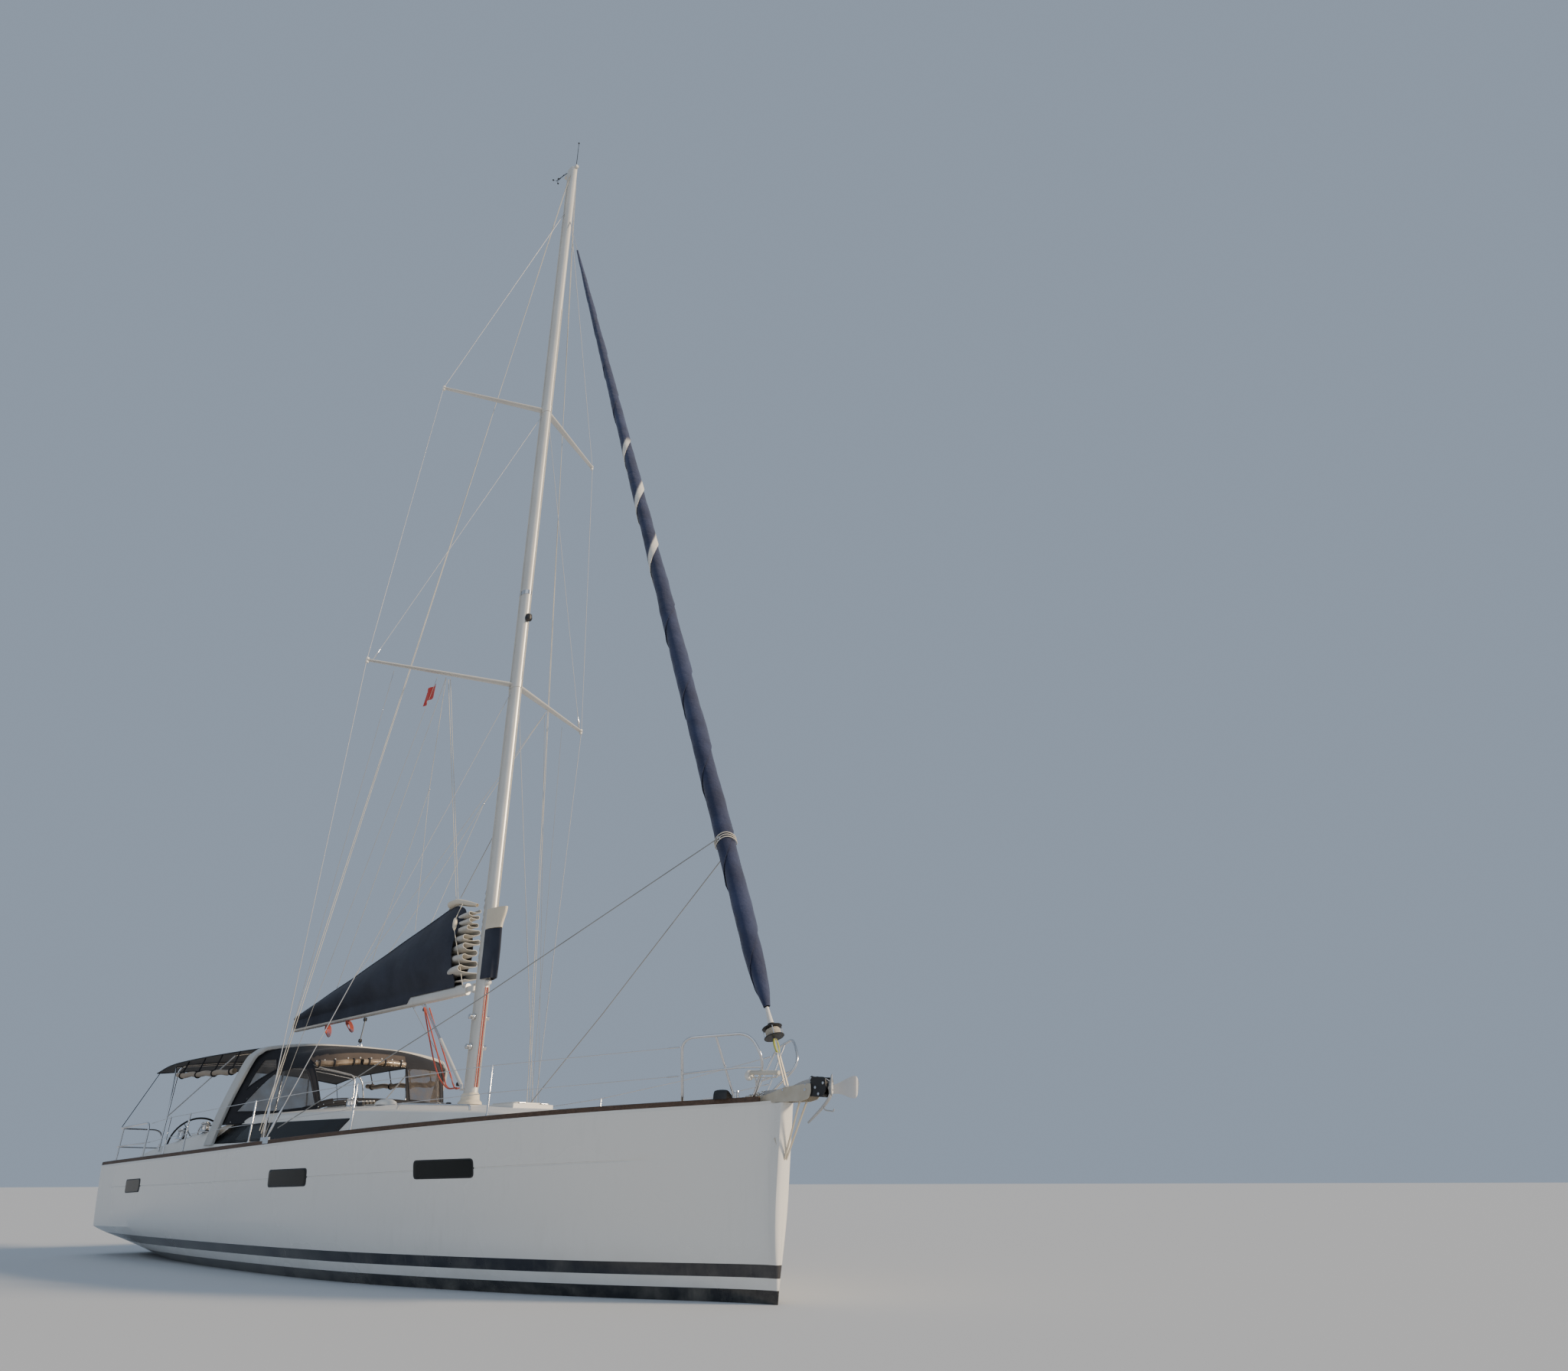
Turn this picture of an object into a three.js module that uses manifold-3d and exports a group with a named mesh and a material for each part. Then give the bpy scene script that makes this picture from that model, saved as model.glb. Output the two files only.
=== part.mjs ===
// A cruising sloop of about 14 metres, with a coachroof, a cockpit arch and two steering wheels.
// Millimetres. +X runs forward, +Y to port, +Z up. The origin is amidships at the waterline.
import * as THREE from 'three';
import { mergeVertices } from 'three/addons/utils/BufferGeometryUtils.js';
import Module from 'manifold-3d';

const wasm = await Module();
wasm.setup();

// Driving dimensions
const STEM_X = 7080;
const TRANSOM_X = -7080;
const BOW_SHEER = 1747;
const MID_SHEER = 1484;
const STERN_SHEER = 1304;
const STEM_RAKE = 0.086;
const FOREFOOT_CURVE = 0.0025;
const STEM_RAKE_STARTS_X = 5000;
const DECK_THICK = 28;
const DECK_CAMBER = 45;
const RAIL_WIDE = 24;
const RAIL_HIGH = 50;
const GAP = 0.3;
const CLEAR = 12;
const MAST_FOOT = { x: 1060, z: 2020 };
const MAST_TOP = 20540;
const MAST_RAKE = 0.0123;
const MAST_LONG = 260;
const MAST_WIDE = 150;
const KEEL_FOOT = -2150;
const BOOM_AXIS_X = 800;
const BOOM_TOP = 3665;
const BOOM_BOTTOM = 3500;
const BOOM_END_X = -5200;
const WHEEL = { x: -5670, y: 1100, z: 1590, radius: 475 };
const RUDDER_STOCK_X = -5750;
const SEAT_HEIGHT = 1420;
const SOLE_HEIGHT = 980;

// Hull stations. Columns: x, half breadth at deck, half breadth of chine, height of chine,
// height of the bottom on the centre line, turn of the bilge in degrees, vee of the bottom.
const HULL_STATIONS = [
  [7080, 20, 16, 640, -160, 85, 1.5],
  [6800, 125, 85, 640, -290, 85, 1.5],
  [6400, 360, 255, 630, -380, 85, 1.45],
  [5800, 715, 545, 620, -470, 86, 1.35],
  [5000, 1100, 905, 600, -550, 87, 1.25],
  [4000, 1435, 1250, 590, -610, 88, 1.15],
  [2800, 1715, 1560, 570, -650, 88, 1.08],
  [1400, 1935, 1820, 550, -665, 86, 1],
  [0, 2045, 1955, 530, -655, 80, 0.97],
  [-1500, 2095, 2020, 505, -600, 74, 0.95],
  [-3000, 2115, 2045, 480, -500, 69, 0.95],
  [-4500, 2120, 2045, 455, -350, 65, 0.95],
  [-5800, 2105, 2020, 435, -150, 62, 0.95],
  [-7080, 2060, 1965, 420, 55, 60, 0.95],
];

// Coachroof and coaming stations. Columns: x, half breadth at the side deck,
// half breadth of the shoulder, height of the shoulder, height of the crown.
const ROOF_STATIONS = [
  [4300, 700, 640, 1700, 1722],
  [3600, 1210, 1110, 1760, 1815],
  [2400, 1390, 1270, 1812, 1905],
  [1060, 1520, 1385, 1868, 2005],
  [-840, 1600, 1440, 1925, 2070],
  [-2600, 1680, 1500, 1950, 2090],
  [-3400, 1810, 1640, 1800, 1880],
  [-4500, 1840, 1690, 1700, 1760],
  [-5700, 1820, 1690, 1590, 1640],
  [-6500, 1780, 1670, 1480, 1510],
  [-6760, 1740, 1640, 1385, 1400],
];

// Small geometry tools

function sheer(x) {
  const s = (STEM_X - x) / (STEM_X - TRANSOM_X);
  return BOW_SHEER * (1 - s) * (1 - 2 * s) + 4 * MID_SHEER * s * (1 - s) + STERN_SHEER * s * (2 * s - 1);
}

function mix(a, b, t) {
  return a + (b - a) * t;
}

function rowAt(table, x) {
  for (let i = 1; i < table.length; i++) {
    if (x >= table[i][0]) {
      const t = (table[i - 1][0] - x) / (table[i - 1][0] - table[i][0]);
      return table[i].map((value, column) => mix(table[i - 1][column], value, t));
    }
  }
  return table[table.length - 1];
}

function deckHalf(x) {
  return rowAt(HULL_STATIONS, x)[1];
}

function mastX(z) {
  return MAST_FOOT.x - MAST_RAKE * (z - MAST_FOOT.z);
}

function at(x, y, z) {
  return new THREE.Vector3(x, y, z);
}

function geometryFrom(points, triangles) {
  const geometry = new THREE.BufferGeometry();
  geometry.setAttribute('position', new THREE.Float32BufferAttribute(points.flatMap((p) => [p.x, p.y, p.z]), 3));
  geometry.setIndex(triangles.flat());
  return geometry;
}

function signedVolume(points, triangles) {
  let sum = 0;
  for (const [a, b, c] of triangles) {
    sum += points[a].dot(points[b].clone().cross(points[c]));
  }
  return sum / 6;
}

function walls(rings) {
  const count = rings[0].length;
  const triangles = [];
  for (let r = 0; r + 1 < rings.length; r++) {
    for (let i = 0; i < count; i++) {
      const a = r * count + i;
      const b = r * count + (i + 1) % count;
      // The second half's diagonals mirror the first half's, so that both sides of a hull match.
      if (i < count / 2) {
        triangles.push([a, b, b + count], [a, b + count, a + count]);
      } else {
        triangles.push([a, b, a + count], [b, b + count, a + count]);
      }
    }
  }
  return triangles;
}

function outward(points, triangles) {
  const inside = signedVolume(points, triangles) < 0;
  return geometryFrom(points, inside ? triangles.map(([a, b, c]) => [a, c, b]) : triangles);
}

// Rings of the same count of points, joined by walls and closed by a flat cap at each end.
// flatAxes names the two axes in which the caps are drawn.
function loft(rings, flatAxes = ['y', 'z']) {
  const points = rings.flat();
  const count = rings[0].length;
  const triangles = walls(rings);
  const [u, v] = flatAxes;
  const area = (outline) => THREE.ShapeUtils.area(outline);
  for (const [start, wanted] of [[0, -1], [(rings.length - 1) * count, 1]]) {
    const outline = points.slice(start, start + count).map((p) => new THREE.Vector2(p[u], p[v]));
    const winding = Math.sign(area(outline)) * wanted;
    for (const face of THREE.ShapeUtils.triangulateShape(outline, [])) {
      const agrees = Math.sign(area(face.map((k) => outline[k]))) === winding;
      const [a, b, c] = face.map((k) => k + start);
      triangles.push(agrees ? [a, b, c] : [a, c, b]);
    }
  }
  return outward(points, triangles);
}

// A pipe or bar of even round section that follows a bent line.
function pipe(path, radius, sides = 8) {
  const side = at(0, 0, 0);
  const rings = path.map((point, i) => {
    const ahead = path[Math.min(i + 1, path.length - 1)].clone().sub(point).normalize();
    const behind = point.clone().sub(path[Math.max(i - 1, 0)]).normalize();
    const along = ahead.add(behind).normalize();
    if (i === 0) {
      side.crossVectors(along, Math.abs(along.z) < 0.9 ? at(0, 0, 1) : at(1, 0, 0));
    }
    side.addScaledVector(along, -side.dot(along)).normalize();
    const up = along.clone().cross(side);
    return Array.from({ length: sides }, (_, k) => {
      const angle = (2 * Math.PI * k) / sides;
      const out = side.clone().multiplyScalar(Math.cos(angle) * radius);
      return point.clone().add(out).addScaledVector(up, Math.sin(angle) * radius);
    });
  });
  const triangles = walls(rings);
  const last = (rings.length - 1) * sides;
  for (let i = 1; i + 1 < sides; i++) {
    triangles.push([0, i + 1, i], [last, last + i, last + i + 1]);
  }
  return outward(rings.flat(), triangles);
}

// The corners of a bent line, rounded off by short curves.
function rounded(corners, radius, steps = 2) {
  const path = [corners[0]];
  for (let i = 1; i + 1 < corners.length; i++) {
    const back = corners[i - 1].clone().sub(corners[i]);
    const on = corners[i + 1].clone().sub(corners[i]);
    const reach = Math.min(radius, back.length() * 0.45, on.length() * 0.45);
    const start = corners[i].clone().addScaledVector(back.normalize(), reach);
    const finish = corners[i].clone().addScaledVector(on.normalize(), reach);
    const curve = new THREE.QuadraticBezierCurve3(start, corners[i], finish);
    path.push(...curve.getPoints(steps));
  }
  path.push(corners[corners.length - 1]);
  return path;
}

function box(low, high) {
  const geometry = new THREE.BoxGeometry(high[0] - low[0], high[1] - low[1], high[2] - low[2]);
  geometry.translate((low[0] + high[0]) / 2, (low[1] + high[1]) / 2, (low[2] + high[2]) / 2);
  return geometry;
}

function rod(from, to, radius, sides = 8) {
  const length = from.distanceTo(to);
  const geometry = new THREE.CylinderGeometry(radius, radius, length, sides);
  geometry.translate(0, length / 2, 0);
  const turn = new THREE.Quaternion().setFromUnitVectors(at(0, 1, 0), to.clone().sub(from).normalize());
  geometry.applyQuaternion(turn);
  geometry.translate(from.x, from.y, from.z);
  return geometry;
}

// A turned piece about the line through a point; the profile's columns are radius and place along.
function turned(profile, point, along, sides) {
  const geometry = new THREE.LatheGeometry(profile.map(([r, s]) => new THREE.Vector2(r, s)), sides);
  const turn = new THREE.Quaternion().setFromUnitVectors(at(0, 1, 0), along.clone().normalize());
  geometry.applyQuaternion(turn);
  geometry.translate(point.x, point.y, point.z);
  return geometry;
}

function moved(geometry, x, y, z) {
  const copy = geometry.clone();
  copy.translate(x, y, z);
  return copy;
}

function mirrored(geometry) {
  const copy = geometry.clone();
  copy.scale(1, -1, 1);
  const index = copy.index.array;
  for (let i = 0; i < index.length; i += 3) {
    [index[i + 1], index[i + 2]] = [index[i + 2], index[i + 1]];
  }
  return copy;
}

function solid(geometry) {
  const plain = geometry.clone();
  plain.deleteAttribute('normal');
  plain.deleteAttribute('uv');
  const merged = mergeVertices(plain, 1e-3);
  const faces = [];
  for (let i = 0; i < merged.index.count; i += 3) {
    const [a, b, c] = [0, 1, 2].map((k) => merged.index.getX(i + k));
    if (a !== b && b !== c && c !== a) {
      faces.push(a, b, c);
    }
  }
  return new wasm.Manifold(new wasm.Mesh({
    numProp: 3,
    vertProperties: new Float32Array(merged.attributes.position.array),
    triVerts: new Uint32Array(faces),
  }));
}

function shape(manifold) {
  const mesh = manifold.getMesh();
  const geometry = new THREE.BufferGeometry();
  geometry.setAttribute('position', new THREE.BufferAttribute(new Float32Array(mesh.vertProperties), 3));
  geometry.setIndex(new THREE.BufferAttribute(new Uint32Array(mesh.triVerts), 1));
  return geometry;
}

function join(...geometries) {
  return shape(geometries.map(solid).reduce((sum, next) => sum.add(next)));
}

function cut(geometry, ...tools) {
  return shape(tools.map(solid).reduce((rest, tool) => rest.subtract(tool), solid(geometry)));
}

function common(a, b) {
  return shape(solid(a).intersect(solid(b)));
}


// Materials
const paint = (color, roughness, metalness = 0) => new THREE.MeshStandardMaterial({ color, roughness, metalness });
const GELCOAT = paint(0xe9e6df, 0.3);
const IRON_PAINT = paint(0x16181c, 0.6);
const TIMBER = paint(0x3a281d, 0.7);
const DARK_GLASS = paint(0x0b0d10, 0.08);
const SPAR = paint(0xcfcabf, 0.4, 0.6);
const STEEL = paint(0xc9ccd0, 0.25, 0.9);
const CANVAS = paint(0x1b2236, 0.9);
const RUNNING_GEAR = paint(0x9a7a45, 0.35, 0.8);
const BLACK_FITTING = paint(0x15161a, 0.5);
const ANCHOR_ZINC = paint(0xb9bcc0, 0.5, 0.8);
const WHEEL_LEATHER = paint(0x1a1a1c, 0.7);

const yacht = new THREE.Group();

function add(name, geometry, material) {
  const mesh = new THREE.Mesh(geometry, material);
  mesh.name = name;
  yacht.add(mesh);
  return geometry;
}

function addPair(name, starboardGeometry, material) {
  add(`${name}_starboard`, starboardGeometry, material);
  add(`${name}_port`, mirrored(starboardGeometry), material);
}

// Hull

const BOTTOM_STEPS = 6;

function hullRing([x, deck, chine, chineZ, keelZ, turnDegrees, vee]) {
  const turn = THREE.MathUtils.degToRad(turnDegrees);
  const reach = Math.max(0, (x - STEM_RAKE_STARTS_X) / (STEM_X - STEM_RAKE_STARTS_X));
  const shift = (z) => reach * reach * (-(BOW_SHEER - z) * STEM_RAKE - FOREFOOT_CURVE * Math.min(z, 0) ** 2);
  const half = [];
  for (let i = 0; i <= BOTTOM_STEPS; i++) {
    const t = (turn * i) / BOTTOM_STEPS;
    const y = chine * (Math.sin(t) / Math.sin(turn)) ** vee;
    half.push([y, mix(keelZ, chineZ, (1 - Math.cos(t)) / (1 - Math.cos(turn)))]);
  }
  half.push([deck * 0.55 + chine * 0.45, mix(chineZ, sheer(x), 0.5)]);
  half.push([deck, sheer(x)]);
  const starboard = half.map(([y, z]) => at(x + shift(z), -y, z));
  const port = half.slice(1).reverse().map(([y, z]) => at(x + shift(z), y, z));
  return [...starboard, ...port];
}

const hullBody = loft(HULL_STATIONS.map(hullRing));

// Deck: a cambered plate on the hull, joined with the coachroof and the cockpit coamings.

function symmetric(x, half) {
  const starboard = half.map(([y, z]) => at(x, -y, z));
  const port = half.slice(1, -1).reverse().map(([y, z]) => at(x, y, z));
  return [...starboard, ...port];
}

function deckRing([x, deck]) {
  const low = sheer(x) + GAP;
  const top = low + DECK_THICK;
  const inner = Math.max(deck - RAIL_WIDE - 2, deck * 0.5);
  const camber = (DECK_CAMBER * inner) / 2100;
  return symmetric(x, [
    [0, low], [deck, low], [deck, top], [inner, top], [inner * 0.5, top + camber * 0.75], [0, top + camber],
  ]);
}

function roofRing([x, base, shoulder, shoulderZ, crownZ]) {
  const low = sheer(x) + DECK_THICK / 2;
  return symmetric(x, [
    [0, low], [base, low],
    [mix(base, shoulder, 0.85), mix(low, shoulderZ, 0.86)],
    [shoulder - 40, shoulderZ + 8],
    [shoulder * 0.5, mix(shoulderZ, crownZ, 0.76)],
    [0, crownZ],
  ]);
}

const roofBody = loft(ROOF_STATIONS.map(roofRing));

// Cockpit well: the seats' recess, the footwell between them and the helm's sole behind them.
const seatRecess = box([-5000, -1500, SEAT_HEIGHT], [-2850, 1500, 2700]);
const footwell = box([-5001, -430, SOLE_HEIGHT], [-2850, 430, 2700]);
const helmWell = box([-6650, -1590, SOLE_HEIGHT], [-5000, 1590, 2700]);
const wells = join(seatRecess, footwell, helmWell);

// Lids: a flat pad on the deck carries each one, with knuckles on one edge for its hinge pins.
const LID_THICK = 22;
const PAD_DEEP = 60;
const PAD_MARGIN = 24;
const KNUCKLE_RADIUS = 9;
const KNUCKLE_LENGTH = 45;
const HINGE_SET_OUT = 16;

// hinge is +1 where the pins lie at the lid's forward edge and -1 where they lie aft.
function hatch(name, low, high, padTop, hinge, material) {
  const lidLow = padTop + GAP;
  const axisX = (hinge > 0 ? high[0] : low[0]) + hinge * HINGE_SET_OUT;
  const axisZ = lidLow + LID_THICK / 2;
  let pad = box([low[0] - PAD_MARGIN, low[1] - PAD_MARGIN, padTop - PAD_DEEP],
    [high[0] + PAD_MARGIN, high[1] + PAD_MARGIN, padTop]);
  let lid = box([low[0], low[1], lidLow], [high[0], high[1], lidLow + LID_THICK]);
  for (const side of [-1, 1]) {
    const y = (low[1] + high[1]) / 2 + side * (high[1] - low[1]) * 0.3;
    const fixed = rod(at(axisX, y, axisZ), at(axisX, y + side * KNUCKLE_LENGTH, axisZ), KNUCKLE_RADIUS);
    const foot = box([axisX - 6, Math.min(y, y + side * KNUCKLE_LENGTH), padTop - 20],
      [axisX + 6, Math.max(y, y + side * KNUCKLE_LENGTH), axisZ]);
    pad = join(pad, fixed, foot);
    const inner = y - side * GAP;
    const outer = inner - side * KNUCKLE_LENGTH;
    const moving = rod(at(axisX, inner, axisZ), at(axisX, outer, axisZ), KNUCKLE_RADIUS);
    const arm = box([Math.min(axisX, axisX - hinge * (HINGE_SET_OUT + 20)), Math.min(inner, outer), axisZ - 5],
      [Math.max(axisX, axisX - hinge * (HINGE_SET_OUT + 20)), Math.max(inner, outer), axisZ + 5]);
    lid = join(lid, moving, arm);
  }
  add(name, lid, material);
  return pad;
}

const forePad = hatch('fore_hatch', [4520, -270], [5060, 270], 1742, 1, DARK_GLASS);
const saloonPad = hatch('saloon_hatch', [2050, -270], [2590, 270], 1938, 1, DARK_GLASS);
const lockerPad = hatch('anchor_locker_lid', [5420, -330], [6080, 330], 1776, -1, GELCOAT);

// Companionway: a garage on the roof whose flat top carries the sliding hatch.
const GARAGE_TOP = 2112;
const garage = box([-2600, -390, 1980], [-1300, 390, GARAGE_TOP]);
add('companionway_hatch', box([-2600, -350, GARAGE_TOP + GAP], [-2000, 350, GARAGE_TOP + GAP + 24]), DARK_GLASS);

const deckPlate = loft(HULL_STATIONS.map(deckRing));
const deckWhole = cut(join(deckPlate, roofBody, forePad, saloonPad, lockerPad, garage), wells);

// Deck and hull as one block, lifted by the seat's gap: whatever stands on the deck is cut off by it.
const ground = moved(join(deckWhole, cut(moved(hullBody, 0, 0, 1), wells)), 0, 0, GAP);

// Long dark windows in the coachroof's sides, let in flush.
const WINDOW_DEEP = 9;
const windowOutline = (grow) => {
  const corners = [[-3310, 1575], [420, 1590], [640, 1800], [-2900, 1842]];
  const centre = { x: -1300, z: 1700 };
  const outline = corners.map(([x, z]) => [
    x + Math.sign(x - centre.x) * 3 * grow, z + Math.sign(z - centre.z) * grow,
  ]);
  return loft([-1990, -1250].map((y) => outline.map(([x, z]) => at(x, y, z))), ['x', 'z']);
};
const roofInset = (depth) => moved(roofBody, 0, depth, 0);
const sideWindow = common(cut(windowOutline(0), roofInset(WINDOW_DEEP)), roofBody);
const windowRecess = cut(windowOutline(GAP), roofInset(WINDOW_DEEP + GAP));
const deck = cut(deckWhole, windowRecess, mirrored(windowRecess));
addPair('coachroof_window', sideWindow, DARK_GLASS);

// Bathing platform: a panel let into the transom, hinged along its lower edge.
const PLATFORM = { half: 1150, low: 330, high: 1240, thick: 60 };
const platformRecess = box([TRANSOM_X - 10, -PLATFORM.half - CLEAR, PLATFORM.low - CLEAR / 2],
  [TRANSOM_X + PLATFORM.thick + CLEAR, PLATFORM.half + CLEAR, PLATFORM.high + CLEAR]);
const PLATFORM_AXIS = at(TRANSOM_X - 20, 0, PLATFORM.low - 20);
let platform = box([TRANSOM_X, -PLATFORM.half, PLATFORM.low],
  [TRANSOM_X + PLATFORM.thick, PLATFORM.half, PLATFORM.high]);
let transomLugs = null;
for (const side of [-1, 1]) {
  const y = side * 800;
  const knuckle = rod(PLATFORM_AXIS.clone().setY(y), PLATFORM_AXIS.clone().setY(y + side * 90), 14);
  const lug = box([PLATFORM_AXIS.x - 4, Math.min(y, y + side * 90), PLATFORM_AXIS.z - 9],
    [TRANSOM_X + 30, Math.max(y, y + side * 90), PLATFORM_AXIS.z + 9]);
  const fixed = join(knuckle, lug);
  transomLugs = transomLugs ? join(transomLugs, fixed) : fixed;
  const inner = y - side * GAP;
  const outer = inner - side * 90;
  const moving = rod(PLATFORM_AXIS.clone().setY(inner), PLATFORM_AXIS.clone().setY(outer), 14);
  const arm = box([PLATFORM_AXIS.x - 7, Math.min(inner, outer), PLATFORM_AXIS.z],
    [PLATFORM_AXIS.x + 7, Math.max(inner, outer), PLATFORM.low + 70]);
  const tie = box([PLATFORM_AXIS.x, Math.min(inner, outer), PLATFORM.low + 40],
    [TRANSOM_X + 20, Math.max(inner, outer), PLATFORM.low + 70]);
  platform = join(platform, moving, arm, tie);
}
add('swim_platform', platform, GELCOAT);

// Rudder bearing: a flat-ended boss under the hull, above the rudder's stock.
const BEARING_FOOT = -245;
const bearing = rod(at(RUDDER_STOCK_X, 0, 0), at(RUDDER_STOCK_X, 0, BEARING_FOOT), 85, 12);
const hull = cut(join(hullBody, bearing, transomLugs), wells, platformRecess);
add('hull', hull, GELCOAT);
add('deck', deck, GELCOAT);

// Toe rails along the deck's edge, with a block at each chainplate.
const CHAINPLATE_X = -490;
const RAIL_FROM_X = 6800;
const railStations = HULL_STATIONS.filter(([x]) => x <= RAIL_FROM_X);
const railLow = (x) => sheer(x) + GAP + DECK_THICK + GAP;
const toeRailStrip = loft(railStations.map(([x, half]) => [
  at(x, -half + RAIL_WIDE, railLow(x)), at(x, -half, railLow(x)),
  at(x, -half, railLow(x) + RAIL_HIGH), at(x, -half + RAIL_WIDE, railLow(x) + RAIL_HIGH),
]));
const CHAIN_TOP = railLow(CHAINPLATE_X) + RAIL_HIGH + 40;
const chainBlock = box([CHAINPLATE_X - 60, -deckHalf(CHAINPLATE_X) + 1, railLow(CHAINPLATE_X) + 12],
  [CHAINPLATE_X + 200, -deckHalf(CHAINPLATE_X) + RAIL_WIDE - 1, CHAIN_TOP]);
const toeRail = join(toeRailStrip, chainBlock);
addPair('toe_rail', toeRail, TIMBER);

// Keel: a fin with a flat-footed bulb.
function finRing(x, chord, half, z) {
  // Columns: share of the chord from the leading edge, share of the half thickness.
  const shares = [[0, 0.12], [0.04, 0.55], [0.15, 0.9], [0.32, 1], [0.6, 0.7], [1, 0.05]];
  const starboard = shares.map(([s, t]) => at(x + chord * (0.5 - s), -half * t, z));
  const port = [...shares].reverse().map(([s, t]) => at(x + chord * (0.5 - s), half * t, z));
  return [...starboard, ...port];
}
const fin = loft([finRing(150, 1900, 130, -400), finRing(60, 1420, 105, KEEL_FOOT + 160)], ['x', 'y']);
// Columns: x, half breadth, height of the top, height of the flat foot.
const bulbRings = [
  [1250, 20, -1990, -2060], [1080, 130, -1900, -2130], [650, 225, -1840, KEEL_FOOT],
  [0, 240, -1835, KEEL_FOOT], [-700, 165, -1880, -2140], [-1250, 18, -1970, -2060],
].map(([x, half, top, foot]) => symmetric(x, [
  [0, foot], [half * 0.55, foot], [half, mix(foot, top, 0.35)], [half * 0.7, mix(foot, top, 0.85)], [0, top],
]));
const hullAbove = moved(hullBody, 0, 0, -GAP);
const keel = cut(join(fin, loft(bulbRings)), hullAbove);
add('keel', keel, IRON_PAINT);

// Rudder: blade and stock on one upright axis.
const blade = loft([
  finRing(RUDDER_STOCK_X - 90, 560, 60, -300),
  finRing(RUDDER_STOCK_X - 90, 520, 55, -900),
  finRing(RUDDER_STOCK_X - 90, 360, 35, -1900),
], ['x', 'y']);
const stock = rod(at(RUDDER_STOCK_X, 0, BEARING_FOOT - GAP), at(RUDDER_STOCK_X, 0, -420), 50, 12);
add('rudder', join(blade, stock), IRON_PAINT);

// Sail drive leg and folding-size propeller.
const DRIVE = { x: -3350, z: -980, tailX: -3560 };
const driveLeg = loft([
  finRing(DRIVE.x + 20, 380, 60, -300),
  finRing(DRIVE.x, 300, 45, DRIVE.z + 20),
], ['x', 'y']);
const driveBulb = turned([
  [0, 0], [30, 4], [58, 60], [70, 180], [66, 300], [48, 360], [0, 360],
], at(DRIVE.tailX + 360, 0, DRIVE.z), at(-1, 0, 0), 10);
const skeg = loft([
  finRing(DRIVE.x - 60, 200, 14, DRIVE.z + 10),
  finRing(DRIVE.x - 80, 120, 10, DRIVE.z - 190),
], ['x', 'y']);
add('sail_drive', cut(join(driveLeg, driveBulb, skeg), hullAbove), BLACK_FITTING);

const PROP_X = DRIVE.tailX - GAP;
let propeller = turned([[0, 0], [46, 0], [46, 70], [22, 130], [0, 135]], at(PROP_X, 0, DRIVE.z), at(-1, 0, 0), 12);
for (let k = 0; k < 3; k++) {
  // Columns: radius, half chord, pitch lean across the chord.
  const bladeRings = [[31, 27, 21], [120, 62, 30], [200, 62, 22], [235, 26, 12]].map(([r, chord, lean]) => [
    at(PROP_X - 45 - lean, -chord, r), at(PROP_X - 45 + 5, 0, r),
    at(PROP_X - 45 + lean, chord, r), at(PROP_X - 45 - 5, 0, r),
  ]);
  const bladeBody = loft(bladeRings, ['y', 'x']);
  bladeBody.rotateX((2 * Math.PI * k) / 3);
  bladeBody.translate(0, 0, DRIVE.z);
  propeller = join(propeller, bladeBody);
}
add('propeller', propeller, RUNNING_GEAR);

// Mast: an oval tube with a crane at its head, a fork for the boom and a lug for the vang's foot.
function mastRing(z, grow = 0) {
  return Array.from({ length: 12 }, (_, k) => {
    const angle = (2 * Math.PI * (k + 0.5)) / 12;
    return at(mastX(z) + (MAST_LONG / 2 + grow) * Math.cos(angle), (MAST_WIDE / 2 + grow) * Math.sin(angle), z);
  });
}
const mastTube = (grow) => loft([mastRing(MAST_FOOT.z - 60, grow), mastRing(MAST_TOP, grow)], ['x', 'y']);
const FORK_LUG = 18;
const forkLug = (z) => join(
  box([BOOM_AXIS_X, -26, z], [mastX(z) - 60, 26, z + FORK_LUG]),
  rod(at(BOOM_AXIS_X, 0, z), at(BOOM_AXIS_X, 0, z + FORK_LUG), 26, 10),
);
const VANG_LUG_Z = 2200;
const crane = box([mastX(MAST_TOP) - 260, -30, MAST_TOP - 50], [mastX(MAST_TOP) + 180, 30, MAST_TOP + 12]);
const AERIAL_TOP = 21300;
const aerial = rod(at(mastX(MAST_TOP) + 130, 0, MAST_TOP), at(mastX(MAST_TOP) + 130, 0, AERIAL_TOP), 9, 6);
const mastWhole = join(mastTube(0), crane, aerial, forkLug(BOOM_BOTTOM + 20), forkLug(BOOM_TOP - 40),
  forkLug(VANG_LUG_Z));
add('mast', cut(mastWhole, ground), SPAR);

// Standing rigging. Each set of spreaders sweeps aft; its tips carry the cap shrouds.
const LOWER_TIP = at(-60, -2045, 8450);
const UPPER_TIP = at(110, -1650, 14030);
const CHAIN_Y = -deckHalf(CHAINPLATE_X) + RAIL_WIDE / 2;
const capFoot = at(CHAINPLATE_X, CHAIN_Y, CHAIN_TOP);
const CAP_RADIUS = 8;
const mastSide = (z) => at(mastX(z), -MAST_WIDE / 2 + 4, z);
const capPath = [capFoot, LOWER_TIP, UPPER_TIP, mastSide(19200)];
const grownMast = mastTube(GAP);
const capShroud = (grow) => pipe(capPath, CAP_RADIUS + grow, 6);

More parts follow.
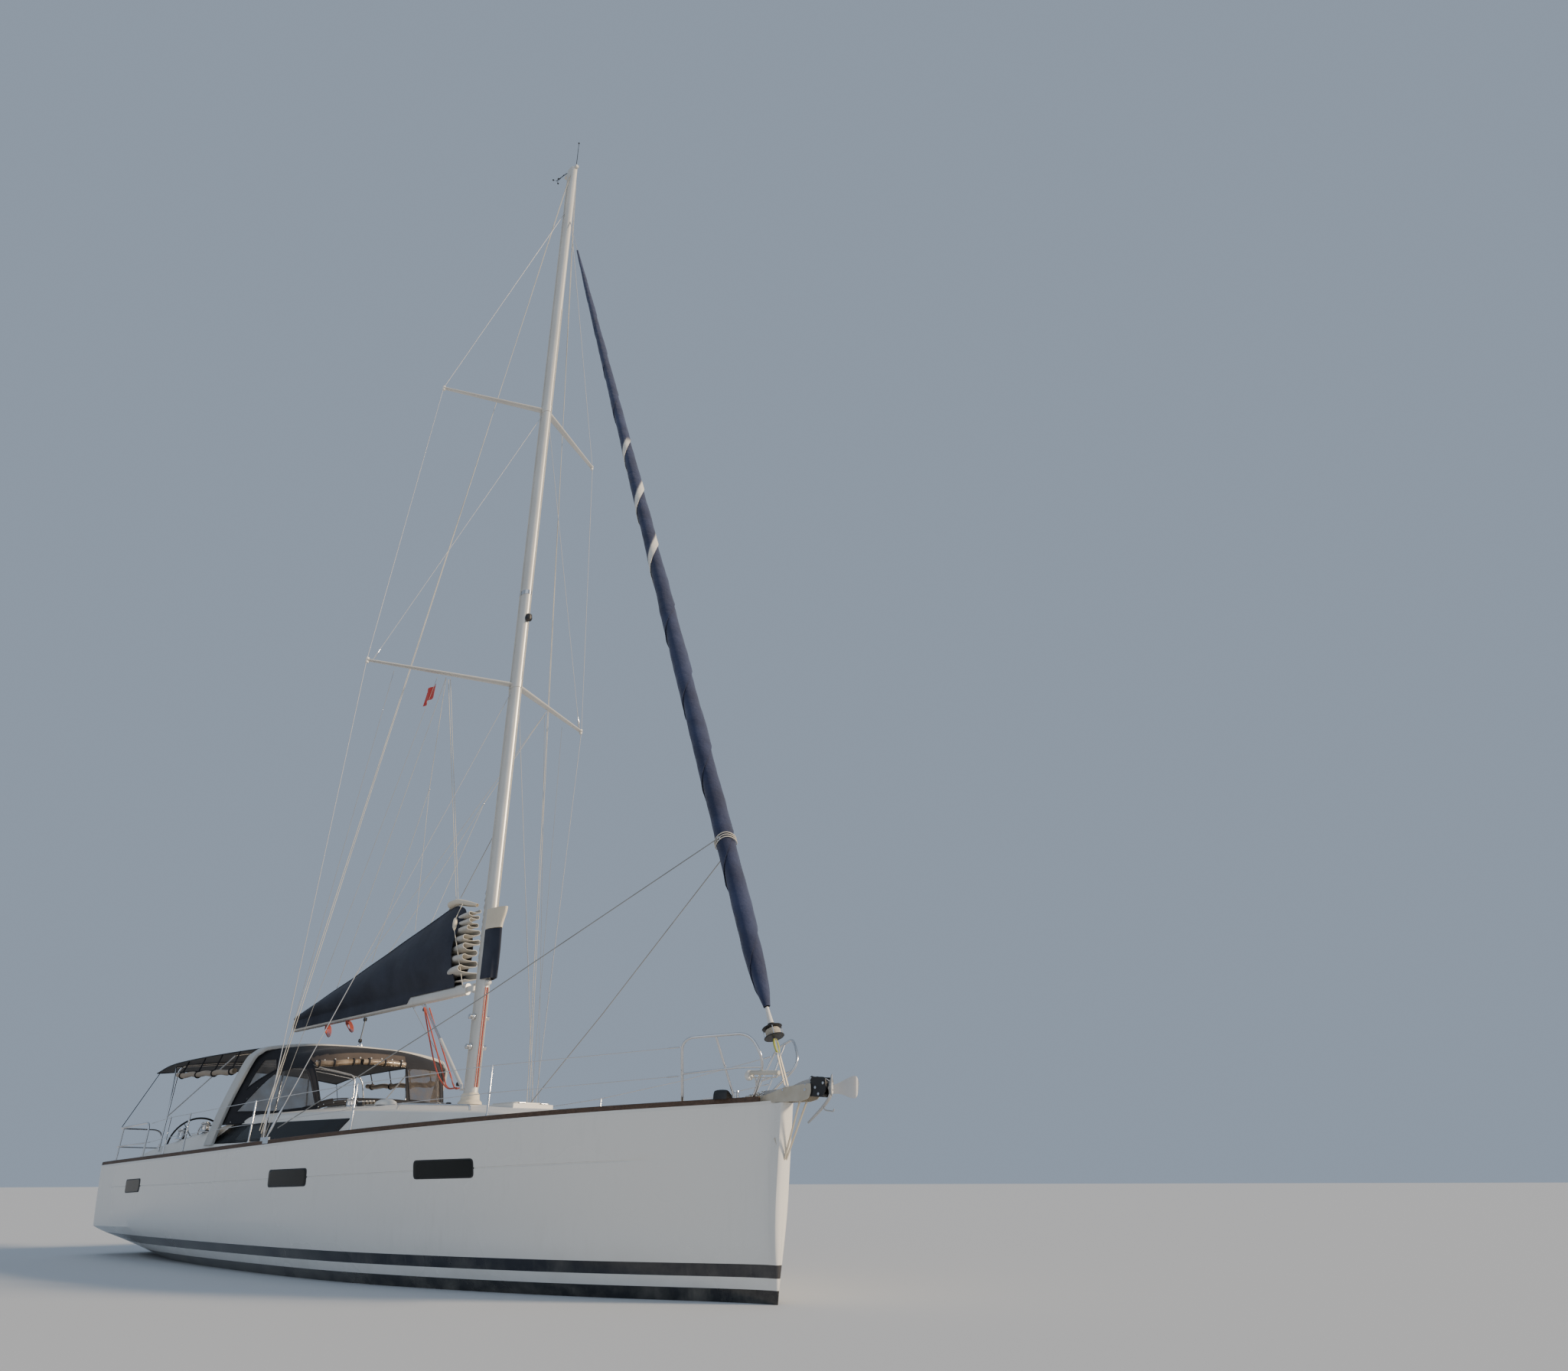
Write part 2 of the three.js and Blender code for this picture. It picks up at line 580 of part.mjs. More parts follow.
function spreaderArm(rootZ, tip, rootChord, tipChord) {
  const root = at(mastX(rootZ), 0, rootZ);
  const ringAt = (point, chord, thick) => [
    at(point.x + chord / 2, point.y, point.z), at(point.x, point.y, point.z + thick / 2),
    at(point.x - chord / 2, point.y, point.z), at(point.x, point.y, point.z - thick / 2),
  ];
  return loft([ringAt(root, rootChord, 60), ringAt(tip, tipChord, 30)], ['x', 'z']);
}
function spreaders(rootZ, tip) {
  const arm = spreaderArm(rootZ, tip, 170, 90);
  const collar = loft([mastRing(rootZ - 70, 9), mastRing(rootZ + 70, 9)], ['x', 'y']);
  const pair = join(arm, mirrored(arm), collar);
  return cut(pair, grownMast, capShroud(GAP), mirrored(capShroud(GAP)));
}
const lowerSpreaders = add('spreaders_lower', spreaders(8350, LOWER_TIP), SPAR);
add('spreaders_upper', spreaders(14010, UPPER_TIP), SPAR);

addPair('cap_shroud', cut(capShroud(0), grownMast, moved(chainBlock, 0, 0, GAP)), STEEL);

const lowerFoot = at(CHAINPLATE_X + 110, CHAIN_Y, CHAIN_TOP);
const lowerShroud = pipe([lowerFoot, mastSide(8200)], 7, 6);
addPair('lower_shroud', cut(lowerShroud, grownMast, moved(chainBlock, 0, 0, GAP)), STEEL);

const inboard = LOWER_TIP.clone().lerp(at(mastX(8350), 0, 8350), 0.035);
const diagonal = pipe([inboard, mastSide(13870)], 6, 6);
addPair('intermediate_shroud', cut(diagonal, grownMast, moved(lowerSpreaders, 0, 0, GAP)), STEEL);

// Forestay with its furled headsail. Distances run up the stay from its foot.
const STAY_FOOT = at(7090, 0, 1850);
const STAY_HEAD = at(mastX(18900) + MAST_LONG / 2 - 6, 0, 18900);
const STAY_ALONG = STAY_HEAD.clone().sub(STAY_FOOT).normalize();
const STAY_LONG = STAY_FOOT.distanceTo(STAY_HEAD);
const onStay = (s) => STAY_FOOT.clone().addScaledVector(STAY_ALONG, s);
const DRUM_AT = 560;
const SWIVEL_AT = 16900;
const SAIL_AT = 900;
add('furler_drum', turned([
  [0, 0], [108, 0], [108, 10], [72, 22], [72, 118], [108, 130], [108, 140], [40, 150], [30, SAIL_AT - DRUM_AT],
  [0, SAIL_AT - DRUM_AT],
], onStay(DRUM_AT), STAY_ALONG, 12), BLACK_FITTING);
// Columns: radius of the rolled sail, distance above its tack.
add('furled_genoa', turned([
  [0, 0], [42, 0], [95, 260], [122, 900], [126, 2600], [118, 5600], [100, 9000], [74, 12200], [44, 14800],
  [24, 15700], [20, SWIVEL_AT - SAIL_AT - GAP], [0, SWIVEL_AT - SAIL_AT - GAP],
], onStay(SAIL_AT + GAP), STAY_ALONG, 10), CANVAS);
add('forestay_head', cut(pipe([onStay(SWIVEL_AT + GAP), onStay(STAY_LONG)], 9, 6), grownMast), STEEL);

// Boom with its gooseneck knuckle, the sail bag on it and the vang under it.
const knuckleLow = BOOM_BOTTOM + 20 + FORK_LUG + GAP;
const knuckleHigh = BOOM_TOP - 40 - GAP;
const boomRing = (x, half, low, high) => [
  at(x, -half, low + 30), at(x, -half * 0.6, low), at(x, half * 0.6, low), at(x, half, low + 30),
  at(x, half, high - 30), at(x, half * 0.6, high), at(x, -half * 0.6, high), at(x, -half, high - 30),
];
const boomTube = loft([
  boomRing(640, 48, BOOM_BOTTOM, BOOM_TOP), boomRing(BOOM_END_X, 48, BOOM_BOTTOM, BOOM_TOP),
]);
const boomKnuckle = rod(at(BOOM_AXIS_X, 0, knuckleLow), at(BOOM_AXIS_X, 0, knuckleHigh), 24, 10);
const boomNeck = box([600, -18, knuckleLow + 4], [BOOM_AXIS_X, 18, knuckleHigh - 4]);
add('boom', join(boomTube, boomKnuckle, boomNeck), SPAR);

// Columns: x, half breadth at the belly, height of the top.
const bagRings = [
  [440, 150, 4560], [250, 190, 4830], [0, 205, 4890], [-500, 210, 4800], [-1600, 200, 4560],
  [-3000, 175, 4250], [-4300, 140, 3980], [-5180, 85, 3790],
].map(([x, half, top]) => symmetric(x, [
  [0, BOOM_TOP + GAP], [half * 0.45, BOOM_TOP + GAP], [half, mix(BOOM_TOP, top, 0.3)],
  [half * 0.75, mix(BOOM_TOP, top, 0.62)], [half * 0.16, top - 8], [0, top],
]));
add('sail_bag', loft(bagRings), CANVAS);

const vangFoot = at(BOOM_AXIS_X, 0, VANG_LUG_Z + FORK_LUG + GAP);
const vangTop = at(-580, 0, BOOM_BOTTOM + 20);
const vangElbow = vangFoot.clone().add(at(0, 0, 34));
const vangRod = join(
  rod(vangFoot, vangFoot.clone().add(at(0, 0, 60)), 24, 10),
  rod(vangElbow, vangTop, 26, 8),
);
const boomBelow = box([BOOM_END_X, -60, BOOM_BOTTOM - GAP], [640, 60, BOOM_TOP]);
add('vang', cut(vangRod, boomBelow), STEEL);

// Bow: a channel between two tapered cheeks, with its roller and the forestay's lug.
const CHANNEL = { from: 6560, to: 7470, half: 75, floor: 1824, plate: 8 };
const BRIDGE_TOP = 1925;
const ROLLER = { x: 7395, z: 1846, radius: 36 };
// The cheek's outline. Columns: x, z.
const cheekOutline = [
  [6440, 1762], [7360, 1744], [7420, 1752], [7470, 1800], [7470, 1908], [7130, 1925], [6990, 1925],
];
const cheek = (y) => loft([y, y + CHANNEL.plate].map((side) => cheekOutline.map(([x, z]) => at(x, side, z))),
  ['x', 'z']);
const channel = join(
  box([CHANNEL.from, -CHANNEL.half + 1, CHANNEL.floor - 72], [ROLLER.x - 60, CHANNEL.half - 1, CHANNEL.floor]),
  cheek(-CHANNEL.half),
  cheek(CHANNEL.half - CHANNEL.plate),
  rod(at(ROLLER.x, -CHANNEL.half + 4, ROLLER.z), at(ROLLER.x, CHANNEL.half - 4, ROLLER.z), ROLLER.radius, 10),
);
const bridge = box([STAY_FOOT.x - 50, -CHANNEL.half, BRIDGE_TOP - 20],
  [STAY_FOOT.x + 26, CHANNEL.half, BRIDGE_TOP]);
const bowRoller = add('bow_roller', cut(join(channel, bridge), ground), STEEL);
const stayFoot = pipe([onStay(10), onStay(DRUM_AT - GAP)], 15, 8);
add('forestay_foot', cut(stayFoot, moved(bowRoller, 0, 0, GAP), box([6900, -90, 1700], [7200, 90, BRIDGE_TOP])),
  STEEL);

// Anchor: its shank lies in the channel; two palms and a pointed middle claw hang ahead of the roller.
// Columns: x, half thickness, lowest and highest point.
const shank = loft([
  [6720, 10, CHANNEL.floor + GAP, 1872], [7080, 10, CHANNEL.floor + GAP, 1884], [7330, 11, 1886, 1940], [7560, 11, 1890, 1950],
  [7680, 13, 1800, 1900],
].map(([x, half, low, high]) => [at(x, -half, low), at(x, half, low), at(x, half, high), at(x, -half, high)]));
// Columns: y, x of the palm's middle, lowest and highest point of the palm.
const palm = loft([
  [-4, 7655, 1796, 1868], [-70, 7715, 1796, 1905], [-130, 7790, 1766, 1950], [-172, 7850, 1752, 1966],
].map(([y, x, low, high]) => [
  at(x - 16, y, low + 12), at(x + 2, y, low), at(x + 10, y, high), at(x - 8, y, high - 10),
]), ['x', 'z']);
// Columns: half breadth, x and z of the claw's back.
const claw = loft([
  [26, 7665, 1850], [34, 7630, 1760], [40, 7540, 1665], [34, 7440, 1596], [5, 7352, 1556],
].map(([half, x, z]) => [at(x, -half, z), at(x, half, z), at(x + 16, half, z - 14), at(x + 16, -half, z - 14)]),
['y', 'z']);
add('anchor', cut(join(shank, palm, mirrored(palm), claw), moved(bowRoller, 0, 0, GAP)), ANCHOR_ZINC);

// Pulpit and pushpits: bent steel rail, each hoop with a middle rail, on the deck's edge.
const PIPE = 15;
const bowCorners = [
  at(6040, -470, 1700), at(6250, -690, 2370), at(6870, -320, 2400), at(7010, -255, 2130), at(6760, -120, 1880),
  at(6700, -108, 1700),
];
const along = (from, to, z) => from.clone().lerp(to, (z - from.z) / (to.z - from.z));
const bowMiddle = [along(bowCorners[0], bowCorners[1], 2040), at(6760, -360, 2075),
  along(bowCorners[3], bowCorners[4], 2075)];
const bowLeg = [at(6540, -228, 1700), at(6540, -228, 1840), bowCorners[1].clone().lerp(bowCorners[2], 0.5)];
const bowHoop = rounded(bowCorners, 130);
const pulpit = join(pipe(bowHoop, PIPE, 6), pipe(bowMiddle, 11, 4), pipe(bowLeg, 12, 4));
addPair('pulpit', cut(pulpit, ground), STEEL);

const sternHoop = rounded([
  at(-5300, -2000, 1300), at(-5300, -2000, 1945), at(-6960, -1960, 1905), at(-7000, -1250, 1900),
  at(-7000, -1230, 1290),
], 160);
const sternMiddle = rounded([at(-5300, -2000, 1640), at(-6960, -1960, 1615), at(-7000, -1245, 1610)], 160);
const sternLeg = [at(-6700, -1970, 1290), at(-6700, -1966, 1908)];
const pushpit = join(pipe(sternHoop, PIPE, 6), pipe(sternMiddle, 11, 4), pipe(sternLeg, 12, 4));
addPair('pushpit', cut(pushpit, ground), STEEL);

// Guardrails: stanchions joined by two wires, from the pushpit to the pulpit.
const STANCHION_XS = [-4250, -3430, -1080, 1540, 3850];
const STANCHION_HIGH = 620;
const LOWER_WIRE = 320;
const stanchionY = (x) => -(deckHalf(x) - 78);
const wireEnds = { aft: at(-5264, -1985, 1925), fore: at(6195, -655, 2240) };
const wirePath = (height, aftZ, foreZ) => [
  wireEnds.aft.clone().setZ(aftZ),
  ...STANCHION_XS.map((x) => at(x, stanchionY(x), sheer(x) + height)),
  wireEnds.fore.clone().setZ(foreZ),
];
let guardrail = join(pipe(wirePath(STANCHION_HIGH - 15, 1925, 2290), 6, 4),
  pipe(wirePath(LOWER_WIRE, 1640, 2010), 5, 4));
for (const x of STANCHION_XS) {
  const y = stanchionY(x);
  guardrail = join(guardrail, rod(at(x, y, sheer(x)), at(x, y, sheer(x) + STANCHION_HIGH), 13, 6),
    rod(at(x, y, sheer(x)), at(x, y, sheer(x) + 110), 24, 6));
}
addPair('guardrail', cut(guardrail, ground), STEEL);

// Cockpit arch: a flat fin that leans forward from each coaming and meets over the cockpit.
// Columns: x, y, z, turn of the fin's flat from upright in degrees.
const ARCH_THICK = 62;
const ARCH_WIDE = 300;
const ARCH_PATH = [
  [-3300, -1735, 1600, 8], [-3060, -1700, 2080, 8], [-2720, -1615, 2690, 14], [-2650, -1530, 2840, 38],
  [-2610, -1380, 2915, 70], [-2570, -800, 2990, 84], [-2560, 0, 3014, 90],
];
function archRing([x, y, z, lean]) {
  const turn = THREE.MathUtils.degToRad(lean);
  const half = { wide: ARCH_WIDE / 2, thick: ARCH_THICK / 2 };
  return [[-1, -1], [1, -1], [1, 1], [-1, 1]].map(([u, n]) => at(
    x + u * half.wide, y - Math.cos(turn) * n * half.thick, z + Math.sin(turn) * n * half.thick,
  ));
}
const archHalf = ARCH_PATH.map(archRing);
const archRings = [...archHalf, ...archHalf.slice(0, -1).reverse().map((ring) => ring.map((p) => at(p.x, -p.y, p.z)))];
const archBody = loft(archRings, ['x', 'y']);
add('cockpit_arch', cut(archBody, ground), GELCOAT);

// Dodger: a canvas hood from the roof to the arch, open below and aft.
const HOOD_THICK = 26;
// Each station: the foot, a point up the side, the shoulder and two points on the way to the crown.
const HOOD_STATIONS = [
  [[-1400, 1010, 1900], [-1400, 990, 1970], [-1400, 960, 2030], [-1360, 700, 2085], [-1340, 350, 2105]],
  [[-1560, 1110, 1880], [-1680, 1110, 2300], [-1760, 1060, 2640], [-1760, 860, 2780], [-1740, 420, 2850]],
  [[-2150, 1350, 1850], [-2210, 1310, 2400], [-2230, 1250, 2755], [-2220, 1060, 2870], [-2180, 560, 2955]],
  [[-3170, 1725, 1830], [-2790, 1652, 2580], [-2650, 1545, 2855], [-2610, 1385, 2945], [-2570, 800, 3022]],
];
// How far each station is moved aft, in the outer and in the inner face.
const HOOD_OUTER_AFT = [0, 0, 0, 250];
const HOOD_INNER_AFT = [75, 40, 0, 400];
const hoodRing = (station, inset = 0, aft = 0) => {
  const half = station.map(([x, y, z], i) => [x - aft, y - inset, i === 0 && inset > 0 ? z - 80 : z - inset]);
  const starboard = half.map(([x, y, z]) => at(x, -y, z));
  const port = half.reverse().map(([x, y, z]) => at(x, y, z));
  return [...starboard, ...port];
};
const hoodOuter = loft(HOOD_STATIONS.map((station, i) => hoodRing(station, 0, HOOD_OUTER_AFT[i])));
const hoodInner = loft(HOOD_STATIONS.map((station, i) => hoodRing(station, HOOD_THICK, HOOD_INNER_AFT[i])));
// The front edge of the arch's inner face, which lies further forward than its outer face at any height.
const archFront = ARCH_PATH.map(([x, , z, lean]) => [
  x + ARCH_WIDE / 2 + GAP, z - (ARCH_THICK / 2) * Math.sin(THREE.MathUtils.degToRad(lean)),
]);
const behindArch = [...archFront, [-2400, 3400], [-4500, 3400], [-4500, 1400], [-3250, 1400]];
const aftOfArch = loft([-2200, 2200].map((y) => behindArch.map(([x, z]) => at(x, y, z))), ['x', 'z']);
const hood = cut(hoodOuter, hoodInner, aftOfArch, ground);
add('dodger', hood, CANVAS);

// Bimini: one curved sheet from the arch's after edge aft, on a hoop that stands on the coamings.
// Each station: four points from the edge of the sheet to its crown. Columns: x, y, z.
const SHEET_THICK = 26;
const ARCH_AFT = [-2610, -2570, -2565, -2560].map((x) => x - ARCH_WIDE / 2 - GAP);
const BIMINI_STATIONS = [
  [[ARCH_AFT[0], 1380, 2938], [ARCH_AFT[1], 800, 3015], [ARCH_AFT[2], 400, 3030], [ARCH_AFT[3], 0, 3040]],
  [[-3600, 1560, 2915], [-3600, 905, 3035], [-3600, 452, 3070], [-3600, 0, 3080]],
  [[-4800, 1620, 2915], [-4800, 940, 3020], [-4800, 470, 3055], [-4800, 0, 3065]],
  [[-6000, 1640, 2895], [-6000, 950, 2985], [-6000, 475, 3018], [-6000, 0, 3028]],
  [[-6800, 1620, 2810], [-6800, 940, 2890], [-6800, 470, 2920], [-6800, 0, 2930]],
];
const biminiRing = (station) => {
  const below = station.map(([x, y, z]) => [x, y, z - SHEET_THICK]).reverse();
  const half = [...below, ...station];
  const starboard = half.map(([x, y, z]) => at(x, -y, z));
  const port = half.slice(1, -1).reverse().map(([x, y, z]) => at(x, y, z));
  return [...starboard, ...port];
};
add('bimini', loft(BIMINI_STATIONS.map(biminiRing)), CANVAS);

// The hoop's top runs under the sheet, a little before its after edge.
const HOOP_X = -5700;
const HOOP_RADIUS = 14;
const HOOP_SEAT = 0.45;
const HOOP_FOOT = at(-5350, -1765, 1560);
const [beforeHoop, afterHoop] = BIMINI_STATIONS.slice(2, 4);
const hoopShare = (HOOP_X - beforeHoop[0][0]) / (afterHoop[0][0] - beforeHoop[0][0]);
const hoopLine = beforeHoop.map(([, y, z], i) => [mix(y, afterHoop[i][1], hoopShare),
  mix(z, afterHoop[i][2], hoopShare) - SHEET_THICK - HOOP_RADIUS - HOOP_SEAT]);
const hoopHalf = [HOOP_FOOT, at(HOOP_X, -hoopLine[0][0] + 5, hoopLine[0][1] - 90),
  at(HOOP_X, -hoopLine[0][0] + 75, hoopLine[0][1] + 8), ...hoopLine.slice(1, 3).map(([y, z]) => at(HOOP_X, -y, z))];
const hoopPath = [...hoopHalf, at(HOOP_X, 0, hoopLine[3][1]),
  ...hoopHalf.map((point) => at(point.x, -point.y, point.z)).reverse()];
add('bimini_hoop', cut(pipe(hoopPath, HOOP_RADIUS, 6), ground), STEEL);

// Helm: a console and a wheel on each side, and the table between the seats.
const consoleRing = (z, x0, x1, half) => [
  at(x0, -WHEEL.y - half, z), at(x1, -WHEEL.y - half, z), at(x1, -WHEEL.y + half, z), at(x0, -WHEEL.y + half, z),
];
const HUB_FRONT = WHEEL.x + 45;
const consoleBody = loft([
  consoleRing(SOLE_HEIGHT + GAP, -5600, -5200, 150),
  consoleRing(1500, -5560, -5260, 170),
  consoleRing(1790, -5540, -5330, 175),
], ['x', 'y']);
const shaft = rod(at(-5500, -WHEEL.y, WHEEL.z), at(HUB_FRONT + GAP, -WHEEL.y, WHEEL.z), 32, 12);
addPair('helm_console', join(consoleBody, shaft), GELCOAT);

const rimProfile = Array.from({ length: 6 }, (_, k) => {
  const a = (2 * Math.PI * k) / 5;
  return [WHEEL.radius - 15 + 15 * Math.cos(a), 15 * Math.sin(a)];
});
const wheelCentre = at(WHEEL.x, -WHEEL.y, WHEEL.z);
let wheel = join(
  turned(rimProfile, wheelCentre, at(1, 0, 0), 20),
  rod(wheelCentre.clone().add(at(-22, 0, 0)), at(HUB_FRONT, -WHEEL.y, WHEEL.z), 45, 12),
);
for (let k = 0; k < 5; k++) {
  const angle = (2 * Math.PI * (k + 0.5)) / 5;
  const out = at(0, Math.sin(angle), Math.cos(angle));
  wheel = join(wheel, rod(wheelCentre.clone(), wheelCentre.clone().addScaledVector(out, WHEEL.radius - 14), 9, 4));
}
addPair('steering_wheel', wheel, WHEEL_LEATHER);

add('cockpit_table', join(
  box([-4500, -110, SOLE_HEIGHT + GAP], [-3500, 110, 1640]),
  box([-4600, -190, 1640 - 1], [-3400, 190, 1690]),
), TIMBER);

export default yacht;
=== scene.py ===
# A cruising sloop lying afloat: smooth hull and coachroof, rig, canvas and deck gear.
# Metres. +X runs forward, +Y to port, +Z up; the origin is amidships at the waterline.
import random
from math import copysign, cos, pi, radians, sin, sqrt

import bpy
from mathutils import Matrix, Vector


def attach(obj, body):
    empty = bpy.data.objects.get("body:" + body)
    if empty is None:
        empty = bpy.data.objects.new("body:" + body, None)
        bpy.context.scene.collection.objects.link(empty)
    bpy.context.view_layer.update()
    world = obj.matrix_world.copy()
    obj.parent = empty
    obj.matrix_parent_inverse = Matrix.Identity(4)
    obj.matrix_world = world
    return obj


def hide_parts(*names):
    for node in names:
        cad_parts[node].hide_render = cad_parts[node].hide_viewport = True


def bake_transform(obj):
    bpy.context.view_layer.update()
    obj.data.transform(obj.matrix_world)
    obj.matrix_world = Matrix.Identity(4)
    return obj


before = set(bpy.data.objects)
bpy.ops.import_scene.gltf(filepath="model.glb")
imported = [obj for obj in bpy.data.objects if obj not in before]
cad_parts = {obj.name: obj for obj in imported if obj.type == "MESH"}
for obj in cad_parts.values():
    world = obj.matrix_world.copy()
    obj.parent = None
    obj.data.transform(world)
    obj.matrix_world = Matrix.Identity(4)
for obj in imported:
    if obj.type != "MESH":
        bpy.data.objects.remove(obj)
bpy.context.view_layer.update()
SIDES = (("starboard", -1), ("port", 1))
UP, TO_PORT = (0, 0, 1), (0, 1, 0)
FULL_TURN = 2 * pi

# Driving sizes
STEM_X = 7.08
TRANSOM_X = -7.08
BOW_SHEER, MID_SHEER, STERN_SHEER = 1.747, 1.484, 1.304
STEM_RAKE = 0.086
FOREFOOT_CURVE = 2.5
STEM_RAKE_STARTS_X = 5.0
# Gap between two pieces that only touch
PLAY = 0.0003
DECK_LIFT = PLAY
DECK_THICK = 0.028
DECK_CAMBER = 0.045
RAIL_WIDE, RAIL_HIGH = 0.024, 0.05
# Where the shrouds' plates stand
CHAIN_X = -0.49
MAST_FOOT = Vector((1.06, 0, 2.02))
MAST_TOP = 20.54
MAST_RAKE = 0.0123
MAST_LONG, MAST_WIDE = 0.26, 0.15
AERIAL_TOP = 21.29
# Heights at which the spreaders meet the mast
LOWER_ROOT, UPPER_ROOT = 8.35, 14.01
# Radii of the rails' top tube, of their lower tube and of handrails and hoops
TOP_TUBE, LOW_TUBE, HAND_TUBE = 0.0145, 0.0105, 0.0125
SEAT_HEIGHT, SOLE_HEIGHT = 1.42, 0.98
# Heights of the edges between bottom paint, white band, dark stripe and white topsides
BAND_EDGES = (0.112, 0.211, 0.324)


class Stations:
    """A short table of sections along x, read smoothly between its rows without overshoot."""

    def __init__(self, *rows):
        self.rows = sorted(rows)
        self.slopes = [self.column_slopes(c) for c in range(len(rows[0]))]

    def column_slopes(self, column):
        xs = [row[0] for row in self.rows]
        ys = [row[column] for row in self.rows]
        steps = [(ys[i + 1] - ys[i]) / (xs[i + 1] - xs[i]) for i in range(len(xs) - 1)]
        slopes = [steps[0]]
        for before, after in zip(steps, steps[1:]):
            slopes.append(2 * before * after / (before + after) if before * after > 0 else 0.0)
        return slopes + [steps[-1]]

    def at(self, x):
        x = min(max(x, self.rows[0][0]), self.rows[-1][0])
        i = max(k for k in range(len(self.rows) - 1) if self.rows[k][0] <= x)
        low, high = self.rows[i], self.rows[i + 1]
        span = high[0] - low[0]
        t = (x - low[0]) / span
        h = (1 + 2 * t) * (1 - t) ** 2, t * (1 - t) ** 2, t * t * (3 - 2 * t), t * t * (t - 1)
        return [h[0] * low[c] + h[1] * span * self.slopes[c][i] + h[2] * high[c]
                + h[3] * span * self.slopes[c][i + 1] for c in range(len(low))]


# Columns: x, half breadth at deck, half breadth of chine, height of chine, height of the bottom on
# the centre line, turn of the bilge in degrees, vee of the bottom.
HULL = Stations(
    (7.08, 0.020, 0.016, 0.640, -0.160, 85, 1.5),
    (6.80, 0.125, 0.085, 0.640, -0.290, 85, 1.5),
    (6.40, 0.360, 0.255, 0.630, -0.380, 85, 1.45),
    (5.80, 0.715, 0.545, 0.620, -0.470, 86, 1.35),
    (5.00, 1.100, 0.905, 0.600, -0.550, 87, 1.25),
    (4.00, 1.435, 1.250, 0.590, -0.610, 88, 1.15),
    (2.80, 1.715, 1.560, 0.570, -0.650, 88, 1.08),
    (1.40, 1.935, 1.820, 0.550, -0.665, 86, 1.0),
    (0.00, 2.045, 1.955, 0.530, -0.655, 80, 0.97),
    (-1.50, 2.095, 2.020, 0.505, -0.600, 74, 0.95),
    (-3.00, 2.115, 2.045, 0.480, -0.500, 69, 0.95),
    (-4.50, 2.120, 2.045, 0.455, -0.350, 65, 0.95),
    (-5.80, 2.105, 2.020, 0.435, -0.150, 62, 0.95),
    (-7.08, 2.060, 1.965, 0.420, 0.055, 60, 0.95),
)

# Columns: x, half breadth at the side deck, half breadth of the shoulder, heights of shoulder and crown.
ROOF = Stations(
    (4.30, 0.700, 0.640, 1.700, 1.722),
    (3.60, 1.210, 1.110, 1.760, 1.815),
    (2.40, 1.390, 1.270, 1.812, 1.905),
    (1.06, 1.520, 1.385, 1.868, 2.005),
    (-0.84, 1.600, 1.440, 1.925, 2.070),
    (-2.60, 1.680, 1.500, 1.950, 2.090),
    (-3.40, 1.810, 1.640, 1.800, 1.880),
    (-4.50, 1.840, 1.690, 1.700, 1.760),
    (-5.70, 1.820, 1.690, 1.590, 1.640),
    (-6.50, 1.780, 1.670, 1.480, 1.510),
    (-6.76, 1.740, 1.640, 1.385, 1.400),
)


def mix(a, b, t):
    return a + (b - a) * t


def spread(start, end, count):
    return [mix(start, end, i / (count - 1)) for i in range(count)]


def ease(low, high, value):
    t = min(max((value - low) / (high - low), 0), 1)
    return t * t * (3 - 2 * t)


def up_by(height):
    return Vector((0, 0, height))


def sheer(x):
    """Height of the deck's edge."""
    s = (STEM_X - x) / (STEM_X - TRANSOM_X)
    return BOW_SHEER * (1 - s) * (1 - 2 * s) + 4 * MID_SHEER * s * (1 - s) + STERN_SHEER * s * (2 * s - 1)


def mast_x(z):
    return MAST_FOOT.x - MAST_RAKE * (z - MAST_FOOT.z)


# Shapes

def volume(points, faces):
    total = 0.0
    for face in faces:
        a = Vector(points[face[0]])
        for k in range(1, len(face) - 1):
            total += a.dot(Vector(points[face[k]]).cross(Vector(points[face[k + 1]])))
    return total / 6


def bent(corners, radius, steps=5):
    """A line through the corners, each rounded off by a short curve."""
    corners = [Vector(c) for c in corners]
    path = [corners[0]]
    for before, corner, after in zip(corners, corners[1:], corners[2:]):
        back, on = before - corner, after - corner
        reach = min(radius, back.length * 0.45, on.length * 0.45)
        start, end = corner + back.normalized() * reach, corner + on.normalized() * reach
        for t in spread(0, 1, steps + 1):
            path.append(start.lerp(corner, t).lerp(corner.lerp(end, t), t))
    return path + [corners[-1]]


def curved(points, steps=8):
    """A smooth line through every point."""
    points = [Vector(p) for p in points]
    ends = [points[0] * 2 - points[1], *points, points[-1] * 2 - points[-2]]
    path = []
    for a, b, c, d in zip(ends, ends[1:], ends[2:], ends[3:]):
        for k in range(steps):
            t = k / steps
            path.append(0.5 * (2 * b + (c - a) * t + (2 * a - 5 * b + 4 * c - d) * t * t
                               + (3 * b - a - 3 * c + d) * t ** 3))
    return path + [points[-1]]


def wound(turns, inner, outer, thick, start=0.0, per_turn=14):
    """A rolled sheet's section: a spiral strip, out along its outer face and back along its inner one."""
    strip = [(start + FULL_TURN * turns * share, mix(inner, outer, share))
             for share in spread(0, 1, round(turns * per_turn))]
    return [(a, r + thick / 2) for a, r in strip] + [(a, r - thick / 2) for a, r in strip[::-1]]


def sideways(along):
    """A direction square to a line; it is level unless the line stands nearly upright."""
    return along.cross(Vector((0, 0, 1) if abs(along.z) < 0.9 else (1, 0, 0)))


def boxy(value, power):
    """A sine or cosine drawn out towards a square, the more so the smaller the power."""
    return copysign(abs(value) ** power, value)


def turns(count, first=0.0):
    """Evenly spaced angles once round a circle."""
    return [FULL_TURN * (k + first) / count for k in range(count)]


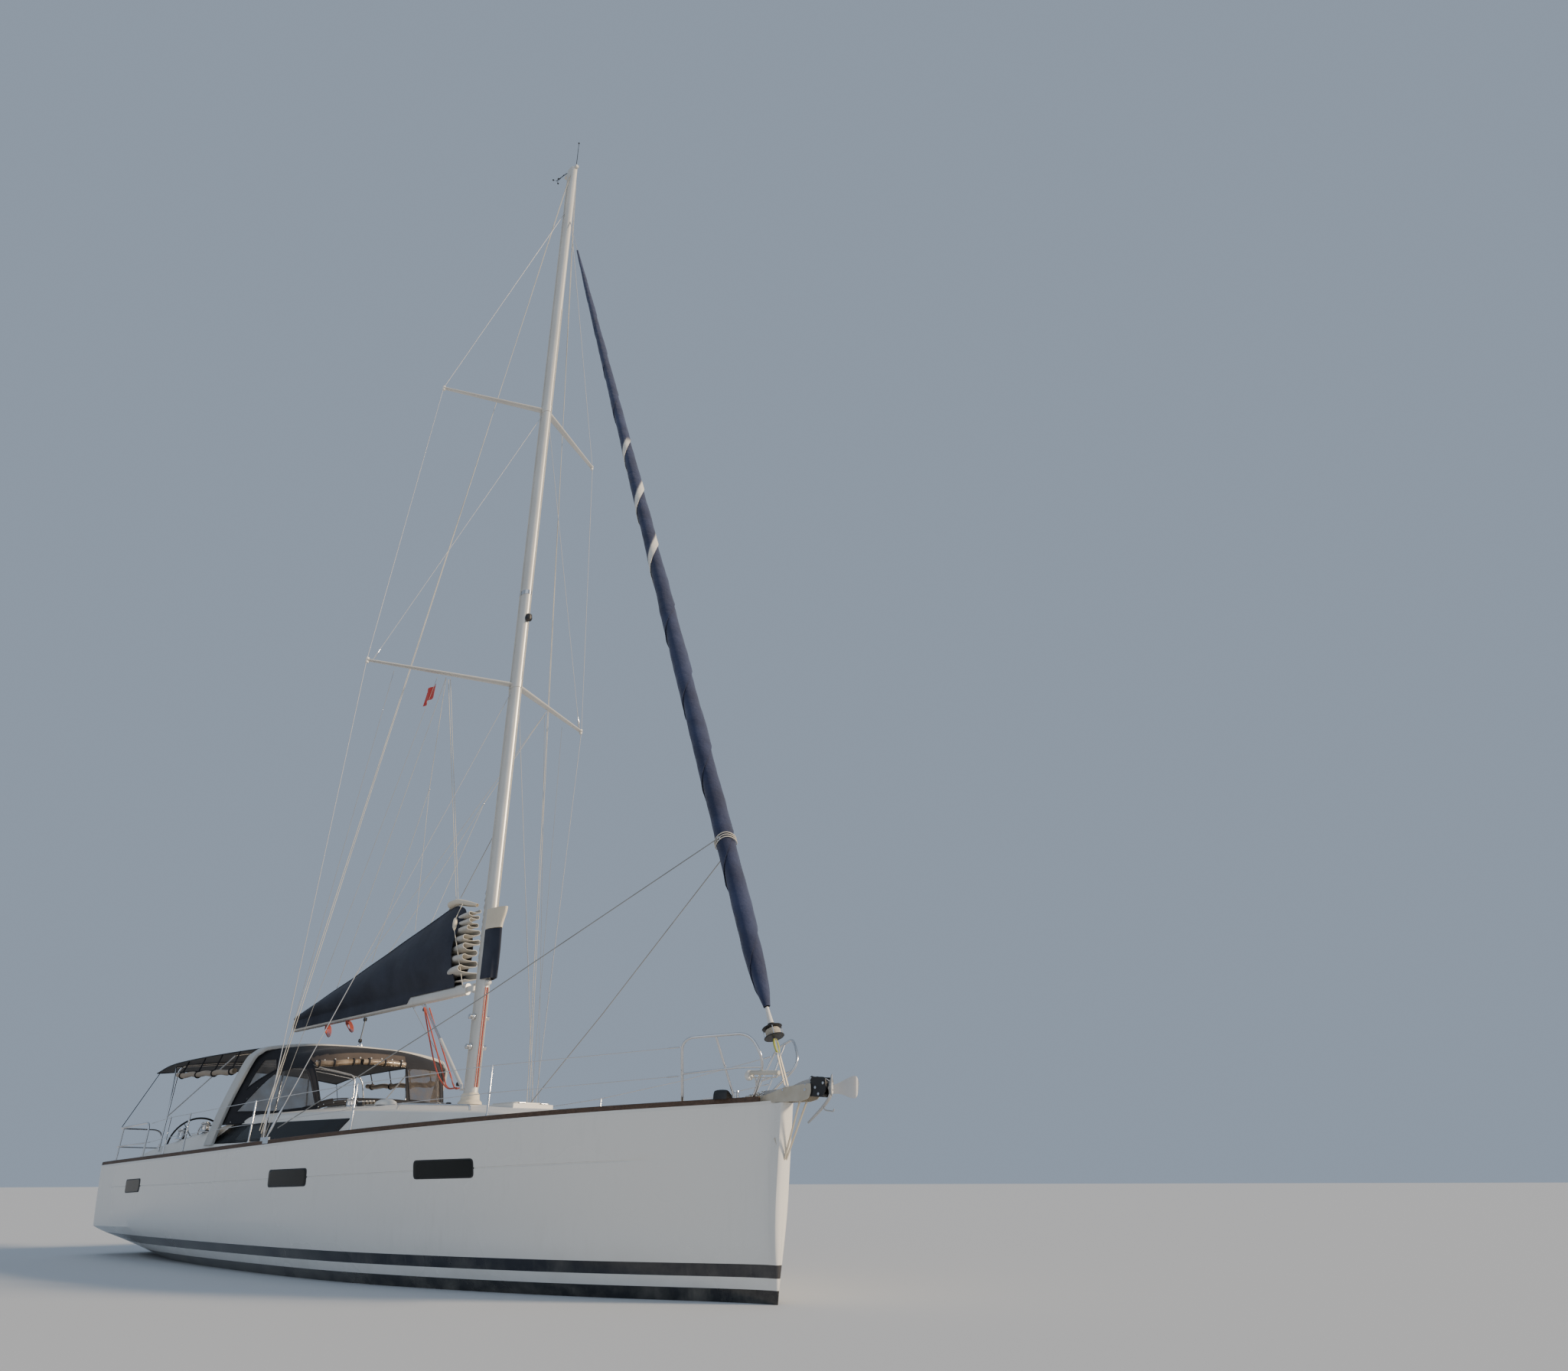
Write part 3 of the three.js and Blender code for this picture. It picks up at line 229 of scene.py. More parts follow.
def box_corners(low, high):
    return [(low[0], low[1]), (high[0], low[1]), (high[0], high[1]), (low[0], high[1])]


def rounded_outline(corners, radius, steps=5):
    """A closed outline in two axes with rounded corners."""
    corners = [Vector(c) for c in corners]
    outline = []
    for before, corner, after in zip(corners[-1:] + corners, corners, corners[1:] + corners[:1]):
        start = corner + (before - corner).normalized() * radius
        end = corner + (after - corner).normalized() * radius
        for t in spread(0, 1, steps):
            outline.append(start.lerp(corner, t).lerp(corner.lerp(end, t), t))
    return outline


def drawn_in(outline, steps, upright=False):
    """Rings of a low slab: the outline drawn in to a share of its size at each height, or x if upright."""
    centre = sum(outline, Vector((0, 0))) / len(outline)
    return [[(z, *centre.lerp(p, share)) if upright else (*centre.lerp(p, share), z) for p in outline]
            for share, z in steps]


def both_halves(x, half):
    """A section's starboard half, y and z from its edge to the centre line, and the same on to port."""
    return [(x, -y, z) for y, z in half] + [(x, y, z) for y, z in half[-2::-1]]


class Form:
    """Gathers closed shapes into one mesh. Each shape has its own finish and faces outwards."""

    def __init__(self):
        self.points = []
        self.faces = []
        self.finishes = []
        self.finish_of = []

    def add(self, points, faces, finish):
        if volume(points, faces) < 0:
            faces = [face[::-1] for face in faces]
        if finish not in self.finishes:
            self.finishes.append(finish)
        start = len(self.points)
        self.points += [tuple(p) for p in points]
        self.faces += [[start + k for k in face] for face in faces]
        self.finish_of += [self.finishes.index(finish)] * len(faces)
        return self

    def skin(self, rings, finish, capped=True):
        """Rings of the same count of points, joined by walls, with a flat cap on each end."""
        count = len(rings[0])
        faces = []
        for r in range(len(rings) - 1):
            for i in range(count):
                a, b = r * count + i, r * count + (i + 1) % count
                faces.append([a, b, b + count, a + count])
        if capped:
            last = (len(rings) - 1) * count
            faces.append(list(range(count))[::-1])
            faces.append([last + i for i in range(count)])
        return self.add([p for ring in rings for p in ring], faces, finish)

    def tube(self, path, radius, finish, sides=10, flat=1.0):
        """A round bar along a line. radius is one number or one for each point."""
        path = [Vector(p) for p in path]
        radii = radius if isinstance(radius, list) else [radius] * len(path)
        side = None
        rings = []
        for i, point in enumerate(path):
            along = (path[min(i + 1, len(path) - 1)] - point).normalized()
            along = (along + (point - path[max(i - 1, 0)]).normalized()).normalized()
            if side is None:
                side = sideways(along)
            side = (side - along * side.dot(along)).normalized()
            up = along.cross(side)
            turn = FULL_TURN / sides
            rings.append([point + side * cos(turn * k) * radii[i] + up * sin(turn * k) * radii[i] * flat
                          for k in range(sides)])
        return self.skin(rings, finish)

    def rolled(self, path, section, finish, swell):
        """A rolled sheet along a line: its section as angle and radius, sized by swell at each point."""
        path = [Vector(p) for p in path]
        rings = []
        for i, point in enumerate(path):
            along = (path[min(i + 1, len(path) - 1)] - path[max(i - 1, 0)]).normalized()
            side = sideways(along).normalized()
            up = side.cross(along)
            rings.append([point + (side * cos(a) + up * sin(a)) * r * swell[i] for a, r in section])
        return self.skin(rings, finish)

    def turned(self, profile, centre, along, finish, sides=24):
        """A turned shape. The profile's columns are radius and place along the axis, from end to end."""
        centre, along = Vector(centre), Vector(along).normalized()
        side = sideways(along).normalized()
        up = along.cross(side)
        rings = []
        for radius, place in profile:
            radius = max(radius, 1e-5)
            rings.append([centre + along * place + side * cos(FULL_TURN * k / sides) * radius
                          + up * sin(FULL_TURN * k / sides) * radius for k in range(sides)])
        return self.skin(rings, finish)

    def solid(self, profile, centre, along, finish, sides=24):
        """A turned solid, its profile closed to the axis at both ends."""
        return self.turned([(0, profile[0][1]), *profile, (0, profile[-1][1])], centre, along, finish, sides)

    def rod(self, radius, start, end, centre, along, finish, sides=24):
        """A plain round bar between two places along an axis."""
        return self.solid([(radius, start), (radius, end)], centre, along, finish, sides)

    def block(self, low, high, finish):
        return self.skin([[(x, y, z) for x, y in box_corners(low, high)] for z in (low[2], high[2])], finish)

    def ball(self, centre, radius, finish, squash=1.0, sides=16):
        arc = [(radius * sin(a), -radius * squash * cos(a)) for a in spread(0, pi, sides // 2 + 1)]
        return self.turned(arc, centre, (0, 0, 1), finish, sides)

    def mirrored(self):
        other = Form()
        other.points = [(x, -y, z) for x, y, z in self.points]
        other.faces = [face[::-1] for face in self.faces]
        other.finishes = list(self.finishes)
        other.finish_of = list(self.finish_of)
        return other

    def mesh(self, name, smooth=35):
        made = bpy.data.meshes.new(name)
        made.from_pydata(self.points, [], self.faces)
        for finish in self.finishes:
            made.materials.append(finish)
        made.polygons.foreach_set("material_index", self.finish_of)
        made.polygons.foreach_set("use_smooth", [True] * len(self.faces))
        made.set_sharp_from_angle(angle=radians(smooth))
        made.update()
        return made

    def place(self, name, body, slot, replaces=(), round_edges=0.0, smooth=35):
        return settle(link(name, self.mesh(name, smooth)), body, replaces, round_edges)

    def place_pair(self, name, slot, replaced=None):
        """Places a starboard shape and its mirror image. An asterisk in a name stands for the side."""
        for side, form in (("starboard", self), ("port", self.mirrored())):
            form.place(name.replace("*", side), "root", slot, [replaced.replace("*", side)] if replaced
                       else ())


def link(name, mesh):
    piece = bpy.data.objects.new(name, mesh)
    bpy.context.scene.collection.objects.link(piece)
    return piece


def settle(piece, body, replaces=(), round_edges=0.0):
    if round_edges:
        bevel = piece.modifiers.new("rounded edges", "BEVEL")
        bevel.width = round_edges
        bevel.segments = 2
        bevel.limit_method = "ANGLE"
        bevel.angle_limit = radians(40)
        bevel.harden_normals = True
    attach(piece, body)
    if replaces:
        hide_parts(*replaces)
    return piece


def span(form, name, slot, start, end):
    """Places a line from mast to boom as one fixed piece, attached to no body; start and end are not used."""
    piece = link(name, form.mesh(name, 60))
    tuple(start)
    tuple(end)
    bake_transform(piece)


def plain_mesh(piece, name):
    """The piece as its modifiers leave it, as a mesh with none."""
    graph = bpy.context.evaluated_depsgraph_get()
    graph.update()
    made = bpy.data.meshes.new_from_object(piece.evaluated_get(graph))
    made.name = name
    return made


def carved(name, base, joins=(), cuts=(), smooth=35):
    """The base form joined with some forms and cut by others, as one mesh."""
    piece = link(name, base.mesh(name))
    helpers = []
    for operation, forms in (("UNION", joins), ("DIFFERENCE", cuts)):
        for form in forms:
            helper = link(name + "_tool", form.mesh(name + "_tool"))
            helper.hide_render = True
            helpers.append(helper)
            step = piece.modifiers.new(operation, "BOOLEAN")
            step.operation = operation
            step.solver = "EXACT"
            step.object = helper
    mesh = plain_mesh(piece, name)
    for helper in helpers:
        bpy.data.objects.remove(helper)
    piece.modifiers.clear()
    piece.data = mesh
    mesh.polygons.foreach_set("use_smooth", [True] * len(mesh.polygons))
    mesh.set_sharp_from_angle(angle=radians(smooth))
    return piece


# Node tools

def node(tree, kind, inputs=None, **settings):
    made = tree.nodes.new(kind)
    for key, value in settings.items():
        setattr(made, key, value)
    for key, value in (inputs or {}).items():
        socket = made.inputs[key]
        if isinstance(value, bpy.types.NodeSocket):
            tree.links.new(value, socket)
        else:
            socket.default_value = value
    return made


def calc(tree, operation, a, b=0.0, clamp=False):
    return node(tree, "ShaderNodeMath", {0: a, 1: b}, operation=operation, use_clamp=clamp).outputs[0]


def tint(tree, factor, a, b):
    made = node(tree, "ShaderNodeMix", {0: factor, 6: a, 7: b}, data_type="RGBA")
    return made.outputs[2]


def remap(tree, value, low, high, to_low=0.0, to_high=1.0):
    inputs = {"Value": value, "From Min": low, "From Max": high, "To Min": to_low, "To Max": to_high}
    return node(tree, "ShaderNodeMapRange", inputs).outputs[0]


def shader_group(name, inputs, outputs):
    tree = bpy.data.node_groups.new(name, "ShaderNodeTree")
    for label, kind, value in inputs:
        socket = tree.interface.new_socket(label, in_out="INPUT", socket_type="NodeSocket" + kind)
        socket.default_value = value
    for label, kind in outputs:
        tree.interface.new_socket(label, in_out="OUTPUT", socket_type="NodeSocket" + kind)
    return tree, tree.nodes.new("NodeGroupInput").outputs, tree.nodes.new("NodeGroupOutput").inputs


def object_place(tree, scale=(1, 1, 1)):
    coords = node(tree, "ShaderNodeTexCoord").outputs["Object"]
    return node(tree, "ShaderNodeMapping", {"Vector": coords, "Scale": scale}).outputs[0]


def noise(tree, scale, detail=4.0, stretch=(1, 1, 1), rough=0.55):
    place = object_place(tree, stretch)
    return node(tree, "ShaderNodeTexNoise", {"Vector": place, "Scale": scale, "Detail": detail,
                                             "Roughness": rough}).outputs["Fac"]


# Salt, run marks and faint patches that weather leaves on every outdoor surface
WEATHER, given, wanted = shader_group(
    "weather", [("Streak", "Float", 0.5), ("Patch scale", "Float", 1.2)],
    [("Marks", "Float"), ("Patches", "Float"), ("Dust", "Float")])
streaks = noise(WEATHER, 9.0, 5.0, (1.6, 1.6, 0.12), 0.6)
broad = noise(WEATHER, 0.9, 2.0)
marks = calc(WEATHER, "MULTIPLY", remap(WEATHER, streaks, 0.52, 0.8), remap(WEATHER, broad, 0.4, 0.7))
WEATHER.links.new(calc(WEATHER, "MULTIPLY", marks, given["Streak"]), wanted["Marks"])
patch_place = object_place(WEATHER)
patches = node(WEATHER, "ShaderNodeTexNoise", {"Vector": patch_place, "Scale": given["Patch scale"],
                                               "Detail": 3.0}).outputs["Fac"]
WEATHER.links.new(remap(WEATHER, patches, 0.35, 0.7), wanted["Patches"])
WEATHER.links.new(noise(WEATHER, 160.0, 3.0), wanted["Dust"])

# Woven canvas: crossed threads over soft wrinkles
WEAVE, given, wanted = shader_group(
    "canvas_weave", [("Threads", "Float", 420.0), ("Wrinkles", "Float", 0.5)],
    [("Height", "Float"), ("Fade", "Float")])
threads = []
for direction in ("X", "Z"):
    bands = node(WEAVE, "ShaderNodeTexWave", {"Vector": object_place(WEAVE), "Scale": given["Threads"],
                                              "Distortion": 0.6, "Detail": 1.0}, bands_direction=direction)
    threads.append(bands.outputs["Fac"])
cross = calc(WEAVE, "MULTIPLY", threads[0], threads[1])
wrinkles = noise(WEAVE, 7.0, 3.0, (0.7, 1.0, 1.4))
soft = calc(WEAVE, "MULTIPLY", wrinkles, given["Wrinkles"])
WEAVE.links.new(calc(WEAVE, "ADD", calc(WEAVE, "MULTIPLY", cross, 0.02), soft), wanted["Height"])
WEAVE.links.new(remap(WEAVE, noise(WEAVE, 2.2, 4.0), 0.35, 0.75), wanted["Fade"])

# Timber: long figure with darker pores
TIMBER, given, wanted = shader_group(
    "timber_figure", [("Length", "Float", 0.06)], [("Figure", "Float"), ("Pores", "Float")])
place = node(TIMBER, "ShaderNodeMapping", {"Vector": node(TIMBER, "ShaderNodeTexCoord").outputs["Object"],
                                           "Scale": node(TIMBER, "ShaderNodeCombineXYZ",
                                                         {"X": given["Length"], "Y": 1.0,
                                                          "Z": 1.0}).outputs[0]}).outputs[0]
TIMBER.links.new(node(TIMBER, "ShaderNodeTexNoise", {"Vector": place, "Scale": 60.0, "Detail": 6.0,
                                                     "Distortion": 0.8}).outputs["Fac"], wanted["Figure"])
TIMBER.links.new(remap(TIMBER, node(TIMBER, "ShaderNodeTexNoise", {
    "Vector": place, "Scale": 420.0, "Detail": 2.0}).outputs["Fac"], 0.58, 0.75), wanted["Pores"])


def use_group(tree, group, **inputs):
    made = tree.nodes.new("ShaderNodeGroup")
    made.node_tree = group
    for label, value in inputs.items():
        made.inputs[label.replace("_", " ")].default_value = value
    return made.outputs


def finish(name, colour, roughness, metallic=0.0, **constants):
    """A material with its shader's constants set. Returns the material, its tree and its shader."""
    made = bpy.data.materials.new(name)
    made.use_nodes = True
    shader = made.node_tree.nodes["Principled BSDF"]
    shader.inputs["Base Color"].default_value = (*colour, 1)
    shader.inputs["Roughness"].default_value = roughness
    shader.inputs["Metallic"].default_value = metallic
    for label, value in constants.items():
        shader.inputs[label.replace("_", " ")].default_value = value
    return made, made.node_tree, shader.inputs


def bump(tree, sockets, height, distance, strength=1.0):
    made = node(tree, "ShaderNodeBump", {"Height": height, "Distance": distance, "Strength": strength})
    tree.links.new(made.outputs[0], sockets["Normal"])


def worn(name, colour, aged, roughness, rougher, metallic=0.0, streak=0.5, patch=1.2, dust=0.0, **constants):
    """A smooth outdoor finish whose colour and gloss vary with the weather marks."""
    made, tree, sockets = finish(name, colour, roughness, metallic, **constants)
    weather = use_group(tree, WEATHER, Streak=streak, Patch_scale=patch)
    age = calc(tree, "ADD", calc(tree, "MULTIPLY", weather["Patches"], 0.45), weather["Marks"], clamp=True)
    tree.links.new(tint(tree, age, (*colour, 1), (*aged, 1)), sockets["Base Color"])
    tree.links.new(remap(tree, age, 0, 1, roughness, rougher), sockets["Roughness"])
    if dust:
        bump(tree, sockets, weather["Dust"], dust)
    return made, tree, sockets


WHITE = (0.80, 0.785, 0.745)
WHITE_AGED = (0.66, 0.63, 0.57)


def hull_paint():
    """White topsides over a dark boot stripe, a white band and dark bottom paint, set by height."""
    made, tree, sockets = finish("topsides_gelcoat", WHITE, 0.22, Coat_Weight=0.35, Coat_Roughness=0.08)
    height = node(tree, "ShaderNodeSeparateXYZ", {0: object_place(tree)}).outputs["Z"]
    ramp_low, ramp_high = -0.5, 1.0
    ramp = node(tree, "ShaderNodeValToRGB", {0: remap(tree, height, ramp_low, ramp_high)})
    ramp.color_ramp.interpolation = "CONSTANT"
    stops = ramp.color_ramp.elements
    stops[0].color = (0.012, 0.013, 0.016, 1)
    stops[1].position = (BAND_EDGES[0] - ramp_low) / (ramp_high - ramp_low)
    stops[1].color = (*WHITE, 1)
    for edge, colour in ((BAND_EDGES[1], (0.010, 0.012, 0.020)), (BAND_EDGES[2], WHITE)):
        stops.new((edge - ramp_low) / (ramp_high - ramp_low)).color = (*colour, 1)
    weather = use_group(tree, WEATHER, Streak=0.5, Patch_scale=0.6)
    scum = calc(tree, "MULTIPLY", remap(tree, height, 0.55, 0.0),
                remap(tree, noise(tree, 3.0, 5.0), 0.4, 0.75))
    marks = calc(tree, "MULTIPLY", weather["Marks"], 0.35)
    age = calc(tree, "ADD", marks, calc(tree, "MULTIPLY", scum, 0.3), clamp=True)
    tree.links.new(tint(tree, age, ramp.outputs[0], (0.45, 0.42, 0.35, 1)), sockets["Base Color"])
    tree.links.new(remap(tree, weather["Patches"], 0, 1, 0.18, 0.34), sockets["Roughness"])
    return made


def deck_gelcoat():
    """White gelcoat, smooth on the sides and moulded with a fine grip pattern where it lies flat."""
    made, tree, sockets = worn("deck_gelcoat", WHITE, WHITE_AGED, 0.3, 0.55, streak=0.35, patch=1.6)
    flat = remap(tree, node(tree, "ShaderNodeSeparateXYZ", {
        0: node(tree, "ShaderNodeNewGeometry").outputs["Normal"]}).outputs["Z"], 0.93, 0.97)
    studs = node(tree, "ShaderNodeTexVoronoi",
                 {"Vector": object_place(tree), "Scale": 170.0}).outputs["Distance"]
    bump(tree, sockets, calc(tree, "MULTIPLY", studs, flat), 0.0012, 0.6)
    return made


def canvas(name, colour, faded, wrinkles, rough=0.85, sheen=0.2):
    made, tree, sockets = finish(name, colour, rough, Sheen_Weight=sheen, Sheen_Roughness=0.5)
    cloth = use_group(tree, WEAVE, Threads=320.0, Wrinkles=wrinkles)
    tree.links.new(tint(tree, cloth["Fade"], (*colour, 1), (*faded, 1)), sockets["Base Color"])
    bump(tree, sockets, cloth["Height"], 0.02, 0.7)
    return made


def timber(name, colour, pale, length):
    made, tree, sockets = finish(name, colour, 0.6)
    figure = use_group(tree, TIMBER, Length=length)
    shade = tint(tree, remap(tree, figure["Figure"], 0.3, 0.7), (*colour, 1), (*pale, 1))
    dark = tuple(c * 0.35 for c in colour)
    tree.links.new(tint(tree, figure["Pores"], shade, (*dark, 1)), sockets["Base Color"])
    bump(tree, sockets, figure["Figure"], 0.001, 0.5)
    return made


def brushed(name, colour, aged, metallic, roughness, stretch):
    """Drawn metal with fine lines along its length."""
    made, tree, sockets = worn(name, colour, aged, roughness, roughness + 0.18, metallic, streak=0.4)
    bump(tree, sockets, noise(tree, 90.0, 3.0, stretch), 0.0006, 0.5)
    return made


HULL_PAINT = hull_paint()
DECK_WHITE = deck_gelcoat()
GLASS_DARK = worn("tinted_acrylic", (0.006, 0.009, 0.010), (0.018, 0.022, 0.024), 0.16, 0.3, streak=0.3,
                  Specular_IOR_Level=0.22)[0]
ROOF_GLASS = worn("roof_window_acrylic", (0.004, 0.005, 0.006), (0.010, 0.011, 0.013), 0.20, 0.3, streak=0.2,
                  Specular_IOR_Level=0.12)[0]
RAIL_TIMBER = timber("toe_rail_timber", (0.055, 0.030, 0.018), (0.115, 0.066, 0.040), 0.06)
TEAK = timber("teak_slats", (0.30, 0.185, 0.10), (0.42, 0.28, 0.165), 0.05)
SPAR = brushed("spar_alloy", (0.74, 0.72, 0.67), (0.55, 0.53, 0.49), 0.35, 0.36, (1, 1, 0.02))
STAINLESS = brushed("polished_stainless", (0.72, 0.73, 0.75), (0.50, 0.48, 0.45), 1.0, 0.16, (0.1, 0.1, 0.1))
WIRE = brushed("laid_wire", (0.70, 0.70, 0.71), (0.5, 0.49, 0.47), 0.8, 0.35, (1, 1, 0.4))
ZINC = worn("galvanised_steel", (0.55, 0.56, 0.57), (0.36, 0.34, 0.31), 0.45, 0.7, 0.85, dust=0.0008)[0]
BLACK = worn("black_moulding", (0.012, 0.012, 0.014), (0.045, 0.044, 0.042), 0.42, 0.65, dust=0.0006)[0]
BOTTOM = worn("bottom_paint", (0.012, 0.013, 0.016), (0.035, 0.038, 0.036), 0.6, 0.85, dust=0.002,
              patch=3.0)[0]
BRONZE = worn("propeller_bronze", (0.50, 0.34, 0.15), (0.22, 0.20, 0.12), 0.3, 0.6, 1.0, patch=14.0)[0]
NAVY = canvas("navy_canvas", (0.013, 0.017, 0.032), (0.030, 0.038, 0.060), 0.4, sheen=0.08)
CHARCOAL = canvas("charcoal_canvas", (0.009, 0.010, 0.015), (0.022, 0.022, 0.027), 0.45, sheen=0.06)
BROW_CLOTH = canvas("brow_canvas", (0.060, 0.046, 0.040), (0.105, 0.082, 0.068), 0.4, sheen=0.1)
SAILCLOTH = canvas("folded_sailcloth", (0.62, 0.60, 0.55), (0.42, 0.41, 0.38), 0.6, 0.7)
CREAM_CLOTH = canvas("cream_headboard_cloth", (0.78, 0.70, 0.55), (0.62, 0.54, 0.42), 0.4, 0.7)
LEATHER = canvas("stitched_leather", (0.015, 0.014, 0.014), (0.04, 0.036, 0.033), 0.3, 0.5)
WHITE_PLASTIC = worn("white_moulding", (0.78, 0.77, 0.74), (0.6, 0.57, 0.5), 0.35, 0.6, patch=4.0)[0]
# The arch is white gelcoat; this mid grey is painted shade, the white darkened to how it looks out of the
# sun.
ARCH_PAINTED_SHADE_GREY = worn("arch_gelcoat_painted_shade", (0.52, 0.52, 0.50), (0.40, 0.39, 0.37), 0.34, 0.6, streak=0.4)[0]
ROLLER_STEEL = worn("cast_stainless", (0.62, 0.57, 0.47), (0.42, 0.36, 0.27), 0.38, 0.6, 0.55, patch=8.0)[0]
PIPING = canvas("pale_piping", (0.42, 0.38, 0.32), (0.30, 0.27, 0.23), 0.2)
TAN_CLOTH = canvas("rolled_tan_cloth", (0.36, 0.27, 0.18), (0.24, 0.18, 0.12), 0.5, 0.6)
RED_ROPE = canvas("red_rope", (0.55, 0.07, 0.04), (0.40, 0.09, 0.05), 0.2, 0.8)
CREAM_ROPE = canvas("cream_rope", (0.66, 0.62, 0.53), (0.48, 0.45, 0.38), 0.2, 0.8)
STROP = canvas("yellow_strop", (0.52, 0.55, 0.10), (0.38, 0.40, 0.10), 0.2, 0.8)
GREY_ROPE = canvas("grey_rope", (0.34, 0.34, 0.33), (0.22, 0.22, 0.21), 0.2, 0.8)
ENSIGN = canvas("red_bunting", (0.60, 0.05, 0.04), (0.45, 0.06, 0.05), 0.3, 0.8)


def vinyl(name, colour, cloudy, opacity):
    """Clear window film with a brown tint, cloudier where it has been creased."""
    made, tree, sockets = finish(name, colour, 0.12, Coat_Weight=0.4, Coat_Roughness=0.05)
    cloud = remap(tree, noise(tree, 5.0, 4.0), 0.35, 0.75)
    tree.links.new(tint(tree, cloud, (*colour, 1), (*cloudy, 1)), sockets["Base Color"])
    tree.links.new(remap(tree, cloud, 0, 1, opacity, min(opacity + 0.25, 1.0)), sockets["Alpha"])
    bump(tree, sockets, noise(tree, 3.5, 3.0), 0.03, 0.5)
    return made


BRONZE_VINYL = vinyl("bronze_window_film", (0.050, 0.038, 0.028), (0.16, 0.13, 0.10), 0.42)
ROLLED_VINYL = vinyl("rolled_window_film", (0.16, 0.115, 0.075), (0.42, 0.34, 0.25), 0.95)


# Camera and studio

CAMERA_AT = Vector((14.859, -8.059, 1.023))
CAMERA_YAW, CAMERA_PITCH, CAMERA_ROLL = (radians(a) for a in (44.085, 25.335, -0.177))
CAMERA_LENS, SENSOR_WIDE = 24.146, 36.0


def camera():
    data = bpy.data.cameras.new("camera")
    data.lens = CAMERA_LENS
    data.sensor_width = SENSOR_WIDE
    data.clip_end = 2000
    view = bpy.data.objects.new("camera", data)
    bpy.context.scene.collection.objects.link(view)
    forward = Vector((-sin(CAMERA_YAW) * cos(CAMERA_PITCH),
                      cos(CAMERA_YAW) * cos(CAMERA_PITCH), sin(CAMERA_PITCH)))
    level = Vector((cos(CAMERA_YAW), sin(CAMERA_YAW), 0))
    up = level.cross(forward)
    right = level * cos(CAMERA_ROLL) + up * sin(CAMERA_ROLL)
    up = up * cos(CAMERA_ROLL) - level * sin(CAMERA_ROLL)
    view.matrix_world = Matrix.Translation(CAMERA_AT) @ Matrix((right, up, -forward)).transposed().to_4x4()
    bpy.context.scene.camera = view


def studio():
    """A pale floor at the waterline, soft light from all round and one broad warm lamp over the port bow."""
    reach = 900.0
    mesh = bpy.data.meshes.new("floor")
    mesh.from_pydata([(-reach, -reach, 0), (reach, -reach, 0), (reach, reach, 0), (-reach, reach, 0)], [],
                     [(0, 1, 2, 3)])
    floor = link("floor", mesh)
    mesh.materials.append(finish("pale_floor", (0.62, 0.64, 0.66), 0.75)[0])
    world = bpy.data.worlds.new("studio")
    bpy.context.scene.world = world
    world.use_nodes = True
    sky = world.node_tree.nodes["Background"].inputs
    sky["Color"].default_value = (0.46, 0.56, 0.70, 1)
    sky["Strength"].default_value = 0.62
    for name, towards, strength, colour, angle in (
            ("key", (0.80, 0.52, 0.36), 4.3, (1.0, 0.80, 0.56), 9),
            ("fill", (0.45, -0.85, 0.55), 0.35, (0.86, 0.92, 1.0), 60)):
        lamp = bpy.data.lights.new(name, "SUN")
        lamp.energy = strength
        lamp.color = colour
        lamp.angle = radians(angle)
        holder = bpy.data.objects.new(name, lamp)
        bpy.context.scene.collection.objects.link(holder)
        holder.matrix_world = Vector(towards).to_track_quat("Z", "Y").to_matrix().to_4x4()


# Hull

STEM_HALF = 0.085
GROOVE_DEEP = 0.007
GROOVE_HALF = 0.009


def topside_y(row, z):
    """Half breadth of the topsides at a height between the chine and the deck's edge."""
    x, deck, chine, chine_z = row[:4]
    t = (z - chine_z) / (sheer(x) - chine_z)
    middle = deck * 0.55 + chine * 0.45
    return chine * (1 - t) * (1 - 2 * t) + middle * 4 * t * (1 - t) + deck * t * (2 * t - 1)


def groove_z(x):
    return 1.0995 + 0.0212 * (x - 0.385) + 0.0009 * (x - 0.385) ** 2


def hull_half(x):
    """One side's section from the keel line to the deck's edge, as y and z."""
    row = HULL.at(x)
    _, _, chine, chine_z, keel_z, turn, vee = row
    turn = radians(turn)
    half = []
    for t in spread(0, turn, 19):
        y = chine * (sin(t) / sin(turn)) ** vee
        half.append((y, mix(keel_z, chine_z, (1 - cos(t)) / (1 - cos(turn)))))
    z_groove = groove_z(x)
    deep = GROOVE_DEEP * ease(-6.4, -6.1, x) * (1 - ease(5.5, 5.8, x))
    levels = [(z, 0) for z in spread(chine_z, z_groove - GROOVE_HALF, 6)[1:]]
    levels += [(z_groove - GROOVE_HALF * 0.5, deep), (z_groove + GROOVE_HALF * 0.5, deep)]
    levels += [(z, 0) for z in spread(z_groove + GROOVE_HALF, sheer(x), 6)]
    return half + [(topside_y(row, z) - inset, z) for z, inset in levels]


def hull_ring(x, squeeze=1.0):
    reach = max(0, (x - STEM_RAKE_STARTS_X) / (STEM_X - STEM_RAKE_STARTS_X))

    def shift(z):
        return reach * reach * (-(BOW_SHEER - z) * STEM_RAKE - FOREFOOT_CURVE * min(z, 0) ** 2)

    blunt = STEM_HALF * ease(6.7, STEM_X, x)
    half = [(max(y, blunt * ease(-0.25, 0.9, z)) if 0 < i else y, z) for i, (y, z) in enumerate(hull_half(x))]
    starboard = [(x + shift(z), -y * squeeze, z) for y, z in half]
    port = [(x + shift(z), y * squeeze, z) for y, z in half[:0:-1]]
    return starboard + port


# Where the bathing platform is hinged, and its recess in the transom
HINGE_X, HINGE_Z = -7.1, 0.31
PLATFORM_HALF, PLATFORM_LOW, PLATFORM_HIGH, PLATFORM_DEEP = 1.162, 0.324, 1.252, 0.072
# The deck's tub, and how much wider the hull is cut away for it
PIT_MARGIN = 0.01
TUB = ((-6.68, -1.62, 0.95), (-2.82, 1.62, 1.9))


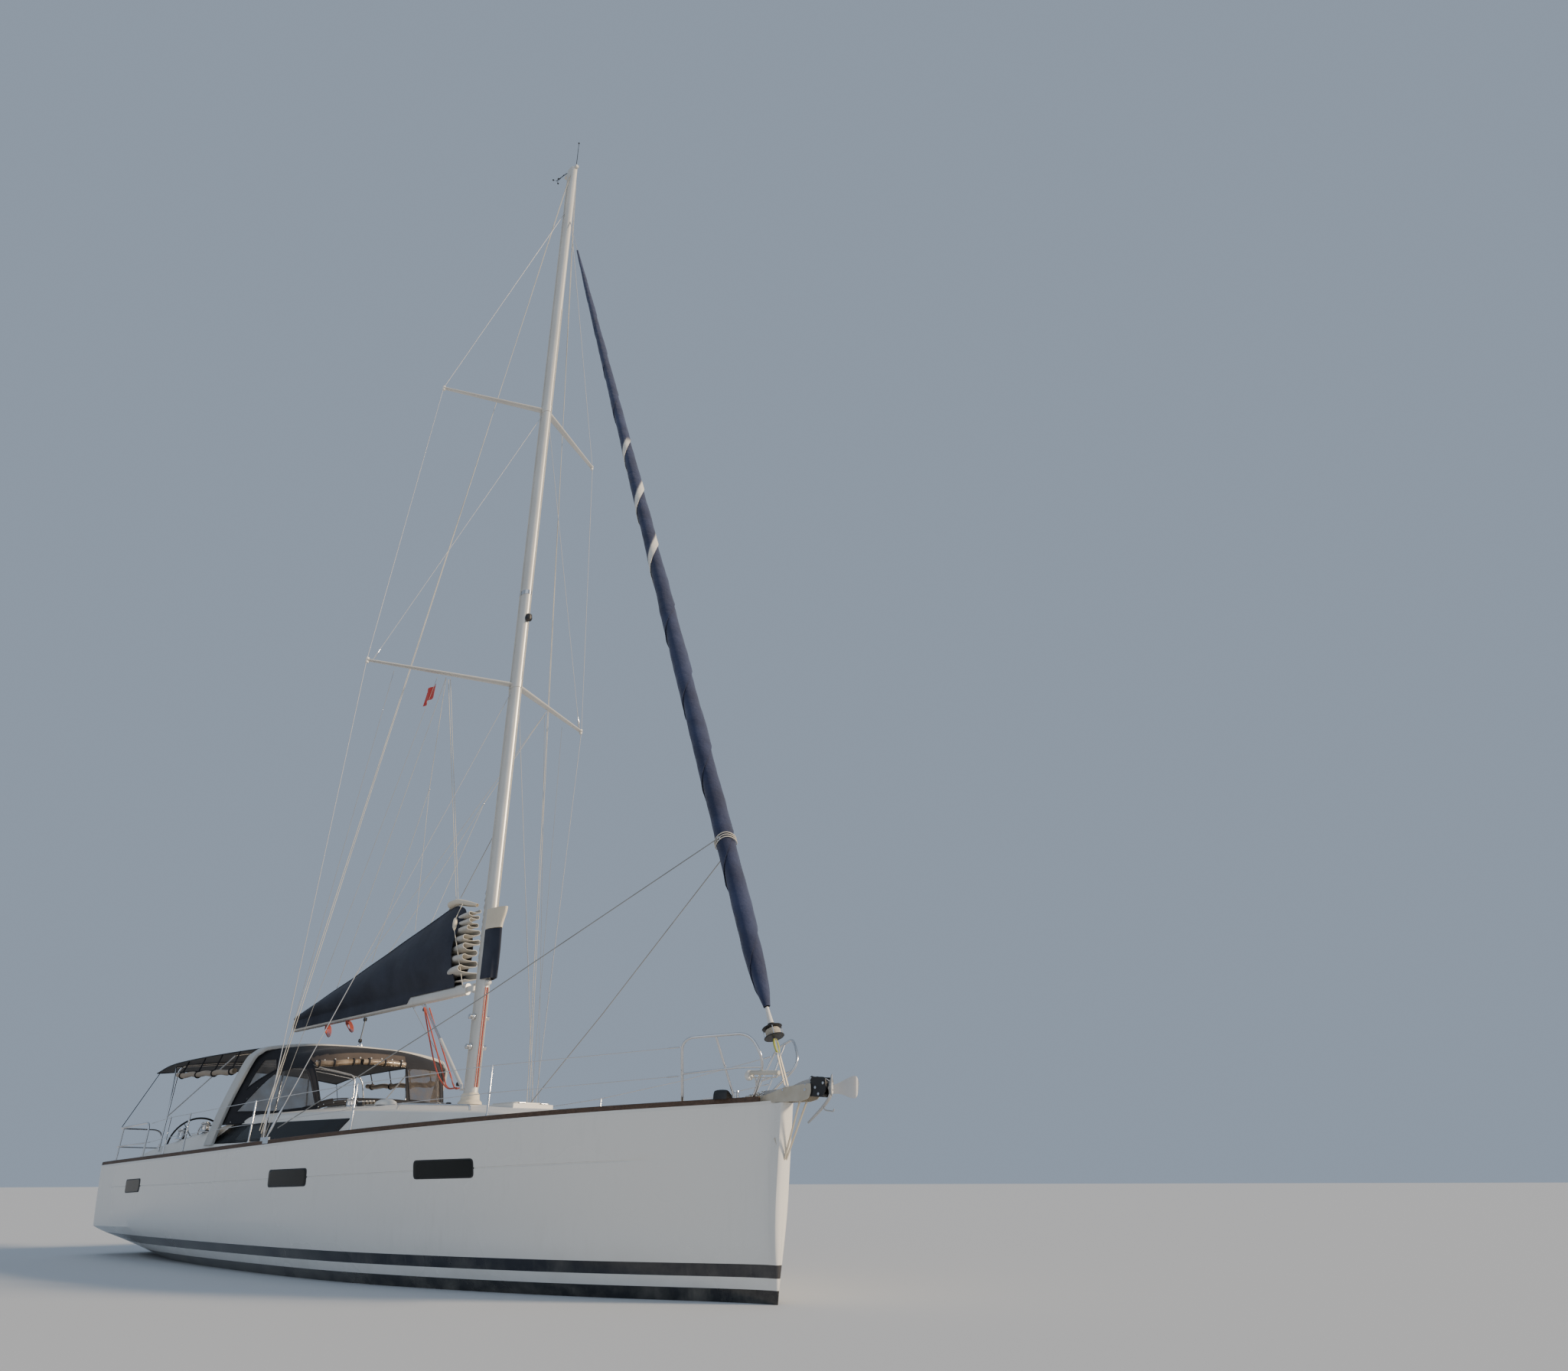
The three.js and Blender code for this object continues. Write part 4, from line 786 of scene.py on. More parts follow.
def hull():
    xs = spread(TRANSOM_X, 6.4, 58) + spread(6.45, STEM_X, 12)
    rings = [hull_ring(x) for x in xs]
    rings += [[(p[0] + forward, p[1] * squeeze, p[2]) for p in rings[-1]]
              for forward, squeeze in ((0.010, 0.85), (0.017, 0.5), (0.020, 0.12))]
    body = Form().skin(rings, HULL_PAINT)
    recess = Form().block((TRANSOM_X - 0.05, -PLATFORM_HALF, PLATFORM_LOW),
                          (TRANSOM_X + PLATFORM_DEEP, PLATFORM_HALF, PLATFORM_HIGH), HULL_PAINT)
    pit = Form().block([c - PIT_MARGIN for c in TUB[0]],
                       (TUB[1][0] + PIT_MARGIN, TUB[1][1] + PIT_MARGIN, 2.0), HULL_PAINT)
    piece = carved("hull_moulding", body, cuts=(recess, pit))
    settle(piece, "root", ["hull"], 0.012)
    fittings = Form()
    fittings.solid([(0.085, -0.02), (0.085, 0.245), (0.07, 0.252)], (-5.75, 0, 0.008), (0, 0, -1), BOTTOM)
    for side in (-1, 1):
        for y in (side * 0.80, side * 0.76):
            fittings.rod(0.014, 0, 0.03, (HINGE_X, y, HINGE_Z), (0, side, 0), STAINLESS, 16)
    fittings.place("rudder_bearing", "root", "gelcoat", round_edges=0.003)


def pane(form, outline, surface, proud, finish_used, steps=(0.97, 0.9, 0.6, 0.2)):
    """A thin plate on a curved side: surface gives y for x and z, and proud is how far it stands out."""
    outline = [a.lerp(b, t) for a, b in zip(outline, outline[1:] + outline[:1])
               for t in spread(0, 1, max(2, round((b - a).length / 0.05) + 1))[:-1]]
    centre = sum(outline, Vector((0, 0))) / len(outline)
    rings = [[(x, surface(x, z) + 0.012, z) for x, z in outline],
             [(x, surface(x, z) - proud * 0.6, z) for x, z in outline]]
    for share in steps:
        ring = [centre.lerp(p, share) for p in outline]
        rings.append([(x, surface(x, z) - proud, z) for x, z in ring])
    return form.skin(rings, finish_used)


# Columns: x of the after and forward edge, height of the lower and upper edge at the after end and ahead
HULL_WINDOWS = (
    (-5.48, -4.80, 0.925, 1.095, 0.94, 1.11),
    (-0.15, 0.79, 1.005, 1.185, 1.018, 1.198),
    (2.86, 3.74, 1.085, 1.255, 1.096, 1.266),
)


def hull_windows():
    starboard = Form()

    def side(x, z):
        return -topside_y(HULL.at(x), z)

    for aft, fore, low_aft, high_aft, low_fore, high_fore in HULL_WINDOWS:
        corners = [(aft, low_aft), (fore, low_fore), (fore, high_fore), (aft, high_aft)]
        grown = [(x + (0.012 if x == fore else -0.012), z + (0.012 if k > 1 else -0.012))
                 for k, (x, z) in enumerate(corners)]
        pane(starboard, rounded_outline(grown, 0.05), side, 0.004, BLACK)
        pane(starboard, rounded_outline(corners, 0.045), side, 0.007, GLASS_DARK)
    starboard.place_pair("hull_windows_*", "tinted_glass")


# Deck and coachroof

def deck_top(x, y):
    deck = HULL.at(x)[1]
    inner = max(deck - RAIL_WIDE - 0.002, deck * 0.5)
    top = sheer(x) + DECK_LIFT + DECK_THICK
    return top + DECK_CAMBER * inner / 2.1 * (1 - min(abs(y) / inner, 1) ** 2)


def deck_ring(x):
    deck = HULL.at(x)[1]
    inner = max(deck - RAIL_WIDE - 0.002, deck * 0.5)
    low = sheer(x) + DECK_LIFT
    half = [(deck, low), (deck, low + DECK_THICK)]
    half += [(inner * s, deck_top(x, inner * s)) for s in spread(1, 0, 9)]
    return both_halves(x, half)


def roof_side(row, z):
    """Half breadth of the coachroof's side at a height."""
    x, base, shoulder, shoulder_z, _ = row
    low = sheer(x) + DECK_THICK / 2
    t = (z - low) / (0.86 * (shoulder_z - low))
    return mix(base, mix(base, shoulder, 0.85), t)


def roof_top(row, y):
    """Height of the coachroof at a distance from the centre line, inside its shoulders."""
    _, _, shoulder, shoulder_z, crown = row
    t = min(abs(y) / shoulder, 1)
    return mix(crown, shoulder_z, t * t * 0.96 + 0.04 * t ** 4)


def roof_ring(x):
    row = ROOF.at(x)
    _, base, shoulder, shoulder_z, _ = row
    low = sheer(x) + DECK_THICK / 2
    side_top = mix(low, shoulder_z, 0.86)
    side_y = mix(base, mix(base, shoulder, 0.85), 1)
    roof_y = shoulder - min(0.10, shoulder * 0.15)
    start, end = Vector((side_y, side_top)), Vector((roof_y, roof_top(row, roof_y)))
    corner = Vector((mix(side_y, roof_y, 0.22), mix(side_top, end.y, 1.0)))
    half = [(base, low)] + [tuple(start.lerp(corner, t).lerp(corner.lerp(end, t), t))
                            for t in spread(0, 1, 7)]
    half += [(roof_y * s, roof_top(row, roof_y * s)) for s in spread(0.9, 0, 9)]
    return both_halves(x, half)


GARAGE = ((-2.60, -0.39, 1.98), (-1.30, 0.39, 2.112))
# Columns: name of the lid, its low and high corner, height of the pad's top, way to its hinges, glazed or not
HATCHES = (
    ("fore_hatch", (4.52, -0.27), (5.06, 0.27), 1.742, 1, True),
    ("saloon_hatch", (2.05, -0.27), (2.59, 0.27), 1.938, 1, True),
    ("anchor_locker_lid", (5.42, -0.33), (6.08, 0.33), 1.776, -1, False),
)
PAD_MARGIN, PAD_DEEP = 0.024, 0.06
SEAT_WELL = ((-5.0, -1.5, SEAT_HEIGHT), (-2.85, 1.5, 2.7))
FOOT_WELL = ((-5.001, -0.43, SOLE_HEIGHT), (-2.85, 0.43, 2.7))
HELM_WELL = ((-6.65, -1.59, SOLE_HEIGHT), (-5.0, 1.59, 2.7))


def deck():
    plate = Form().skin([deck_ring(x) for x in spread(TRANSOM_X, 6.5, 56) + spread(6.6, STEM_X, 8)],
                        DECK_WHITE)
    roof = Form().skin([roof_ring(x) for x in spread(-6.76, 4.3, 64)], DECK_WHITE)
    tub = Form().block(TUB[0], (TUB[1][0], TUB[1][1], 1.34), DECK_WHITE)
    pads = [Form().block((low[0] - PAD_MARGIN, low[1] - PAD_MARGIN, top - PAD_DEEP),
                         (high[0] + PAD_MARGIN, high[1] + PAD_MARGIN, top), DECK_WHITE)
            for _, low, high, top, _, _ in HATCHES]
    garage = Form().block(*GARAGE, DECK_WHITE)
    wells = [Form().block(low, high, DECK_WHITE) for low, high in (SEAT_WELL, FOOT_WELL, HELM_WELL)]
    piece = carved("deck_moulding", plate, (tub, roof, *pads, garage), wells)
    settle(piece, "root", ["deck"], 0.014)


def roof_windows():
    starboard = Form()

    def side(x, z):
        return -roof_side(ROOF.at(x), z)

    corners = [(-3.31, 1.575), (0.42, 1.590), (0.64, 1.80), (-2.90, 1.842)]
    pane(starboard, rounded_outline(corners, 0.05), side, 0.006, ROOF_GLASS)
    light = [(-2.62, 1.60), (-1.72, 1.605), (-1.62, 1.80), (-2.45, 1.815)]
    pane(starboard, rounded_outline(light, 0.03), side, 0.011, BLACK)
    pane(starboard, rounded_outline([(x * 0.985 - 0.032, mix(z, 1.71, 0.12)) for x, z in light], 0.025),
         side, 0.015, GLASS_DARK)
    starboard.place_pair("roof_windows_*", "tinted_glass", "coachroof_window_*")


def toe_rails():
    """A timber rail along the deck's edge, with a steel block where the shrouds are pinned."""
    starboard = Form()
    rings = []
    for x in spread(TRANSOM_X, 6.8, 70):
        half = HULL.at(x)[1]
        low = sheer(x) + 2 * DECK_LIFT + DECK_THICK
        rings.append([(x, -half + RAIL_WIDE, low), (x, -half, low), (x, -half, low + RAIL_HIGH - 0.008),
                      (x, -half + 0.007, low + RAIL_HIGH), (x, -half + RAIL_WIDE - 0.007, low + RAIL_HIGH),
                      (x, -half + RAIL_WIDE, low + RAIL_HIGH - 0.008)])
    starboard.skin(rings, RAIL_TIMBER)
    half = HULL.at(CHAIN_X)[1]
    low = sheer(CHAIN_X) + DECK_THICK
    starboard.block((CHAIN_X - 0.06, -half + 0.001, low + 0.012),
                    (CHAIN_X + 0.2, -half + 0.023, low + 0.09), STAINLESS)
    starboard.place_pair("toe_rail_*_strip", "toe_rail_timber", "toe_rail_*")


# Mast and rigging

def oval(centre, long, wide, sides=32):
    """A mast's section: a full oval, blunt ahead and a little flatter aft."""
    return [(centre[0] + long / 2 * boxy(cos(a), 0.85), centre[1] + wide / 2 * boxy(sin(a), 0.85), centre[2])
            for a in turns(sides)]


BOOM_AXIS_X = 0.8
FORK_HEIGHTS = (3.52, 3.625, 2.2)


def mast():
    form = Form()
    levels = [2.0, *spread(2.05, 20.50, 12), MAST_TOP]
    form.skin([oval((mast_x(z), 0, z), MAST_LONG, MAST_WIDE) for z in levels], SPAR)
    track = [(mast_x(z) - MAST_LONG / 2 - 0.006, 0, z) for z in (3.75, 20.3)]
    form.skin([[(x + dx, y, z) for dx, y in ((0.012, -0.012), (0.012, 0.012), (-0.008, 0.012),
                                             (-0.008, -0.012))] for x, _, z in track], BLACK)
    form.skin([oval((mast_x(z), 0, z), MAST_LONG + grow, MAST_WIDE + grow) for z,
               grow in ((2.0, 0.13), (2.03, 0.12), (2.06, 0.06), (2.13, 0.045), (2.15, 0.012))],
              CREAM_CLOTH)
    for z in FORK_HEIGHTS:
        form.block((BOOM_AXIS_X, -0.026, z), (mast_x(z) - 0.06, 0.026, z + 0.018), SPAR)
        form.rod(0.026, 0, 0.018, (BOOM_AXIS_X, 0, z), UP, SPAR)
    for z, grow in ((LOWER_ROOT, 0.016), (UPPER_ROOT, 0.014)):
        form.skin([oval((mast_x(z + dz), 0, z + dz), MAST_LONG + grow, MAST_WIDE + grow)
                   for dz in (-0.07, 0.07)], SPAR)
    top_x = mast_x(MAST_TOP)
    form.block((top_x - 0.26, -0.03, MAST_TOP - 0.05), (top_x + 0.18, 0.03, MAST_TOP + 0.012), SPAR)
    form.place("mast_tube", "root", "spar_alloy", ["mast"], 0.002)
    masthead()
    mast_fittings()


def masthead():
    """Wind sensor arm, aerial and anchor light on the masthead."""
    form = Form()
    top = Vector((mast_x(MAST_TOP), 0, MAST_TOP))
    form.tube([top + Vector((0.13, 0, 0)), Vector((top.x + 0.13, 0, AERIAL_TOP))], [0.008, 0.005], BLACK, 8)
    form.ball((top.x + 0.13, 0, AERIAL_TOP - 0.02), 0.018, BLACK)
    form.tube(bent([top + Vector((-0.2, 0, 0)), top + Vector((-0.2, 0, 0.10)),
                    top + Vector((-0.62, 0, 0.22))], 0.05), 0.008, BLACK, 8)
    tip = top + Vector((-0.62, 0, 0.22))
    for k in range(3):
        out = Vector((cos(k * 2.094), sin(k * 2.094), 0)) * 0.07
        form.tube([tip, tip + out], 0.003, BLACK, 6)
        form.ball(tip + out, 0.02, BLACK, 0.8, 10)
    form.tube([tip + Vector((0.04, 0, -0.07)), tip + Vector((0.28, 0, -0.05))], 0.004, BLACK, 6)
    form.turned([(0, 0), (0.045, 0), (0.045, 0.05), (0.03, 0.085), (0, 0.09)], top + up_by(0.012), UP,
                WHITE_PLASTIC)
    form.place("masthead_gear", "root", "black_fitting")


def mast_fittings():
    """Steaming light, spreader light, halyard exits and winches on the mast."""
    form = Form()
    z = 9.55
    front = mast_x(z) + MAST_LONG / 2
    form.turned([(0, 0), (0.05, 0), (0.06, 0.03), (0.05, 0.10), (0, 0.11)], (front + 0.045, 0, z - 0.05),
                UP, BLACK)
    form.block((front - 0.02, -0.03, z - 0.03), (front + 0.03, 0.03, z + 0.03), BLACK)
    form.skin([oval((mast_x(h), 0, h), MAST_LONG + 0.012, MAST_WIDE + 0.012) for h in (10.02, 10.10)],
              STAINLESS)
    for side in (-1, 1):
        for height in (2.75, 3.15):
            form.solid([(0.045, 0), (0.045, 0.02), (0.03, 0.04), (0.036, 0.075), (0.02, 0.085)],
                       (mast_x(height), side * MAST_WIDE / 2, height), (0, side, 0), STAINLESS, 20)
        form.block((mast_x(3.9) - 0.05, side * 0.07 - 0.012, 3.82),
                   (mast_x(3.9) + 0.02, side * 0.07 + 0.012, 3.98), SPAR)
    for k in range(11):
        z = 3.88 + 0.105 * k
        aft = mast_x(z) - MAST_LONG / 2
        form.block((aft - 0.045, -0.016, z), (aft - 0.012, 0.016, z + 0.065), BLACK)
        form.tube([(aft - 0.044, 0, z + 0.032), (aft - 0.085, 0, z + 0.028)], 0.006, WHITE_PLASTIC, 8)
    form.place("mast_fittings", "root", "spar_alloy", round_edges=0.003)


LOWER_TIP = Vector((-0.06, -2.045, 8.45))
UPPER_TIP = Vector((0.11, -1.65, 14.03))
CHAIN_Y = -HULL.at(CHAIN_X)[1] + RAIL_WIDE / 2
CHAIN_TOP = sheer(CHAIN_X) + 2 * DECK_LIFT + DECK_THICK + RAIL_HIGH + 0.04


def spreaders(name, root_z, tip, root_chord, tip_chord):
    """A pair of swept arms with an aerofoil section and a pale boot at each end."""
    form = Form()
    for side in (-1, 1):
        rings = []
        for t in spread(0.03, 1, 8):
            point = Vector((mast_x(root_z), 0, root_z)).lerp(Vector((tip.x, side * abs(tip.y), tip.z)), t)
            chord, thick = mix(root_chord, tip_chord, t), mix(0.055, 0.030, t)
            rings.append([point + Vector((cos(a) * chord / 2, 0, sin(a) * thick / 2))
                          for a in spread(0, FULL_TURN, 21)[:-1]])
        form.skin(rings, SPAR)
        end = Vector((tip.x, side * (abs(tip.y) - 0.012), tip.z))
        form.turned([(0, -0.05), (0.026, -0.045), (0.030, 0), (0.026, 0.045), (0, 0.05)], end, UP,
                    WHITE_PLASTIC, 16)
    form.skin([oval((mast_x(root_z + dz), 0, root_z + dz), MAST_LONG + 0.018, MAST_WIDE + 0.018)
               for dz in (-0.068, 0.068)], SPAR)
    form.place(name + "_pair", "root", "spar_alloy", [name], 0.002)


def block_wheel(form, at, groove, rim, cheek, rim_half, half):
    """A rope block's wheel on a crosswise pin: radii of groove, rim and cheeks, then two half widths."""
    form.solid([(cheek, -half), (rim, -rim_half), (groove, 0), (rim, rim_half), (cheek, half)], at, TO_PORT,
               BLACK, 20)


def stay(form, points, radius, screw=0.0):
    """A wire through the points, with a bottle screw on its foot if screw gives its length."""
    points = [Vector(p) for p in points]
    form.tube(points, radius, WIRE, 8)
    if screw:
        along = (points[1] - points[0]).normalized()
        form.solid([(0.008, 0.0), (0.010, 0.05), (0.017, 0.08), (0.017, screw - 0.08),
                    (0.010, screw - 0.05), (0.008, screw)], points[0], along, STAINLESS, 14)


def shrouds():
    """The starboard shrouds with their bottle screws, mirrored to port."""

    def mast_side(z):
        return Vector((mast_x(z), -MAST_WIDE / 2 + 0.004, z))

    inboard = LOWER_TIP.lerp(Vector((mast_x(LOWER_ROOT), 0, LOWER_ROOT)), 0.035)
    for name, points, radius, screw in (("cap_shroud", [(CHAIN_X, CHAIN_Y, CHAIN_TOP), LOWER_TIP, UPPER_TIP,
                                                        mast_side(19.2)], 0.0065, 0.42),
                                        ("lower_shroud", [(CHAIN_X + 0.11, CHAIN_Y, CHAIN_TOP),
                                                          mast_side(8.2)], 0.006, 0.40),
                                        ("intermediate_shroud", [inboard, mast_side(13.87)], 0.005, 0.26)):
        form = Form()
        stay(form, points, radius, screw)
        form.place_pair(name + "_*_wire", "stainless", name + "_*")


STAY_FOOT = Vector((7.09, 0, 1.85))
STAY_HEAD = Vector((mast_x(18.9) + MAST_LONG / 2 - 0.006, 0, 18.9))
STAY_ALONG = (STAY_HEAD - STAY_FOOT).normalized()
# The clew's distance from the stay's foot
CLEW_ALONG = 2.96
# Columns: height above the tack, radius of the rolled sail
ROLL = Stations((0.0, 0.040), (0.26, 0.088), (0.9, 0.116), (2.6, 0.121), (5.6, 0.114), (9.0, 0.097),
                (12.2, 0.072), (14.8, 0.043), (15.7, 0.024), (16.0, 0.020))


def furled_genoa():
    """The rolled headsail: a spiral wrap whose free edge winds up the stay, baggy between its turns."""
    made, tree, sockets = finish("sun_strip_cloth", (0.016, 0.028, 0.085), 0.75, Sheen_Weight=0.2)
    bare = node(tree, "ShaderNodeAttribute", attribute_name="bare_cloth").outputs["Fac"]
    cloth = use_group(tree, WEAVE, Threads=320.0, Wrinkles=0.7)
    navy = tint(tree, cloth["Fade"], (0.010, 0.018, 0.060, 1), (0.030, 0.048, 0.125, 1))
    tree.links.new(tint(tree, bare, navy, (0.74, 0.72, 0.66, 1)), sockets["Base Color"])
    bump(tree, sockets, cloth["Height"], 0.03, 0.8)
    tack = STAY_FOOT + STAY_ALONG * 0.9
    side = Vector((0, -1, 0))
    up = STAY_ALONG.cross(side)
    length, turns_per_metre, cloth_turns, cloth_thick = 16.0, 0.79, 1.3, 0.005
    first_turn = 0.34
    # Pale cloth shows beside the dark strip between these heights above the tack
    bare_from, bare_to = 6.3, 9.8
    steps, around = 360, 44
    luck = random.Random(7)
    swell = [luck.uniform(0.93, 1.05) for _ in range(60)]
    rings, bare_marks = [], []
    for i in range(steps + 1):
        s = length * i / steps
        lump = mix(swell[int(s * 3.4) % 60], swell[(int(s * 3.4) + 1) % 60], (s * 3.4) % 1)
        outer, inner = [], []
        for share in spread(0, 1, around):
            angle = FULL_TURN * (cloth_turns * share + turns_per_metre * s + first_turn)
            crease = (1 + 0.026 * sin(3 * angle + 0.8) + 0.016 * sin(9 * angle + 3.1 * s)
                      + 0.012 * sin(23 * s + 2 * angle))
            radius = ROLL.at(s)[1] * lump * (crease * (0.86 + 0.19 * share))
            out = side * cos(angle) + up * sin(angle)
            outer.append(tack + STAY_ALONG * s + out * radius)
            inner.append(tack + STAY_ALONG * s + out * max(radius - cloth_thick, 0.004))
            low_end, high_end = ease(bare_from, bare_from + 0.2, s), 1 - ease(bare_to - 0.2, bare_to, s)
            bare_marks.append(ease(0.85, 0.89, share) * low_end * high_end)
        bare_marks += bare_marks[-1:-around - 1:-1]
        rings.append(outer + inner[::-1])
    form = Form().skin(rings, made)
    piece = link("rolled_headsail", form.mesh("rolled_headsail", 60))
    marks = piece.data.attributes.new("bare_cloth", "FLOAT", "POINT")
    marks.data.foreach_set("value", bare_marks)
    settle(piece, "furler", ["furled_genoa"])
    clew = Form()
    at = STAY_FOOT + STAY_ALONG * CLEW_ALONG + Vector((0.02, -0.118, 0))
    clew.turned([(0.016, 0), (0.030, 0), (0.030, 0.012), (0.016, 0.012), (0.016, 0)], at, (0, -1, 0),
                STAINLESS, 20)
    for lift in (-0.03, 0.0, 0.03):
        loop = []
        for a in spread(0, FULL_TURN, 25):
            out = side * cos(a) + up * sin(a)
            loop.append(STAY_FOOT + STAY_ALONG * (CLEW_ALONG + lift + 0.02 * sin(2 * a)) + out * 0.129)
        clew.tube(loop, 0.006, CREAM_ROPE, 8)
    clew.place("genoa_clew", "furler", "stainless")


def furler_drum():
    """The drum with its line, and the plates and toggles that hold the stay's foot and head."""
    form = Form()
    at = STAY_FOOT + STAY_ALONG * 0.5603
    form.solid([(0.104, 0), (0.108, 0.005), (0.104, 0.012), (0.060, 0.018), (0.056, 0.050), (0.060, 0.094),
                (0.104, 0.100), (0.108, 0.106), (0.104, 0.112), (0.042, 0.120), (0.038, 0.150)], at,
               STAY_ALONG, BLACK, 40)
    form.solid([(0.034, 0.149), (0.030, 0.17), (0.022, 0.27), (0.020, 0.330), (0.012, 0.3375)], at,
               STAY_ALONG, WHITE_PLASTIC, 28)
    for layer, radius in enumerate((0.060, 0.069)):
        for turn in range(6 - layer):
            ring = [(radius - 0.004, 0), (radius, 0.0), (radius + 0.008, 0.003), (radius + 0.010, 0.006),
                    (radius + 0.008, 0.009), (radius, 0.012), (radius - 0.004, 0.012)]
            form.turned(ring, at + STAY_ALONG * (0.020 + turn * 0.0122), STAY_ALONG, CREAM_ROPE, 32)
    for angle in turns(4, 0.5):
        out = Vector((0, cos(angle), 0)) + STAY_ALONG.cross(Vector((0, 1, 0))) * sin(angle)
        form.tube([at + out * 0.098 + STAY_ALONG * 0.010, at + out * 0.098 + STAY_ALONG * 0.102], 0.005,
                  STAINLESS, 10)
    form.place("furler_drum_reel", "furler", "black_fitting", ["furler_drum"])
    foot = Form()
    foot.tube([STAY_FOOT + STAY_ALONG * 0.36, STAY_FOOT + STAY_ALONG * 0.558], 0.014, STAINLESS, 14)
    for side in (-1, 1):
        sideways = Vector((0, side, 0))
        foot.tube(bent([STAY_FOOT + STAY_ALONG * 0.545 + sideways * 0.010,
                        STAY_FOOT + STAY_ALONG * 0.50 + sideways * 0.028,
                        STAY_FOOT + STAY_ALONG * 0.43 + sideways * 0.024, STAY_FOOT + STAY_ALONG * 0.385],
                       0.03), 0.012, STROP, 10)
        foot.tube([STAY_FOOT + STAY_ALONG * 0.40 + sideways * 0.016,
                   STAY_FOOT + STAY_ALONG * 0.03 + sideways * 0.022], 0.013, ROLLER_STEEL, 12, 0.5)
    for along in (0.05, 0.385):
        foot.rod(0.012, -0.034, 0.034, STAY_FOOT + STAY_ALONG * along, TO_PORT, STAINLESS, 16)
    foot.place("forestay_toggles", "root", "stainless", ["forestay_foot"])
    head = Form()
    head.tube([STAY_FOOT + STAY_ALONG * 16.9003, STAY_HEAD], 0.008, WIRE, 10)
    head.place("forestay_wire", "root", "stainless", ["forestay_head"])


# Boom, vang and sail bag

BOOM_TOP, BOOM_BOTTOM, BOOM_END_X, BOOM_HALF = 3.665, 3.5, -5.2, 0.048


def boom():
    form = Form()

    def ring(x, grow=0.0):
        return [(x, (BOOM_HALF + grow) * boxy(cos(a), 0.7),
                 (BOOM_TOP + BOOM_BOTTOM) / 2 + (0.0825 + grow) * boxy(sin(a), 0.7)) for a in turns(32)]

    form.skin([ring(x) for x in (0.64, 0.3, -2.5, BOOM_END_X + 0.02)], SPAR)
    form.skin([ring(x, -0.001) for x in (BOOM_END_X, BOOM_END_X + 0.03)], BLACK)
    form.skin([ring(x, -0.001) for x in (0.62, 0.655)], SPAR)
    form.rod(0.024, 0, 0.0855, (BOOM_AXIS_X, 0, 3.5385), UP, SPAR)
    form.block((0.6, -0.018, 3.5425), (BOOM_AXIS_X, 0.018, 3.6205), SPAR)
    for x in (-0.62, -0.90):
        form.tube(curved([(x - 0.05, 0, 3.502), (x, 0, 3.478), (x + 0.05, 0, 3.502)], 4), 0.006, STAINLESS, 8)
    form.place("boom_tube", "boom", "spar_alloy", ["boom"], 0.002)
    boom_vang()


def boom_vang():
    """The strut under the boom with its tackle: two blocks, three red parts and a grey line."""
    vang = Form()
    foot, top = Vector((BOOM_AXIS_X, 0, 2.2523)), Vector((-0.58, 0, 3.50))
    vang.rod(0.024, -0.034, 0.026, foot, UP, STAINLESS)
    middle = foot.lerp(top, 0.55)
    vang.tube([foot, middle], 0.0255, SPAR, 20)
    vang.tube([middle, top - (top - foot).normalized() * 0.01], 0.019, STAINLESS, 16)
    for y, waist in ((-0.050, (0.16, -0.095, 2.56)), (-0.035, (0.34, -0.090, 2.52)),
                     (0.040, (0.26, 0.070, 2.52))):
        vang.tube(curved(((-0.49, y, 3.44), waist, (0.50, y * 1.5, 2.26), (0.715, y * 0.5, 2.235)), 8), 0.010,
                  RED_ROPE, 10)
    for share in (0.02, 0.93):
        block_wheel(vang, top.lerp(foot, share) - up_by(0.055), 0.020, 0.028, 0.026, 0.012, 0.022)
    vang.tube([Vector((-0.93, 0, 3.49)), Vector((0.60, 0, 2.28))], 0.004, GREY_ROPE, 8)
    vang.place("vang_rod", "boom", "stainless", ["vang"])


# Columns: x, half breadth at the belly, height of the top
BAG = Stations((0.44, 0.150, 4.56), (0.25, 0.190, 4.83), (0.0, 0.205, 4.89), (-0.5, 0.210, 4.80),
               (-1.6, 0.200, 4.56), (-3.0, 0.175, 4.25), (-4.3, 0.140, 3.98), (-5.18, 0.085, 3.79))


BAG_EDGE_AFT, BAG_EDGE_FORE, BAG_FRONT, BAG_END = 3.545, 3.640, 0.34, -5.18


def bag_ring(x, wrinkle):
    """One section of the bag, open below: it hangs over the boom's sides and its belly closes on top."""
    _, half, top = BAG.at(x)
    low = mix(BAG_EDGE_AFT, BAG_EDGE_FORE, ease(-1.06, -0.96, x))
    skirt = [(mix(0.0545, 0.059, t), mix(low, BOOM_TOP, t)) for t in spread(0, 1, 4)]
    sag = 0.5 + 0.5 * cos(FULL_TURN * (x + 0.3) / 1.2)
    side = []
    for a in spread(-pi / 2 + 0.40, pi / 2, 18):
        up = 0.5 + 0.5 * sin(a)
        belly = cos(a) * sin(pi * min(up * 0.86 + 0.14, 1)) ** 0.55
        ripple = sum(sin(w * x + p + 4 * up) for w, p in wrinkle) * 0.0022
        y = half * belly * (1 - 0.05 * sag * sin(pi * up)) + ripple * cos(a)
        side.append((max(y, 0.061 * ease(0.35, 0.05, up)),
                     mix(BOOM_TOP + 0.002, top - 0.006 * (1 - sag), up)))
    half_ring = skirt + side
    return [Vector((x, y, z)) for y, z in half_ring] + [Vector((x, -y, z)) for y, z in half_ring[-2::-1]]


